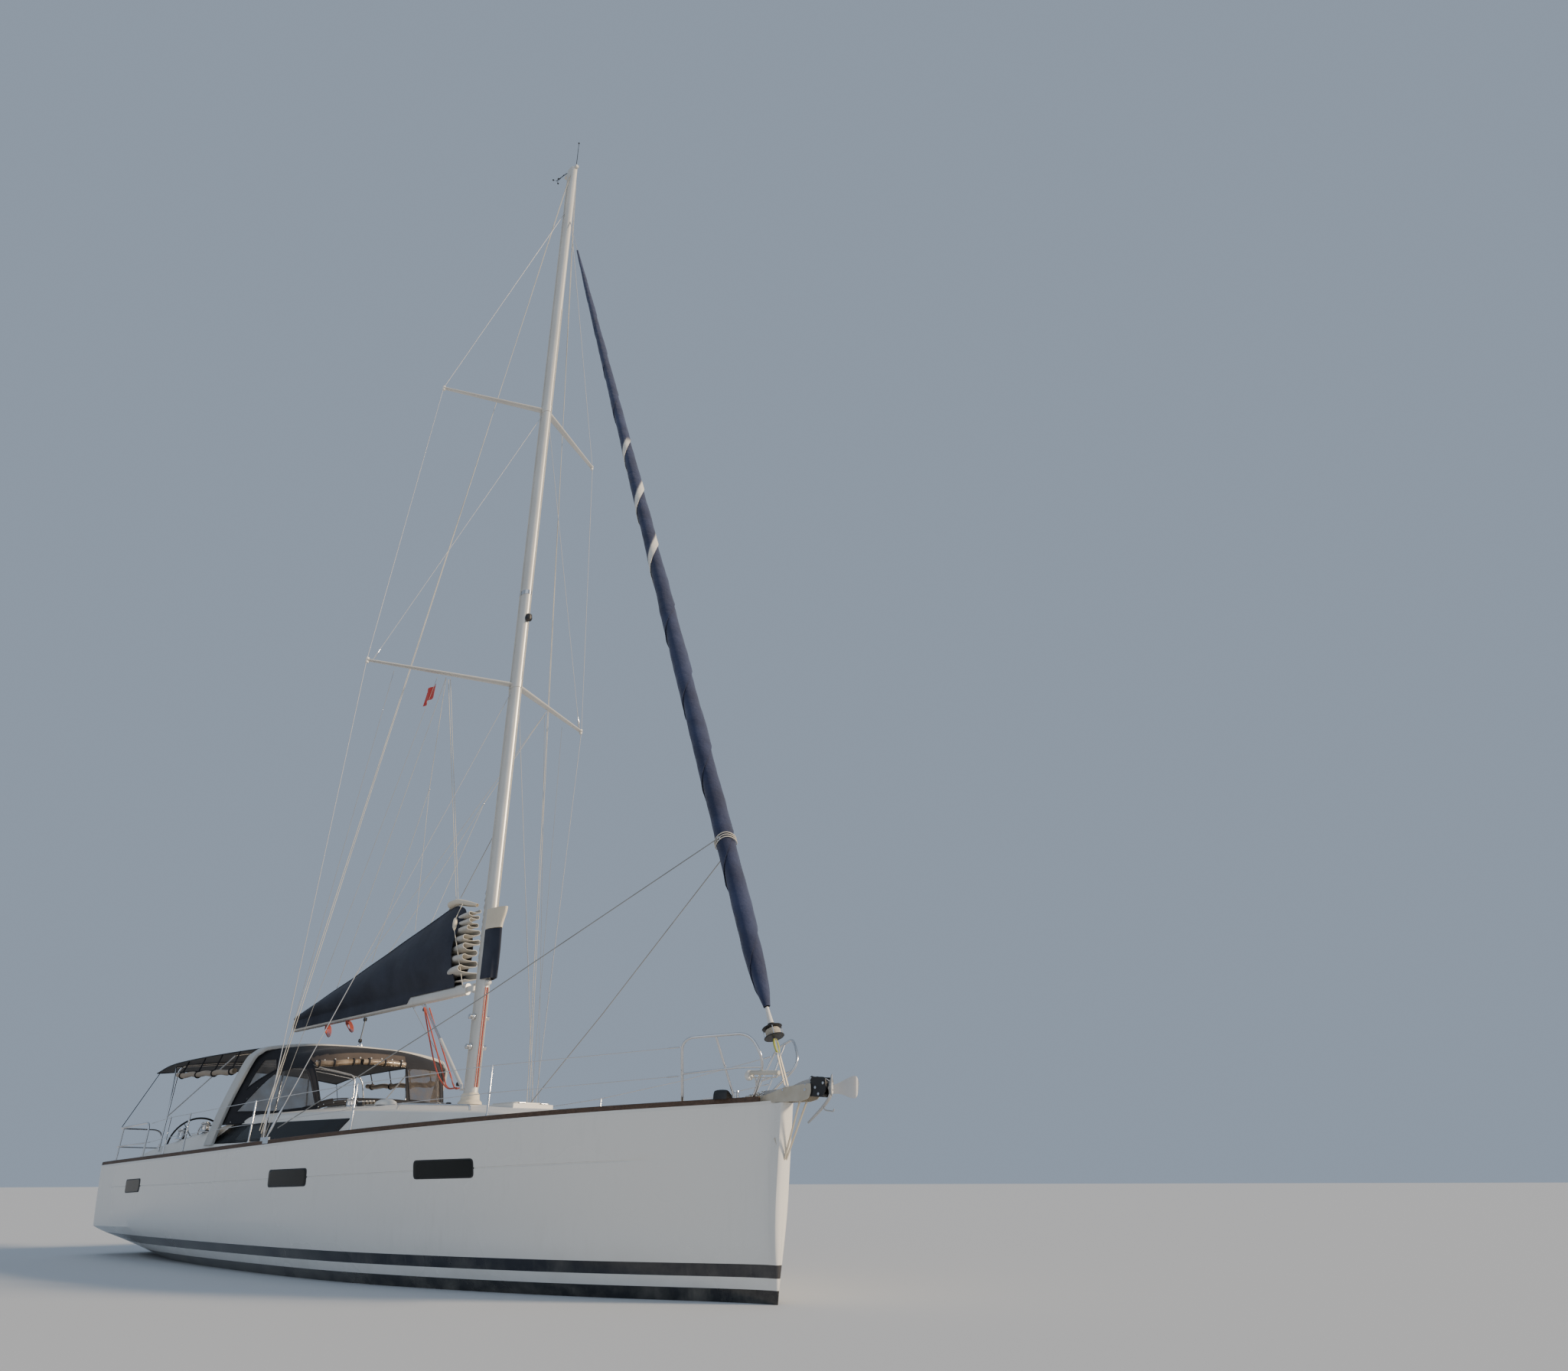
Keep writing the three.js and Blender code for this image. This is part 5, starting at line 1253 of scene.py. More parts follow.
def sail_bag():
    """The navy bag along the boom, open ahead, with the folded sail in it and its head rolled on top."""
    luck = random.Random(3)
    wrinkle = [(luck.uniform(3, 9), luck.uniform(0, 6)) for _ in range(4)]
    xs = spread(BAG_END, -1.10, 80) + spread(-1.06, -0.94, 7) + spread(-0.90, BAG_FRONT, 26)
    form = Form()
    grid = [bag_ring(x, wrinkle) for x in xs]
    shell(form, grid, 0.004, NAVY)
    top = len(grid[0]) // 2
    form.tube([ring[top] + up_by(0.004) for ring in grid], 0.009, NAVY, 8)
    form.tube(grid[-1], 0.008, NAVY, 8)
    form.place("sail_bag_cloth", "boom", "canvas", ["sail_bag"], smooth=60)
    folded_sail()
    head = Form()
    path = [(-0.18, 0, 4.945), (0.05, 0, 4.955), (0.35, 0, 4.885), (0.62, 0, 4.815)]
    points = curved(path, 5)
    head.rolled(points, wound(2.5, 0.018, 0.072, 0.006, 2.0), CREAM_CLOTH,
                [mix(1.0, 0.42, t) * (1 + 0.05 * sin(11 * t)) for t in spread(0, 1, len(points))])
    head.place("headboard_roll", "boom", "sail_cloth", smooth=60)
    mast_flap()


def folded_sail():
    """The sail's luff, folded to and fro across the boom, its loops largest at the bottom."""
    line = []
    z = BOOM_TOP + 0.075
    passes = 15
    for k in range(passes):
        share = k / (passes - 1)
        gap, wide, side = mix(0.092, 0.044, share), mix(0.118, 0.058, share), -1 if k % 2 else 1
        line += [(-side * wide * 0.4, z - 0.010, k), (side * wide * 0.4, z - 0.010, k)]
        for a in spread(-pi / 2, pi / 2, 8):
            line.append((side * (wide + gap / 2 * cos(a)), z + gap / 2 + gap / 2 * sin(a), k + 0.5))
        z += gap
    faces = {1: [], -1: []}
    for i, (y, z, k) in enumerate(line):
        before, after = line[max(i - 1, 0)], line[min(i + 1, len(line) - 1)]
        along = Vector((after[0] - before[0], after[1] - before[1])).normalized()
        for layer in (1, -1):
            faces[layer].append((y - along.y * 0.0035 * layer, z + along.x * 0.0035 * layer, k))
    section = faces[1] + faces[-1][::-1]
    rings = []
    for share in spread(0, 1, 12):
        rings.append([(mix(-0.20, 0.585 + 0.035 * sin(2.3 * k), share),
                       y * (mix(0.55, 1.0, ease(0.2, 0.8, share)) + 0.04 * sin(7 * share + k)),
                       z - 0.04 * k / passes * (1 - share) + 0.006 * sin(5 * share + 1.7 * k)) for y, z,
                      k in section])
    form = Form().skin(rings, SAILCLOTH)
    form.place("folded_sail", "boom", "sail_cloth", smooth=60)


def mast_flap():
    """The bag's front flap, laced over the front of the mast: dark below, a stiff cream corner at its top."""
    low, high, cream_from = 3.66, 4.66, 4.36
    grid = []
    for z in [*spread(low, cream_from, 12), *spread(cream_from + 0.01, high, 6)]:
        up = (z - low) / (high - low)
        reach = 0.29 + 0.03 * sin(pi * up) + 0.12 * ease(cream_from, high, z)
        row = []
        for a in spread(-1.5, 1.5, 25):
            fold = 1 + 0.07 * sin(6 * a + 3 * up) * (1 - up)
            row.append(Vector((mast_x(z) + 0.03 + reach * fold * cos(a), 0.088 * fold * sin(a), z)))
        grid.append(row)
    form = Form()
    shell(form, grid, 0.004, NAVY, lambda i, j: i < 11)
    shell(form, grid, 0.004, CREAM_CLOTH, lambda i, j: i >= 12)
    form.place("mast_flap", "root", "canvas", smooth=60)


# Running rigging

LAZY_NODE = (-0.455, 0.50, 6.80)
LAZY_HEAD = (0.46, 0.95, 8.35)
LAZY_FOOT = (-1.03, 0.10, 4.66)
MASTHEAD_EXIT = (0.86, 0.07, 20.3)
# Radii of the ropes
HALYARD, JACK_LINE, FLAG_LINE, SHEET_ROPE, REEF_LINE = 0.0045, 0.0035, 0.003, 0.0065, 0.006


def line_points(start, end, count=12):
    return [Vector(start).lerp(Vector(end), t) for t in spread(0, 1, count)]


def boom_lines():
    """The lines from mast to boom: lazyjacks, and the two that hold up the head of the sail."""
    jacks = Form()
    for side in (-1, 1):
        head, knot = (Vector((p[0], p[1] * side, p[2])) for p in (LAZY_HEAD, LAZY_NODE))
        jacks.tube(line_points(head, knot, 8), 0.004, CREAM_ROPE, 8)
        jacks.ball(knot, 0.016, STAINLESS, 1.3, 10)
        for x, y, z in (LAZY_FOOT, (-2.40, 0.09, 4.36)):
            jacks.tube(line_points(knot, (x, y * side, z)), JACK_LINE, CREAM_ROPE, 8)
        jacks.tube(line_points(head, (-3.60, 0.08 * side, 4.08), 16), JACK_LINE, CREAM_ROPE, 8)
    jacks.tube(line_points((0.90, 0.0, 5.90), (0.10, 0.0, 5.02)), 0.006, GREY_ROPE, 8)
    span(jacks, "lazyjacks", "sail_cloth", LAZY_HEAD, LAZY_FOOT)
    peak = Form()
    for x in (0.045, 0.105):
        peak.tube(line_points((x + 0.32, -0.86, 8.37), (x, -0.045, 4.99), 14), HALYARD, CREAM_ROPE, 8)
    span(peak, "headboard_lines", "sail_cloth", (0.40, -0.86, 8.37), (0.075, -0.045, 4.99))


def mast_lines():
    """Halyards, flag lines and the headsail's sheets, all hauled tight."""
    lines = Form()
    for side in (-1, 1):
        top = Vector((MASTHEAD_EXIT[0], MASTHEAD_EXIT[1] * side, MASTHEAD_EXIT[2]))
        foot = Vector((CHAIN_X - 0.10, -CHAIN_Y * side, CHAIN_TOP + 0.05))
        for shift in (0.0, 0.035):
            lines.tube([top + Vector((shift, 0, 0)), foot + Vector((-shift * 2, 0, shift))], HALYARD,
                       CREAM_ROPE, 8)
        lines.tube([(-0.02, side * 1.60, 8.40), (-0.56, side * -CHAIN_Y, CHAIN_TOP)], FLAG_LINE, GREY_ROPE, 6)
        lines.tube([(0.30, side * 1.02, 8.38), (-0.35, side * (0.04 - CHAIN_Y), CHAIN_TOP)], FLAG_LINE,
                   GREY_ROPE, 6)
        lines.tube([(mast_x(2.3) - 0.02, side * 0.092, 2.3), (mast_x(20.2) - 0.02, side * 0.084, 20.2)],
                   0.005, CREAM_ROPE, 8)
        clew = STAY_FOOT + STAY_ALONG * CLEW_ALONG + Vector((0, side * 0.135, 0))
        lead = Vector((-0.80, side * 1.765, 1.72))
        lines.tube([clew, clew.lerp(lead, 0.5) - up_by(0.05),
                    lead], SHEET_ROPE, GREY_ROPE, 8)
    for y, rope in ((-0.026, RED_ROPE), (0.004, RED_ROPE), (0.030, CREAM_ROPE)):
        front = MAST_LONG / 2 + 0.008
        lines.tube([(mast_x(3.55) + front, y, 3.55), (mast_x(2.22) + front, y, 2.22)], SHEET_ROPE, rope, 8)
    lines.tube([(mast_x(16.5) + MAST_LONG / 2 + 0.012, 0.03, 16.5),
                (mast_x(3.6) + MAST_LONG / 2 + 0.012, 0.03, 3.6)], 0.005, CREAM_ROPE, 8)
    lines.turned([(0, 0), (0.042, 0), (0.046, 0.012), (0.034, 0.05), (0, 0.058)],
                 (mast_x(3.62) + MAST_LONG / 2, 0, 3.62), (1, 0, -0.2), WHITE_PLASTIC, 24)
    lines.place("running_lines", "root", "sail_cloth", smooth=60)


def mainsheet():
    sheet = Form()
    boom_at, arch_at = Vector((-2.50, 0, BOOM_BOTTOM - 0.002)), Vector((-2.56, 0, 3.10))
    for dx in (-0.012, 0.0, 0.012):
        sheet.tube(line_points(boom_at + Vector((dx, 0, -0.05)), arch_at + Vector((dx, 0, 0.05)), 8), 0.005,
                   GREY_ROPE, 8)
    for at in (boom_at - up_by(0.035), arch_at + up_by(0.035)):
        block_wheel(sheet, at, 0.022, 0.031, 0.028, 0.010, 0.020)
    span(sheet, "mainsheet", "black_fitting", arch_at, boom_at)


def lashed_lines():
    """The line and its pale grip at the bag's mouth, and the reef lines lashed in coils under the boom."""
    hanks = Form()
    mouth = [Vector(p) for p in ((0.36, -0.10, 4.86), (0.37, -0.19, 4.62), (0.39, -0.20, 4.46),
                                 (0.60, -0.055, 3.60))]
    hanks.tube(mouth, 0.0055, CREAM_ROPE, 8)
    hanks.turned([(0, 0), (0.016, 0.004), (0.030, 0.04), (0.034, 0.09), (0.028, 0.15), (0.012, 0.19),
                  (0, 0.195)], mouth[1] + up_by(0.015), mouth[2] - mouth[1], CREAM_CLOTH, 20)
    for x, lean in ((-3.90, 0.20), (-3.15, 0.55)):
        for k in range(5):
            loop = []
            for a in spread(0, FULL_TURN, 21):
                drop = (1 - cos(a)) / 2
                loop.append(Vector((x + lean * 0.35 * drop + 0.05 * sin(a) * (1 + 0.2 * k), 0.012 * (k - 2),
                                    BOOM_BOTTOM + 0.004 - (0.15 + 0.012 * k) * drop)))
            hanks.tube(loop, REEF_LINE, RED_ROPE, 8)
        for wrap in range(3):
            ring = [Vector((x + lean * 0.06 + 0.03 * cos(a), 0.036 * sin(a),
                            BOOM_BOTTOM - 0.022 - 0.013 * wrap)) for a in spread(0, FULL_TURN, 17)]
            hanks.tube(ring, REEF_LINE, RED_ROPE, 8)
    hanks.place("lashed_reef_lines", "boom", "sail_cloth", smooth=60)


def flag():
    """A small plain red flag under the starboard spreader, streaming aft in folds."""
    hoist = Vector((0.29, -1.02, 8.27))
    grid = []
    for down in spread(0, 0.24, 9):
        row = []
        for out in spread(0, 0.34, 18):
            wave = 0.028 * sin(out * 24 + down * 5) * ease(0, 0.12, out)
            row.append(hoist + Vector((-out * 0.94 - down * 0.10, wave, -down - 0.16 * out)))
        grid.append(row)
    form = Form()
    shell(form, grid, 0.0015, ENSIGN)
    form.place("spreader_flag", "root", "canvas", smooth=60)


# Canvas shelter: arch, dodger and bimini

def smooth_net(rows, row_steps, point_steps):
    """A fine grid through a coarse one, smooth both along its rows and across them."""
    fine = [curved(row, point_steps) for row in rows]
    columns = [curved(column, row_steps) for column in zip(*fine)]
    return [list(row) for row in zip(*columns)]


def both_sides(half):
    """Points from the starboard edge to the centre line, carried on to the port edge."""
    starboard = [Vector((x, -y, z)) for x, y, z in half]
    return starboard + [Vector((x, y, z)) for x, y, z in half[-2::-1]]


def grid_normals(grid):
    rows, count = len(grid), len(grid[0])
    normals = []
    for i in range(rows):
        normals.append([])
        for j in range(count):
            along = grid[min(i + 1, rows - 1)][j] - grid[max(i - 1, 0)][j]
            across = grid[i][min(j + 1, count - 1)] - grid[i][max(j - 1, 0)]
            normals[-1].append(along.cross(across).normalized())
    return normals


def inside(outline, u, v):
    odd = False
    for (u0, v0), (u1, v1) in zip(outline, outline[1:] + outline[:1]):
        if (v0 > v) != (v1 > v) and u < (u1 - u0) * (v - v0) / (v1 - v0) + u0:
            odd = not odd
    return odd


def shell(form, grid, thick, finish_used, keep=lambda i, j: True, lift=0.0):
    """A sheet of even thickness over the kept cells of a grid, closed round every edge."""
    normals = grid_normals(grid)
    count = len(grid[0])
    cells = {(i, j) for i in range(len(grid) - 1) for j in range(count - 1) if keep(i, j)}
    used = {}
    points, faces = [], []

    def corner(i, j, layer):
        key = (i, j, layer)
        if key not in used:
            used[key] = len(points)
            points.append(grid[i][j] + normals[i][j] * (lift + thick * layer))
        return used[key]

    for i, j in sorted(cells):
        ring = ((i, j), (i + 1, j), (i + 1, j + 1), (i, j + 1))
        faces.append([corner(a, b, 1) for a, b in ring])
        faces.append([corner(a, b, 0) for a, b in ring[::-1]])
        for (a, b), (c, d), neighbour in zip(ring, ring[1:] + ring[:1],
                                             ((i, j - 1), (i + 1, j), (i, j + 1), (i - 1, j))):
            if neighbour not in cells:
                faces.append([corner(c, d, 1), corner(a, b, 1), corner(a, b, 0), corner(c, d, 0)])
    if cells:
        form.add(points, faces, finish_used)


ARCH_THICK, ARCH_WIDE = 0.062, 0.300
# Columns: x, y, z, turn of the fin's flat from upright in degrees
ARCH_PATH = ((-3.300, 1.735, 1.560, 8), (-3.060, 1.700, 2.080, 8), (-2.720, 1.615, 2.690, 14),
             (-2.650, 1.530, 2.840, 38), (-2.610, 1.380, 2.915, 70), (-2.570, 0.800, 2.990, 84),
             (-2.560, 0.0, 3.014, 90))


def cockpit_arch():
    rings = []
    for x, y, z, lean in curved(ARCH_PATH, 6):
        turn = radians(lean)
        ring = []
        for a in turns(20):
            u = ARCH_WIDE / 2 * boxy(cos(a), 0.3)
            n = ARCH_THICK / 2 * boxy(sin(a), 0.45)
            ring.append((x + u, -(y + cos(turn) * n), z + sin(turn) * n))
        rings.append(ring)
    rings += [[(x, -y, z) for x, y, z in ring] for ring in rings[-2::-1]]
    # The arch's grey finish is its white gelcoat darkened with painted shade.
    form = Form().skin(rings, ARCH_PAINTED_SHADE_GREY)
    for x, z in ((-2.62, 3.049), (-2.50, 3.049)):
        form.solid([(0.028, 0), (0.026, 0.012), (0.012, 0.018), (0.010, 0.04)], (x, 0, z - 0.006), UP,
                   STAINLESS, 16)
    form.tube(curved([(-2.62, 0, 3.075), (-2.56, 0, 3.10), (-2.50, 0, 3.075)], 5), 0.006, STAINLESS, 8)
    form.place("cockpit_arch_moulding", "root", "gelcoat", ["cockpit_arch"])


# Each row runs from the hood's foot on the roof, up its side and shoulder, to its crown. Columns: x, y, z.
HOOD_ROWS = (
    ((-1.400, 1.010, 1.900), (-1.400, 0.990, 1.970), (-1.400, 0.960, 2.030), (-1.360, 0.700, 2.085),
     (-1.340, 0.350, 2.105), (-1.335, 0, 2.112)),
    ((-1.560, 1.110, 1.880), (-1.680, 1.110, 2.300), (-1.760, 1.060, 2.640), (-1.760, 0.860, 2.780),
     (-1.740, 0.420, 2.850), (-1.735, 0, 2.862)),
    ((-2.150, 1.350, 1.850), (-2.210, 1.310, 2.400), (-2.230, 1.250, 2.755), (-2.220, 1.060, 2.870),
     (-2.180, 0.560, 2.955), (-2.165, 0, 2.975)),
    ((-3.170, 1.725, 1.830), (-2.790, 1.652, 2.580), (-2.650, 1.545, 2.855), (-2.610, 1.385, 2.945),
     (-2.570, 0.800, 3.022), (-2.560, 0, 3.040)),
)
HOOD_ALONG, HOOD_ROUND = 22, 16
# Outlines on the hood. Columns: row and point, in fractions, from the starboard foot to the port one.
SIDE_WINDOW = ((2.74, 0.24), (2.13, 1.36), (1.62, 1.60), (1.12, 1.70), (0.20, 1.10), (0.55, 0.55),
               (1.1, 0.34), (1.85, 0.27))
BACK_WINDOW = ((2.72, 0.66), (2.60, 1.68), (2.28, 1.84), (2.15, 1.42))
OPEN_FRONT = ((0.12, 2.05), (0.98, 2.10), (0.80, 3.0), (0.72, 4.0), (0.70, 5.0), (0.71, 5.95), (0.10, 5.95),
              (0.10, 4.2))
SHUT_FRONT = ((0.12, 6.1), (0.70, 6.0), (0.80, 7.0), (0.95, 7.85), (0.12, 7.9))


def hood_mirror(outline):
    return [(u, 10 - v) for u, v in outline]


def dodger():
    net = smooth_net([both_sides(row) for row in HOOD_ROWS], HOOD_ALONG, HOOD_ROUND)
    windows = [SIDE_WINDOW, BACK_WINDOW, SHUT_FRONT, hood_mirror(SIDE_WINDOW), hood_mirror(BACK_WINDOW)]

    def place(i, j):
        return (i + 0.5) / HOOD_ALONG, (j + 0.5) / HOOD_ROUND

    def on_hood(u, v, out=0.0):
        i, j = min(int(u * HOOD_ALONG), len(net) - 2), min(int(v * HOOD_ROUND), len(net[0]) - 2)
        a, b = u * HOOD_ALONG - i, v * HOOD_ROUND - j
        point = net[i][j].lerp(net[i + 1][j], a).lerp(net[i][j + 1].lerp(net[i + 1][j + 1], a), b)
        along, across = net[i + 1][j] - net[i][j], net[i][j + 1] - net[i][j]
        return point + across.cross(along).normalized() * out

    def clear_of_openings(i, j):
        u, v = place(i, j)
        return not any(inside(w, u, v) for w in (*windows, OPEN_FRONT))

    def band(outline, half_wide, out, finish_used, closed=True):
        """A strip of webbing sewn along an outline."""
        ends = outline[1:] + (outline[:1] if closed else ())
        path = []
        for (u0, v0), (u1, v1) in zip(outline, ends):
            path += [on_hood(mix(u0, u1, t), mix(v0, v1, t), out) for t in spread(0, 1, 9)[:-1]]
        path.append(path[0] if closed else on_hood(*outline[-1], out))
        hood.tube(path, half_wide, finish_used, 8)

    def over_brow(u, v):
        return 2.2 < v < 5.95 and 0.80 < u - 0.10 * ease(3.2, 2.2, v) < 1.02

    hood = Form()
    shell(hood, net, 0.004, CHARCOAL, clear_of_openings)
    hood.place("dodger_canvas", "root", "canvas", ["dodger"], smooth=60)
    panes = Form()
    for outline in windows:
        shell(panes, net, 0.0015, BRONZE_VINYL, lambda i, j: inside(outline, *place(i, j)), 0.001)
    panes.place("dodger_windows", "root", "canvas", smooth=60)
    hood = Form()
    for outline in (*windows, OPEN_FRONT):
        band(outline, 0.010, 0.001, CHARCOAL)
    for v in (0.03, 9.97):
        band(tuple((u, v) for u in spread(0.05, 2.95, 9)), 0.012, 0.002, CHARCOAL, closed=False)
    band(tuple((0.04, v) for v in spread(0.2, 9.8, 20)), 0.012, 0.002, CHARCOAL, closed=False)
    band(tuple((2.9, v) for v in spread(1.2, 8.8, 20)), 0.008, 0.002, PIPING, closed=False)
    shell(hood, net, 0.003, BROW_CLOTH, lambda i, j: over_brow(*place(i, j)), -0.009)
    hood.place("dodger_bindings", "root", "canvas", smooth=60)
    rolled_panels(on_hood)
    hood_frame(on_hood)
    studs("brow_snaps", [on_hood(0.85 + 0.10 * ease(3.2, 2.2, v), v, 0.011) for v in spread(2.4, 5.8, 9)],
          0.012, "root", WHITE_PLASTIC)
    snaps = [on_hood(0.05, v, 0.012) for v in spread(1.2, 8.8, 16)]
    snaps += [on_hood(u, v, 0.010) for v in (0.05, 9.95) for u in spread(0.4, 2.75, 9)]
    studs("dodger_snaps", snaps, 0.009, "root", STAINLESS)


def rolled_panels(on_hood):
    """Two clear front panels rolled up under the hood's brow, each held by straps."""
    for name, v0, v1 in (("starboard", 2.25, 4.02), ("centre", 4.15, 5.88)):
        rolls = Form()
        luck = random.Random(len(name))
        path = [on_hood(0.76 + 0.12 * ease(3.2, 2.2, v), v, 0.034) - up_by(0.012) for v in spread(v0, v1, 17)]
        swell = [0.94 + 0.12 * sin(pi * t) + luck.uniform(-0.05, 0.05) for t in spread(0, 1, 17)]
        rolls.rolled(path, wound(3.5, 0.010, 0.045, 0.0035, 2.2), ROLLED_VINYL, swell)
        across = (path[-1] - path[0]).normalized()
        out = across.cross(Vector((0, 0, 1)))
        for share in (0.1, 0.5, 0.9):
            at = path[round(share * 16)]
            strap = [at + Vector((0, 0, 1)) * sin(a) * 0.052 + out * cos(a) * 0.052
                     for a in spread(0, FULL_TURN, 19)]
            rolls.tube(strap, 0.011, CHARCOAL, 8, 0.35)
        rolls.place("rolled_panel_" + name, "root", "canvas", smooth=60)


def hood_frame(on_hood):
    """Stainless hoops under the canvas, their deck sockets and a grab bar inside the open front."""
    frame_form = Form()
    for u in (0.95, 1.95):
        path = curved([on_hood(u, v, -0.018) for v in spread(0.06, 9.94, 24)], 3)
        frame_form.tube(path, HAND_TUBE, STAINLESS, 12)
    for side in (-1, 1):
        frame_form.tube(bent([(-1.55, side * 0.42, 2.06), (-1.63, side * 0.42, 2.52),
                              (-1.74, side * 0.95, 2.62)], 0.09), HAND_TUBE, STAINLESS, 12)
        frame_form.solid([(0.03, 0), (0.03, 0.008), (0.016, 0.012), (0.016, 0.03)],
                         (-1.55, side * 0.42, 2.04), UP, STAINLESS, 16)
    frame_form.place("dodger_frame", "root", "stainless")


BIMINI_ROWS = (
    ((-2.7603, 1.380, 2.938), (-2.7203, 0.800, 3.015), (-2.7153, 0.400, 3.030), (-2.7103, 0, 3.040)),
    ((-3.6, 1.560, 2.915), (-3.6, 0.905, 3.035), (-3.6, 0.452, 3.070), (-3.6, 0, 3.080)),
    ((-4.8, 1.620, 2.915), (-4.8, 0.940, 3.020), (-4.8, 0.470, 3.055), (-4.8, 0, 3.065)),
    ((-6.0, 1.640, 2.895), (-6.0, 0.950, 2.985), (-6.0, 0.475, 3.018), (-6.0, 0, 3.028)),
    ((-6.8, 1.620, 2.810), (-6.8, 0.940, 2.890), (-6.8, 0.470, 2.920), (-6.8, 0, 2.930)),
)


# The main hoop: where it stands fore and aft, and how far out its feet are
HOOP_X, HOOP_Y = -5.70, 1.765


def bimini():
    """One sheet from the arch aft over its hoops, sagging a little between them."""
    rows = [both_sides(row) for row in BIMINI_ROWS]
    net = smooth_net(rows, 14, 12)
    for i, row in enumerate(net):
        sag = 0.010 * sin(pi * (i % 14) / 14) ** 2
        for j, point in enumerate(row):
            row[j] = point - Vector((0, 0, 0.002 + sag * sin(pi * j / (len(row) - 1))))
    cloth = Form()
    shell(cloth, [row[::-1] for row in net], 0.0035, CHARCOAL)
    for j in (0, -1):
        cloth.tube([row[j] for row in net], 0.010, CHARCOAL, 8)
    cloth.tube(net[-1], 0.011, CHARCOAL, 8)
    for i in (14, 28, 42):
        for dx in (-0.05, 0.05):
            cloth.tube([p + Vector((dx, 0, 0.002)) for p in net[i]], 0.0022, NAVY, 6)
    cloth.place("bimini_canvas", "root", "canvas", ["bimini"], smooth=60)
    for side_name, side in SIDES:
        rolls = Form()
        luck = random.Random(5 + side)
        path = [Vector((x, side * (1.668 + luck.uniform(-0.004, 0.004)), mix(2.60, 2.70, (-3.06 - x) / 2.5)
                        - 0.018 * sin(pi * (-3.06 - x) / 0.625) ** 2)) for x in spread(-5.56, -3.06, 25)]
        swell = [1.0 + luck.uniform(-0.06, 0.06) for _ in path]
        rolls.rolled(path, wound(5.5, 0.006, 0.042, 0.003, 1.2, 12), TAN_CLOTH, swell)
        for at in path[2::7]:
            strap = [at + Vector((0, cos(a), sin(a))) * 0.047 for a in spread(0, FULL_TURN, 17)]
            rolls.tube(strap, 0.011, CHARCOAL, 8, 0.35)
            rolls.tube([at + up_by(0.045), Vector((at.x, side * 1.60, 2.905))], 0.011, CHARCOAL, 8, 0.25)
        rolls.place("rolled_side_curtain_" + side_name, "root", "canvas", smooth=60)
    hoops = Form()
    side_path = [(-5.35, -HOOP_Y, 1.52), (HOOP_X, -1.6285, 2.777), (HOOP_X, -1.5585, 2.868),
                 (HOOP_X, -0.9475, 2.953), (HOOP_X, -0.4738, 2.986)]
    half = [Vector(p) for p in side_path]
    whole = half + [Vector((HOOP_X, 0, 2.996))] + [Vector((p.x, -p.y, p.z)) for p in half[::-1]]
    hoops.tube(bent(whole, 0.12, 7), HAND_TUBE, STAINLESS, 14)
    for side in (-1, 1):
        hoops.solid([(0.03, 0), (0.03, 0.01), (0.016, 0.014), (0.016, 0.045)], (-5.36, side * HOOP_Y, 1.585),
                    UP, STAINLESS, 18)
    hoops.place("bimini_hoop_tube", "root", "stainless", ["bimini_hoop"])
    others = Form()
    for row in (1, 3):
        top = [Vector((p.x, p.y, p.z - 0.045)) for p in net[row * 14]]
        others.tube(top[1:-1], 0.011, STAINLESS, 12)
        for side in (-1, 1):
            edge = top[1] if side < 0 else top[-2]
            at = half[0].lerp(half[1], 0.42)
            others.tube([edge, Vector((at.x, side * abs(at.y), at.z))], 0.011, STAINLESS, 12)
    for side in (-1, 1):
        others.tube([(-6.74, side * 1.60, 2.80), (-6.96, side * 1.93, 1.93)], 0.006, CHARCOAL, 6)
    others.place("bimini_inner_hoops", "root", "stainless")


# Rails

PULPIT_CORNERS = ((6.040, -0.470, 1.76), (6.250, -0.690, 2.370), (6.870, -0.320, 2.400),
                  (7.010, -0.255, 2.130), (6.760, -0.120, 1.880), (6.700, -0.108, 1.79))
# The pulpit's middle leg
LEG_X, LEG_Y = 6.54, -0.228
STANCHION_XS = (-4.25, -3.43, -1.08, 1.54, 3.85)
STANCHION_HIGH, LOWER_WIRE = 0.62, 0.32
# Distance of the stanchions from the deck's edge, and radius of the feet of pulpit and pushpit
INSET, PAD = 0.078, 0.034


def stanchion_foot(x):
    y = HULL.at(x)[1] - INSET
    return Vector((x, -y, deck_top(x, y) - 0.001))


def pad_base(form, x, y):
    """The round foot of a rail's leg on the deck."""
    form.solid([(PAD, 0), (PAD, 0.005), (PAD * 0.62, 0.010), (PAD * 0.52, 0.05)],
               (x, y, deck_top(x, abs(y)) - 0.001), UP, STAINLESS, 18)


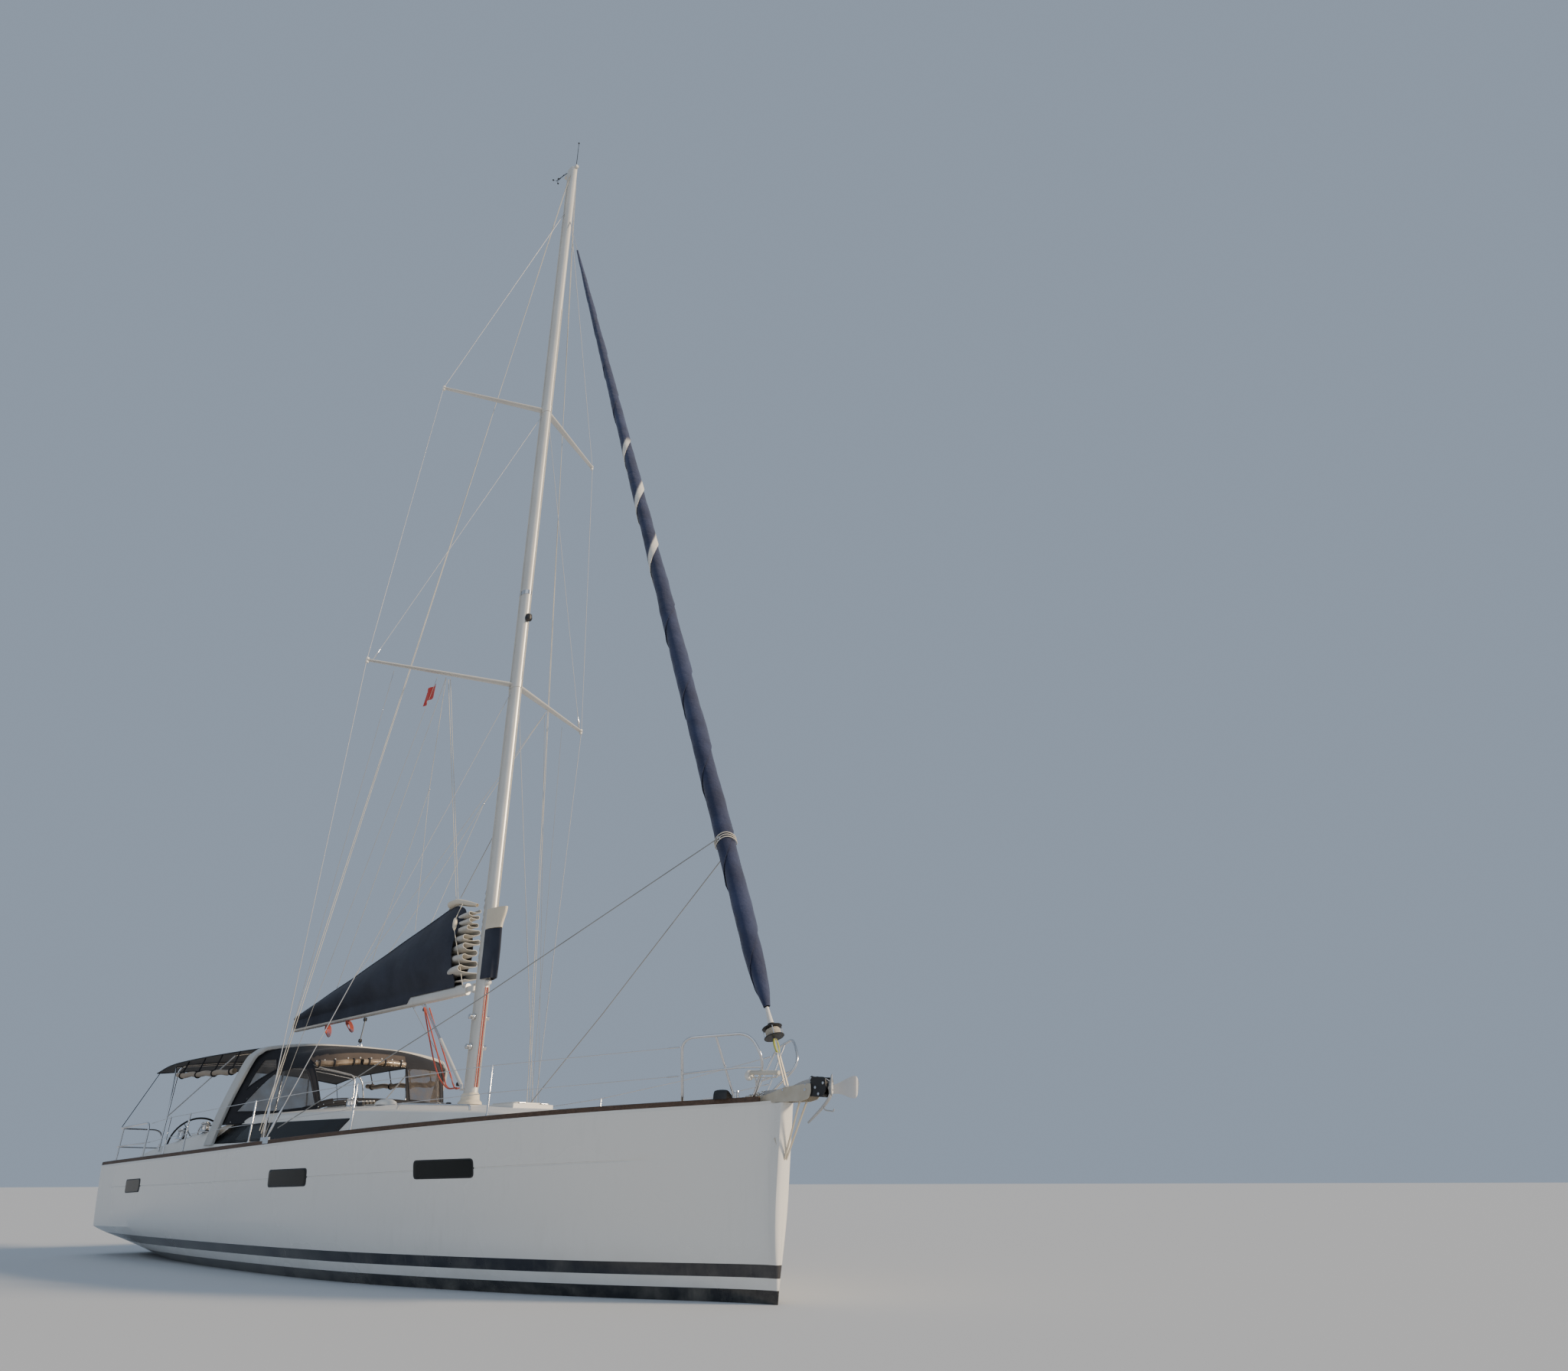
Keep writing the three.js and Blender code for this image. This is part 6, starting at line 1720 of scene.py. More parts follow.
def rails():
    """Pulpit, pushpit and the wires on their stanchions, drawn to starboard and mirrored."""
    pulpit = Form()
    pulpit.tube(bent(PULPIT_CORNERS, 0.14, 7), TOP_TUBE, STAINLESS, 16)
    corners = [Vector(p) for p in PULPIT_CORNERS]
    low_aft = corners[0].lerp(corners[1], (2.04 - 1.76) / (2.37 - 1.76))
    low_fore = corners[3].lerp(corners[4], (2.075 - 2.13) / (1.88 - 2.13))
    pulpit.tube([low_aft, (6.76, -0.36, 2.075), low_fore], LOW_TUBE, STAINLESS, 12)
    pulpit.tube(bent([(LEG_X, LEG_Y, 1.78), (LEG_X, LEG_Y, 1.84), corners[1].lerp(corners[2], 0.5)], 0.05),
                0.012, STAINLESS, 12)
    for x, y in ((6.04, -0.47), (LEG_X, LEG_Y), (6.70, -0.108)):
        pad_base(pulpit, x, y)
    pushpit = Form()
    pushpit.tube(bent([(-5.30, -2.0, 1.35), (-5.30, -2.0, 1.945), (-6.96, -1.96, 1.905), (-7.0, -1.25, 1.90),
                       (-7.0, -1.23, 1.33)], 0.17, 7), TOP_TUBE, STAINLESS, 16)
    pushpit.tube(bent([(-5.30, -2.0, 1.64), (-6.96, -1.96, 1.615), (-7.0, -1.245, 1.61)], 0.17, 7),
                 LOW_TUBE, STAINLESS, 12)
    pushpit.tube([(-6.70, -1.97, 1.33), (-6.70, -1.966, 1.908)], 0.012, STAINLESS, 12)
    for x, y in ((-5.3, -2.0), (-6.7, -1.97), (-7.0, -1.23)):
        pad_base(pushpit, x, y)
    rail = Form()
    for after_z, above_foot, ahead_z, radius in ((1.925, STANCHION_HIGH - 0.043, 2.29, 0.0042),
                                                 (1.640, LOWER_WIRE - 0.03, 2.01, 0.0036)):
        path = [(-5.264, -1.985, after_z), *[stanchion_foot(x) + up_by(above_foot) for x in STANCHION_XS],
                (6.195, -0.655, ahead_z)]
        rail.tube(path, radius, WIRE, 8)
        for end, towards in ((path[0], path[1]), (path[-1], path[-2])):
            end, towards = Vector(end), Vector(towards)
            rail.solid([(0.008, 0.02), (0.008, 0.14), (0.004, 0.16)], end, towards - end, STAINLESS, 12)
    for x in STANCHION_XS:
        foot = stanchion_foot(x)
        high = sheer(x) + STANCHION_HIGH - foot.z
        rail.solid([(HAND_TUBE, 0), (HAND_TUBE, high - 0.008), (0.008, high)], foot, UP, STAINLESS, 18)
        rail.solid([(0.036, 0), (0.036, 0.006), (0.020, 0.012), (0.018, 0.075)], foot, UP, STAINLESS, 20)
        rail.turned([(HAND_TUBE, 0), (0.0155, 0.004), (0.0155, 0.020), (HAND_TUBE, 0.024)],
                    foot + up_by(LOWER_WIRE - 0.042), UP, STAINLESS, 16)
    for form, name, node_name in ((pulpit, "pulpit_rail", "pulpit"), (pushpit, "pushpit_rail", "pushpit"),
                                  (rail, "guardrail_wires", "guardrail")):
        form.place_pair(name + "_*", "stainless", node_name + "_*")


# Lids, platform and helm

def lids():
    """The hatches and the locker lid with their hinges, and the companionway's sliding hatch."""
    for name, low, high, top, hinge, glazed in HATCHES:
        lid = Form()
        base = top + PLAY
        outline = rounded_outline(box_corners(low, high), 0.06, 7)
        steps = ((0.97, 0), (1, 0.002), (1, 0.015), (0.985, 0.020), (0.88, 0.020 if glazed else 0.022))
        lid.skin(drawn_in(outline, [(share, base + z) for share, z in steps]), SPAR if glazed else DECK_WHITE)
        if glazed:
            steps = ((0.87, 0.010), (0.87, 0.0215), (0.85, 0.022), (0.3, 0.022))
            lid.skin(drawn_in(outline, [(share, base + z) for share, z in steps]), GLASS_DARK)
        knuckles = Form()
        axis = Vector(((high[0] if hinge > 0 else low[0]) + hinge * 0.016, 0, base + 0.011))
        for side in (-1, 1):
            y = side * (high[1] - low[1]) * 0.3
            lid.rod(0.009, PLAY, 0.0453, axis + Vector((0, y, 0)), (0, -side, 0), STAINLESS, 16)
            y0, y1 = sorted((y - side * PLAY, y - side * 0.0453))
            x0, x1 = sorted((axis.x, axis.x - hinge * 0.05))
            lid.block((x0, y0, axis.z - 0.005), (x1, y1, axis.z + 0.005), STAINLESS)
            knuckles.rod(0.009, 0, 0.045, axis + Vector((0, y, 0)), (0, side, 0), STAINLESS, 16)
            y0, y1 = sorted((y, y + side * 0.045))
            knuckles.block((axis.x - 0.006, y0, top - 0.004), (axis.x + 0.006, y1, axis.z), STAINLESS)
        if not glazed:
            for y in (-0.2, 0.2):
                lid.solid([(0.024, 0), (0.022, 0.003)], (high[0] - 0.08, y, base + 0.0205), UP, STAINLESS,
                          16)
        body = "locker_lid" if name == "anchor_locker_lid" else name
        lid.place(name + "_leaf", body, "tinted_glass" if glazed else "gelcoat", [name], 0.0015)
        knuckles.place(name + "_hinges", "root", "stainless")
    slide = Form()
    outline = rounded_outline(box_corners((-2.60, -0.35), (-2.0, 0.35)), 0.03, 5)
    steps = ((0.98, 0), (1, 0.003), (1, 0.018), (0.985, 0.0235), (0.2, 0.024))
    slide.skin(drawn_in(outline, [(share, 2.1123 + z) for share, z in steps]), GLASS_DARK)
    slide.tube(bent([(-2.52, -0.14, 2.134), (-2.52, -0.14, 2.15), (-2.52, 0.14, 2.15),
                     (-2.52, 0.14, 2.134)], 0.02), 0.007, STAINLESS, 10)
    slide.place("companionway_slide", "companion_hatch", "tinted_glass", ["companionway_hatch"])


def swim_platform():
    panel = Form()
    outline = rounded_outline(box_corners((-1.15, 0.33), (1.15, 1.24)), 0.02, 4)
    steps = ((0.995, 0.0), (1, 0.004), (1, 0.056), (0.995, 0.06))
    panel.skin(drawn_in(outline, [(share, TRANSOM_X + x) for share, x in steps], upright=True), DECK_WHITE)
    for side in (-1, 1):
        y = side * 0.8 - side * PLAY
        y0, y1 = sorted((y, y - side * 0.09))
        panel.rod(0.014, 0, 0.09, (HINGE_X, y, HINGE_Z), (0, -side, 0), STAINLESS, 16)
        panel.block((-7.107, y0, 0.31), (-7.093, y1, 0.40), STAINLESS)
        panel.block((-7.1, y0, 0.37), (-7.06, y1, 0.40), STAINLESS)
    panel.place("platform_panel", "swim_platform", "gelcoat", ["swim_platform"], 0.002)
    slats = planks((TRANSOM_X + 0.0605, -1.05, 0.40), (0, 2.10, 0), (0, 0, 0.76), 0.004)
    settle(slats, "swim_platform")


HELM_Y, WHEEL_X, WHEEL_Z, WHEEL_RADIUS = 1.1, -5.67, 1.59, 0.460


def helms():
    """Two consoles with compass, instruments, grab bar and wheel; the engine lever is to starboard."""
    for side_name, side in SIDES:
        pod = Form()
        y = side * HELM_Y
        rows = [(0.9803, -5.60, -5.20, 0.150), (1.25, -5.575, -5.24, 0.160), (1.50, -5.56, -5.26, 0.170),
                (1.70, -5.55, -5.30, 0.175), (1.79, -5.54, -5.33, 0.165)]
        rings = []
        for z, xa, xb, half in rows:
            outline = rounded_outline(box_corners((xa, y - half), (xb, y + half)), 0.055, 6)
            rings.append([(p[0], p[1], z) for p in outline])
        crown = [Vector(p) for p in rings[-1]]
        middle = sum(crown, up_by(0)) / len(crown)
        rings.append([p.lerp(middle, 0.15) for p in crown])
        pod.skin(rings, DECK_WHITE)
        pod.turned([(0, 0), (0.062, 0), (0.066, 0.006), (0.052, 0.018), (0, 0.020)], (-5.43, y, 1.785), UP,
                   BLACK, 28)
        pod.ball((-5.43, y, 1.792), 0.046, GLASS_DARK, 0.75, 20)
        pod.solid([(0.032, 0), (0.032, 0.16), (0.028, 0.165)], (-5.50, y, WHEEL_Z), (-1, 0, 0), STAINLESS, 24)
        pod.block((-5.566, y - 0.13, 1.60), (-5.553, y - 0.02, 1.70), BLACK)
        pod.block((-5.568, y + 0.02, 1.60), (-5.553, y + 0.13, 1.70), BLACK)
        pod.block((-5.5695, y - 0.12, 1.61), (-5.566, y - 0.03, 1.69), GLASS_DARK)
        pod.tube(bent([(-5.30, y - 0.16, 1.45), (-5.24, y - 0.16, 1.92), (-5.24, y + 0.16, 1.92),
                       (-5.30, y + 0.16, 1.45)], 0.08, 7), HAND_TUBE, STAINLESS, 14)
        if side < 0:
            pod.solid([(0.034, 0), (0.034, 0.02), (0.012, 0.03)], (-5.45, y - 0.175, 1.45), (0, -1, 0),
                      STAINLESS, 20)
            pod.tube([(-5.45, y - 0.20, 1.45), (-5.43, y - 0.215, 1.58)], 0.008, STAINLESS, 10)
            pod.ball((-5.43, y - 0.215, 1.59), 0.018, BLACK)
        pod.place("helm_pod_" + side_name, "root", "gelcoat", ["helm_console_" + side_name], 0.002, 40)
        wheel = Form()
        centre = Vector((WHEEL_X, y, WHEEL_Z))
        rim = [centre + Vector((0, sin(a), cos(a))) * WHEEL_RADIUS for a in spread(0, FULL_TURN, 73)]
        wheel.tube(rim, 0.0145, LEATHER, 14)
        seam = WHEEL_RADIUS - 0.0135
        stitch = [centre + Vector((-0.0008, sin(a) * seam, cos(a) * seam))
                  for a in spread(0, FULL_TURN, 145)]
        wheel.tube(stitch, 0.0022, SAILCLOTH, 5)
        wheel.solid([(0.030, -0.022), (0.044, -0.012), (0.045, 0.030), (0.036, 0.045)], centre, (1, 0, 0),
                    STAINLESS, 28)
        for angle in turns(5, 0.5):
            out = Vector((0, sin(angle), cos(angle)))
            wheel.tube([centre + out * 0.03, centre + out * 0.452], [0.011, 0.0075], STAINLESS, 12)
        wheel.place("wheel_rim_" + side_name, "wheel_" + side_name, "wheel_leather",
                    ["steering_wheel_" + side_name])


SLAT_PITCH, SLAT_DEEP = 0.052, 0.004


def geometry_tree(name, inputs):
    """A Geometry Nodes tree with a mesh in, a mesh out and these values to set. Returns it and its inputs."""
    tree = bpy.data.node_groups.new(name, "GeometryNodeTree")
    for label, kind in (("Geometry", "Geometry"), *inputs):
        tree.interface.new_socket(label, in_out="INPUT", socket_type="NodeSocket" + kind)
    tree.interface.new_socket("Geometry", in_out="OUTPUT", socket_type="NodeSocketGeometry")
    return tree, tree.nodes.new("NodeGroupInput").outputs


def copies(tree, given, points, shape, **more):
    """Ends a tree with a copy of the shape on every point, made real and given its finish."""
    laid = node(tree, "GeometryNodeInstanceOnPoints",
                {"Points": points, "Instance": shape, **more}).outputs[0]
    real = node(tree, "GeometryNodeRealizeInstances", {"Geometry": laid}).outputs[0]
    done = node(tree, "GeometryNodeSetMaterial", {"Geometry": real, "Material": given["Finish"]}).outputs[0]
    tree.links.new(done, tree.nodes.new("NodeGroupOutput").inputs[0])
    return tree


def grown(name, points, edges, tree, values, smooth=True):
    """What a tree of copies makes of some points, as a piece with a plain mesh."""
    piece = link(name, bpy.data.meshes.new(name))
    piece.data.from_pydata([tuple(p) for p in points], edges, [])
    step = piece.modifiers.new(tree.name, "NODES")
    step.node_group = tree
    for item in tree.interface.items_tree:
        if item.item_type == "SOCKET" and item.in_out == "INPUT" and item.name in values:
            step[item.identifier] = values[item.name]
    mesh = plain_mesh(piece, name)
    piece.modifiers.clear()
    piece.data = mesh
    if smooth:
        mesh.polygons.foreach_set("use_smooth", [True] * len(mesh.polygons))
    return piece


def slat_tree():
    """A row of flat slats side by side."""
    tree, given = geometry_tree("slat_panel", (
        ("Count", "Int"), ("Pitch", "Float"), ("Slat width", "Float"), ("Slat length", "Float"),
        ("Slat depth", "Float"), ("Finish", "Material")))
    step = node(tree, "ShaderNodeCombineXYZ", {"Y": given["Pitch"]}).outputs[0]
    halves = {axis: calc(tree, "MULTIPLY", given[label], 0.5)
              for axis, label in (("X", "Slat length"), ("Y", "Pitch"), ("Z", "Slat depth"))}
    first = node(tree, "ShaderNodeCombineXYZ", halves).outputs[0]
    line = node(tree, "GeometryNodeMeshLine",
                {"Count": given["Count"], "Start Location": first, "Offset": step},
                mode="OFFSET").outputs[0]
    size = node(tree, "ShaderNodeCombineXYZ", {"X": given["Slat length"], "Y": given["Slat width"],
                                               "Z": given["Slat depth"]}).outputs[0]
    return copies(tree, given, line, node(tree, "GeometryNodeMeshCube", {"Size": size}).outputs[0])


def planks(start, across, along, gap):
    """Teak slats laid over a flat panel: across and along are its sides, and each slat runs across."""
    tree = bpy.data.node_groups.get("slat_panel") or slat_tree()
    across, along = Vector(across), Vector(along)
    count = max(1, round(along.length / SLAT_PITCH))
    pitch = along.length / count
    values = {"Count": count, "Pitch": pitch, "Slat width": pitch - gap, "Slat length": across.length,
              "Slat depth": SLAT_DEEP, "Finish": TEAK}
    piece = grown("teak_slats", [(0, 0, 0)], [], tree, values, smooth=False)
    side, up = across.normalized(), along.normalized()
    turn = Matrix((side, up, side.cross(up))).transposed().to_4x4()
    piece.data.transform(Matrix.Translation(Vector(start)) @ turn)
    return piece


def stud_tree():
    """A low round stud on every point of a mesh."""
    tree, given = geometry_tree("stud_row", (("Radius", "Float"), ("Finish", "Material")))
    stud = node(tree, "GeometryNodeMeshIcoSphere", {"Radius": given["Radius"], "Subdivisions": 2}).outputs[0]
    return copies(tree, given, given["Geometry"], stud)


def studs(name, points, radius, body, finish_used):
    tree = bpy.data.node_groups.get("stud_row") or stud_tree()
    piece = grown(name, points, [], tree, {"Radius": radius, "Finish": finish_used})
    return settle(piece, body)


def cockpit():
    """The table between the seats, teak on seats and sole, and the companionway's opening."""
    table = Form()
    table.block((-4.50, -0.11, 0.9803), (-3.50, 0.11, 1.64), DECK_WHITE)
    for y0, y1 in ((-0.19, -0.114), (-0.11, 0.11), (0.114, 0.19)):
        table.block((-4.60, y0, 1.655), (-3.40, y1, 1.69), TEAK)
    table.block((-4.56, -0.15, 1.64), (-3.44, 0.15, 1.655), DECK_WHITE)
    for y in (-0.09, 0.09):
        table.block((-4.50, y - 0.006, 1.6895), (-3.50, y + 0.006, 1.70), TEAK)
    table.tube(bent([(-4.53, -0.10, 1.30), (-4.62, -0.10, 1.62), (-4.62, 0.10, 1.62), (-4.53, 0.10, 1.30)],
                    0.05), HAND_TUBE, STAINLESS, 12)
    table.place("table_leaves", "root", "teak", ["cockpit_table"], 0.004)
    seat, sole = SEAT_HEIGHT + 0.0005, SOLE_HEIGHT + 0.0005
    # Columns: corner of the panel, its sides along x and y
    panels = ((-4.98, 0.46, seat, 2.08, 1.0), (-2.90, -0.46, seat, -2.08, -1.0),
              (-4.98, -0.40, sole, 2.08, 0.27), (-4.98, 0.13, sole, 2.08, 0.27),
              (-6.60, -0.80, sole, 0.95, 1.6))
    for k, (x, y, z, across, along) in enumerate(panels):
        piece = planks((x, y, z), (across, 0, 0), (0, along, 0), 0.005)
        piece.name = f"cockpit_teak_{k + 1}"
        settle(piece, "root")
    door = Form()
    door.block((-2.862, -0.33, 1.0), (-2.848, 0.33, 2.0), GLASS_DARK)
    for y in (-0.36, 0.33):
        door.block((-2.872, y, 0.99), (-2.848, y + 0.03, 2.0), TEAK)
    door.block((-2.872, -0.36, 2.0), (-2.848, 0.36, 2.03), TEAK)
    for z in (1.15, 1.28, 1.41):
        door.block((-2.999, -0.28, z), (-2.88, 0.28, z + 0.02), TEAK)
    door.place("companionway_door", "root", "teak", round_edges=0.003)


def winch(form, at, size=1.0):
    profile = [(0.098, 0), (0.100, 0.008), (0.085, 0.020), (0.066, 0.045), (0.058, 0.085),
               (0.060, 0.118), (0.078, 0.136), (0.080, 0.150), (0.060, 0.158), (0.058, 0.172),
               (0.030, 0.178), (0.014, 0.178), (0.014, 0.170)]
    form.solid([(r * size, z * size) for r, z in profile], at, UP, STAINLESS, 36)
    for angle in turns(12):
        out = Vector((cos(angle), sin(angle), 0))
        form.tube([Vector(at) + out * 0.066 * size + up_by(0.04 * size),
                   Vector(at) + out * 0.061 * size + up_by(0.118 * size)], 0.004 * size, STAINLESS, 6)


def roof_height(x, y):
    return roof_top(ROOF.at(x), y)


def cleat(form, at, long=0.26, turn=0.0):
    at = Vector(at)
    along = Vector((cos(turn), sin(turn), 0))
    form.tube([at + along * s * long / 2 + Vector((0, 0, 0.052 + 0.008 * abs(s)))
               for s in (-1, -0.6, -0.2, 0.2, 0.6, 1)], [0.007, 0.011, 0.014, 0.014, 0.011, 0.007],
              STAINLESS, 12)
    for s in (-0.22, 0.22):
        form.tube([at + along * s * long, at + along * s * long * 0.8 + up_by(0.052)], [0.018, 0.011],
                  STAINLESS, 12)


def deck_gear():
    """Winches, cleats, handrails, sheet tracks, vents, clutches and the lines led aft."""
    gear = Form()
    for side in (-1, 1):
        for x, y, size in ((-4.75, 1.66, 1.0), (-3.75, 1.68, 0.86)):
            winch(gear, (x, side * y, roof_height(x, y) - 0.006), size)
        winch(gear, (-1.05, side * 0.70, roof_height(-1.05, 0.70) - 0.006), 0.72)
        for x, turn in ((6.30, -0.5), (-0.95, 0.05), (-6.6, 0.02)):
            half = HULL.at(x)[1] - (0.13 if x > 0 else 0.09)
            cleat(gear, (x, side * half, deck_top(x, half) - 0.004), turn=-side * turn)
        rail = []
        for x, inwards in ((2.9, -0.02), (1.4, 0.02)):
            row = ROOF.at(x)
            y = row[2] - 0.16
            ends = [(x, side * y, roof_top(row, y)), (x + inwards, side * y, roof_top(row, y) + 0.055)]
            rail += ends if inwards < 0 else ends[::-1]
        gear.tube(bent(rail, 0.05), HAND_TUBE, STAINLESS, 12)
        track = [(x, side * (ROOF.at(x)[1] + 0.17), deck_top(x, ROOF.at(x)[1] + 0.17) + 0.006)
                 for x in spread(-1.9, 0.3, 9)]
        gear.tube(track, 0.014, BLACK, 8, 0.6)
        x, y, z = track[4]
        gear.block((x - 0.07, y - 0.026, z), (x + 0.07, y + 0.026, z + 0.04), BLACK)
        block_wheel(gear, (x, y, z + 0.055), 0.028, 0.036, 0.034, 0.006, 0.012)
    for y, vent in ((-0.62, [(0, 0), (0.15, 0), (0.15, 0.02), (0.13, 0.05), (0.08, 0.075), (0, 0.085)]),
                    (0.62, [(0, 0), (0.12, 0), (0.12, 0.02), (0.10, 0.05), (0.06, 0.07), (0, 0.08)])):
        gear.turned(vent, (-0.10, y, roof_height(-0.10, 0.62) - 0.004), UP, WHITE_PLASTIC, 32)
    for side in (-1, 1):
        for k in range(4):
            y = side * (0.50 + k * 0.055)
            z = roof_height(-1.18, y)
            gear.block((-0.86, y - 0.021, z - 0.004), (-0.68, y + 0.021, z + 0.045), BLACK)
            gear.block((-0.84, y - 0.012, z + 0.045), (-0.72, y + 0.012, z + 0.062), WHITE_PLASTIC)
            path = [Vector((x, mix(y, side * (0.16 + 0.03 * k), (x + 0.68) / 1.5), 0))
                    for x in spread(-0.68, 0.82, 7)]
            gear.tube([Vector((p.x, p.y, roof_height(p.x, p.y) + 0.012)) for p in path], 0.0055,
                      (RED_ROPE, GREY_ROPE, SAILCLOTH, GREY_ROPE)[k], 8)
        gear.solid([(0.036, 0), (0.036, 0.016), (0.02, 0.022)], (0.86, side * 0.20, roof_height(0.86, 0.2)),
                   UP, BLACK, 18)
    gear.place("deck_gear", "root", "stainless", smooth=40)


ROLLER_AT = (7.395, 0, 1.846)
WINDLASS_X = 6.24


def bow_roller():
    """The roller's cheeks and floor ahead of the stem, with its rollers, guides and pins."""
    bow = Form()
    outline = [(6.560, 1.760), (7.330, 1.744), (7.430, 1.762), (7.468, 1.815), (7.468, 1.904),
               (7.120, 1.886), (7.010, 1.862)]
    smooth_outline = rounded_outline(outline, 0.022, 4)
    for y in (-0.075, 0.067):
        bow.skin([[(x, y + d, z) for x, z in smooth_outline] for d in (0, 0.008)], ROLLER_STEEL)
    bow.block((6.56, -0.074, 1.79), (7.33, 0.074, 1.824), ROLLER_STEEL)
    bow.rod(0.012, -0.080, 0.080, STAY_FOOT + up_by(0.012), TO_PORT, STAINLESS, 18)
    bow.block((7.03, -0.070, 1.822), (7.15, 0.070, 1.838), ROLLER_STEEL)
    guide = rounded_outline(((7.400, 1.790), (7.600, 1.768), (7.655, 1.840), (7.640, 1.950), (7.470, 1.962)),
                            0.03, 4)
    for y in (-0.058, 0.048):
        bow.skin([[(x, y + d, z) for x, z in guide] for d in (0, 0.010)], BLACK)
    for x, z in ((7.455, 1.945), (7.520, 1.860), (7.622, 1.895), (7.560, 1.800)):
        bow.rod(0.013, -0.070, 0.070, (x, 0, z), TO_PORT, STAINLESS, 18)
        bow.solid([(0.026, -0.044), (0.020, 0), (0.026, 0.044)], (x, 0, z), TO_PORT, BLACK, 20)
    for side in (-1, 1):
        bow.tube([(7.048, side * 0.012, 1.225), (7.30, side * 0.050, 1.752)], 0.013, ROLLER_STEEL, 10, 0.5)
        bow.tube([(7.046, side * 0.020, 1.222), (7.028, side * 0.066, 1.330), (6.985, side * 0.082, 1.425)],
                 0.012, ROLLER_STEEL, 10, 0.4)
    bow.solid([(0.036, -0.064), (0.040, -0.05), (0.028, -0.012), (0.028, 0.012), (0.040, 0.05),
               (0.036, 0.064)], ROLLER_AT, TO_PORT, BLACK, 28)
    bow.rod(0.014, -0.083, 0.083, ROLLER_AT, TO_PORT, STAINLESS, 16)
    bow.rod(0.008, -0.083, 0.083, (7.40, 0, 1.892), TO_PORT, STAINLESS, 12)
    bow.place("bow_roller_cheeks", "root", "stainless", ["bow_roller"], 0.002)


def anchor_over_bow():
    """The anchor lying over the roller: its shank, curved palms and claw."""
    anchor = Form()
    rings = []
    for x, half, low, high in ((6.72, 0.010, 1.8243, 1.872), (7.08, 0.010, 1.8243, 1.884),
                               (7.33, 0.011, 1.886, 1.940), (7.56, 0.011, 1.890, 1.950),
                               (7.68, 0.013, 1.800, 1.900)):
        rings.append(Vector((x, half, low, high)))
    shank = []
    for x, half, low, high in curved(rings, 8):
        shank.append([(x, -half, low), (x, half, low), (x, half, high), (x, -half, high)])
    anchor.skin(shank, ZINC)
    palm_rows = ((-0.004, 7.655, 1.796, 1.868), (-0.070, 7.715, 1.796, 1.905),
                 (-0.130, 7.790, 1.762, 1.950), (-0.166, 7.826, 1.758, 1.960),
                 (-0.188, 7.836, 1.790, 1.936), (-0.197, 7.842, 1.838, 1.890))
    for side in (-1, 1):
        rings = []
        for y, x, low, high in curved(palm_rows, 6):
            rings.append([(x - 0.016, side * abs(y), low + 0.012), (x + 0.002, side * abs(y), low),
                          (x + 0.010, side * abs(y), high), (x - 0.008, side * abs(y), high - 0.010)])
        anchor.skin(rings, ZINC)
        anchor.tube([Vector(ring[0]).lerp(Vector(ring[3]), 0.5) for ring in rings[:-4:2]], 0.008, ZINC, 8)
    claw_rows = ((0.020, 7.672, 1.850), (0.022, 7.640, 1.770), (0.020, 7.545, 1.684), (0.016, 7.440, 1.612),
                 (0.005, 7.352, 1.556))
    rings = []
    for half, x, z in curved(claw_rows, 7):
        rings.append([(x, -half, z), (x + 0.004, 0, z - 0.006), (x, half, z),
                      (x + 0.010, half * 0.9, z - 0.009), (x + 0.014, 0, z - 0.015),
                      (x + 0.010, -half * 0.9, z - 0.009)])
    anchor.skin(rings, ZINC)
    anchor.tube(bent([(7.560, 0, 1.690), (7.585, 0, 1.655), (7.690, 0, 1.640), (7.700, 0, 1.662)], 0.015),
                0.007, ZINC, 8)
    anchor.rod(0.014, -0.018, 0.018, (6.755, 0, 1.848), TO_PORT, STAINLESS, 14)
    anchor.place("anchor_casting", "root", "galvanised_steel", ["anchor"], 0.003)


def foredeck():
    """A rolled line's reel on the pulpit, chafe mats on the deck's edge, the windlass and its chain."""
    seat = Form()
    seat.rod(0.021, 0, 0.40, (6.775, -0.212, 2.034), (1, 0, -0.065), CREAM_ROPE, 20)
    seat.solid([(0.046, 0), (0.050, 0.006), (0.050, 0.030), (0.040, 0.042)], (6.735, -0.212, 2.010),
               (1, 0, -0.065), WHITE_PLASTIC, 24)
    seat.tube(bent([(6.80, -0.20, 2.01), (6.80, -0.16, 1.96), (6.775, -0.128, 1.90)], 0.02), 0.009,
              STAINLESS, 10)
    seat.tube([(6.79, -0.212, 1.985), (7.14, -0.212, 1.965), (7.15, -0.205, 2.005)], 0.005, CREAM_ROPE, 8)
    seat.place("pulpit_roller", "root", "stainless", smooth=50)
    mats = Form()
    for side in (-1, 1):
        path = [(6.43, side * 0.205, 1.808), (6.45, side * 0.27, 1.846), (6.468, side * 0.325, 1.872),
                (6.478, side * 0.352, 1.846), (6.482, side * 0.362, 1.79)]
        mats.tube(curved(path, 5), 0.075, BLACK, 14, 0.16)
    mats.place("chafe_mats", "root", "black_fitting", smooth=50)
    windlass = Form()
    z = deck_top(WINDLASS_X, 0) - 0.004
    windlass.turned([(0, 0), (0.085, 0), (0.088, 0.010), (0.060, 0.022), (0.052, 0.05), (0.060, 0.075),
                     (0.050, 0.095), (0.036, 0.10), (0.036, 0.14), (0.046, 0.148), (0.044, 0.16),
                     (0, 0.165)], (WINDLASS_X, 0.09, z), UP, STAINLESS, 32)
    windlass.place("windlass", "root", "stainless")
    chain([(WINDLASS_X, 0.02, z + 0.055), (6.45, 0.012, z + 0.072), (6.60, 0.0, 1.842), (6.735, 0.0, 1.848)])


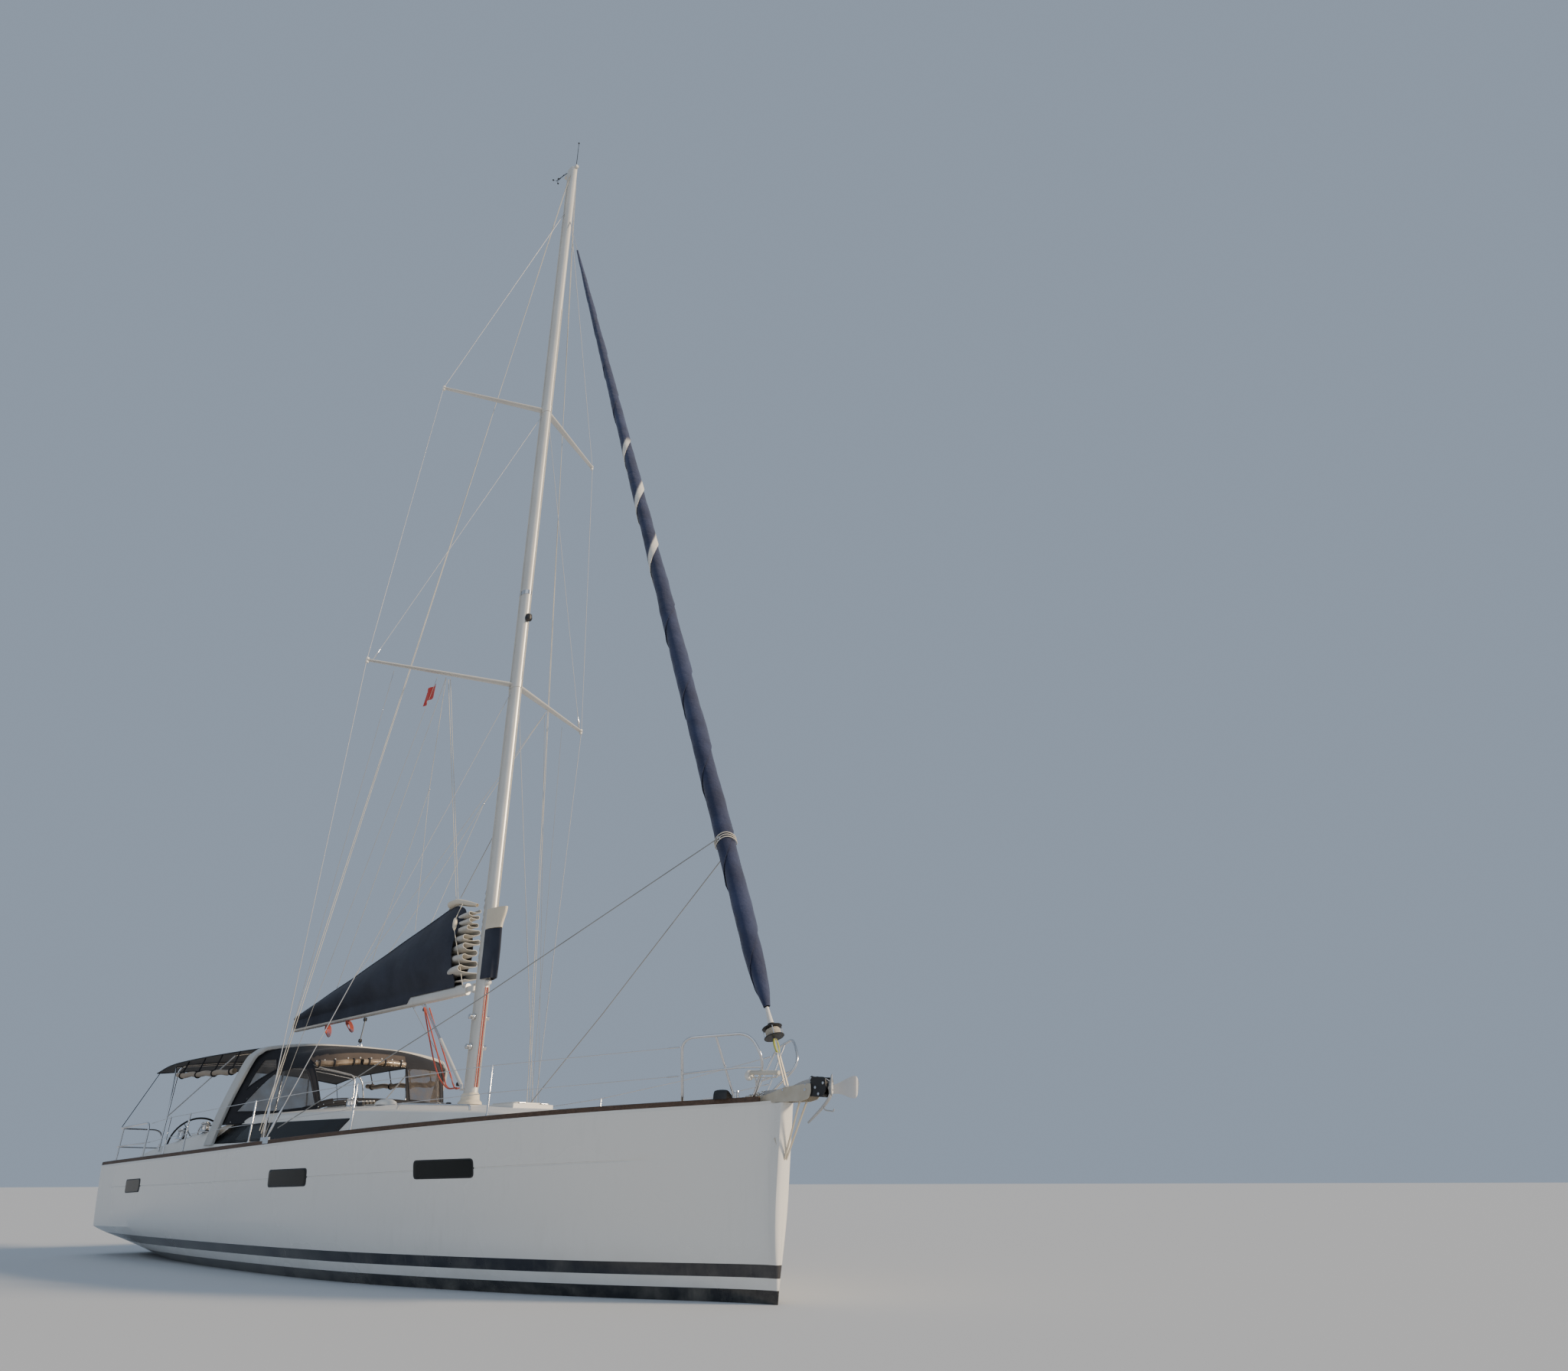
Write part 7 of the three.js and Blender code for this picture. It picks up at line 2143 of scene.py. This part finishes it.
def chain_tree():
    """Links along a line, every second one turned on its edge."""
    tree, given = geometry_tree("chain_links",
                                (("Pitch", "Float"), ("Finish", "Material"), ("Link", "Object")))
    line = node(tree, "GeometryNodeMeshToCurve", {"Mesh": given["Geometry"]}).outputs[0]
    dots = node(tree, "GeometryNodeCurveToPoints", {"Curve": line, "Length": given["Pitch"]}, mode="LENGTH")
    odd = calc(tree, "MODULO", node(tree, "GeometryNodeInputIndex").outputs[0], 2.0)
    roll = node(tree, "ShaderNodeCombineXYZ", {"Z": calc(tree, "MULTIPLY", odd, pi / 2)}).outputs[0]
    facing = node(tree, "FunctionNodeAlignRotationToVector", {"Vector": dots.outputs["Tangent"]},
                  axis="Z").outputs[0]
    turned = node(tree, "FunctionNodeRotateRotation", {"Rotation": facing, "Rotate By": node(
        tree, "FunctionNodeEulerToRotation", {"Euler": roll}).outputs[0]}, rotation_space="LOCAL").outputs[0]
    shape = node(tree, "GeometryNodeObjectInfo", {"Object": given["Link"]}).outputs["Geometry"]
    return copies(tree, given, dots.outputs["Points"], shape, Rotation=turned)


def chain(path):
    """The anchor chain along a line: straight-sided links, each drawn once and copied."""
    loop = []
    for a in spread(0, FULL_TURN, 25):
        stretch = copysign(0.010, cos(a)) if abs(cos(a)) > 1e-6 else 0
        loop.append(Vector((0.0125 * sin(a), 0, 0.0125 * cos(a) + stretch)))
    shape = link("chain_link", Form().tube(loop, 0.005, ZINC, 8).mesh("chain_link", 60))
    fine = curved(path, 10)
    piece = grown("anchor_chain", fine, [(k, k + 1) for k in range(len(fine) - 1)], chain_tree(),
                  {"Pitch": 0.030, "Finish": ZINC, "Link": shape})
    bpy.data.objects.remove(shape)
    settle(piece, "root")


# Under water

def foil_ring(x, chord, half, z, count=26):
    """A streamlined section: round nose ahead, thin tail aft."""
    ring = []
    for angle in turns(count):
        s = (1 - cos(angle)) / 2
        thick = 2.6 * (0.2969 * sqrt(s) - 0.126 * s - 0.3516 * s * s + 0.2843 * s ** 3 - 0.1015 * s ** 4)
        ring.append((x + chord * (0.5 - s), copysign(half * thick * 0.77 + 0.001, sin(angle)), z))
    return ring


def keel():
    keel = Form()
    keel.skin([foil_ring(0.15, 1.9, 0.128, -0.45), foil_ring(0.11, 1.68, 0.115, -1.2),
               foil_ring(0.06, 1.42, 0.103, -1.99)], BOTTOM)
    rows = ((1.25, 0.020, -1.990, -2.060), (1.08, 0.130, -1.900, -2.130), (0.65, 0.225, -1.840, -2.150),
            (0.0, 0.240, -1.835, -2.150), (-0.7, 0.165, -1.880, -2.140), (-1.25, 0.018, -1.970, -2.060))
    rings = []
    for x, half, top, foot in curved(rows, 6):
        ring = []
        for a in turns(28):
            s = sin(a)
            lift = 0.42 + (0.58 if s > 0 else 0.50) * s
            ring.append((x, half * boxy(cos(a), 0.8), max(mix(foot, top, lift), foot)))
        rings.append(ring)
    keel.skin(rings, BOTTOM)
    keel.place("keel_casting", "root", "bottom_paint", ["keel"], smooth=50)


# Height of the propeller's shaft
DRIVE_Z = -0.98


def rudder_and_drive():
    rudder = Form()
    x = -5.84
    rudder.skin([foil_ring(x, 0.55, 0.058, -0.302), foil_ring(x, 0.52, 0.054, -0.9),
                 foil_ring(x, 0.44, 0.044, -1.5), foil_ring(x, 0.36, 0.034, -1.88),
                 foil_ring(x, 0.32, 0.02, -1.90)], BOTTOM)
    rudder.rod(0.050, 0, 0.17, (-5.75, 0, -0.2453), (0, 0, -1), STAINLESS, 24)
    rudder.place("rudder_blade", "rudder", "bottom_paint", ["rudder"], smooth=50)
    drive = Form()
    drive.skin([foil_ring(-3.33, 0.38, 0.058, -0.40), foil_ring(-3.35, 0.30, 0.044, -0.96)], BLACK)
    drive.turned([(0, 0), (0.030, 0.004), (0.048, 0.030), (0.058, 0.060), (0.069, 0.14), (0.070, 0.20),
                  (0.066, 0.300), (0.048, 0.355), (0, 0.36)], (-3.20, 0, DRIVE_Z), (-1, 0, 0), BLACK, 28)
    drive.skin([foil_ring(-3.41, 0.20, 0.014, -1.02), foil_ring(-3.43, 0.12, 0.010, -1.17)], BLACK)
    drive.solid([(0.05, 0), (0.05, 0.004), (0.047, 0.004)], (-3.33, 0, -0.66), (0, 0, -1), BLACK, 20)
    drive.place("sail_drive_leg", "root", "black_fitting", ["sail_drive"], smooth=50)


def propeller():
    screw = Form()
    hub = Vector((-3.5603, 0, DRIVE_Z))
    screw.turned([(0, 0), (0.044, 0), (0.046, 0.006), (0.046, 0.070), (0.040, 0.095), (0.026, 0.122),
                  (0, 0.135)], hub, (-1, 0, 0), BRONZE, 28)
    for k in range(3):
        turn = Matrix.Rotation(FULL_TURN * k / 3, 3, "X")
        rings = []
        for r, chord, lean in curved(((0.031, 0.024, 0.021), (0.120, 0.056, 0.028), (0.200, 0.058, 0.021),
                                      (0.235, 0.024, 0.012)), 5):
            ring = []
            for a in spread(0, FULL_TURN, 15)[:-1]:
                c, s = cos(a), sin(a)
                ring.append(hub + turn @ Vector((-0.045 + lean * c + 0.004 * s, chord * c, r)))
            rings.append(ring)
        screw.skin(rings, BRONZE)
    screw.place("propeller_bronze", "propeller", "bronze", ["propeller"], smooth=50)


for make in (camera, studio, hull, hull_windows, deck, roof_windows, toe_rails, mast):
    make()
spreaders("spreaders_lower", LOWER_ROOT, LOWER_TIP, 0.17, 0.09)
spreaders("spreaders_upper", UPPER_ROOT, UPPER_TIP, 0.16, 0.085)
for make in (shrouds, furled_genoa, furler_drum, boom, sail_bag, boom_lines, mast_lines, mainsheet,
             lashed_lines, flag, cockpit_arch, dodger, bimini, rails, lids, swim_platform, helms, cockpit,
             deck_gear, bow_roller, anchor_over_bow, foredeck, keel, rudder_and_drive, propeller):
    make()

bpy.context.view_layer.update()
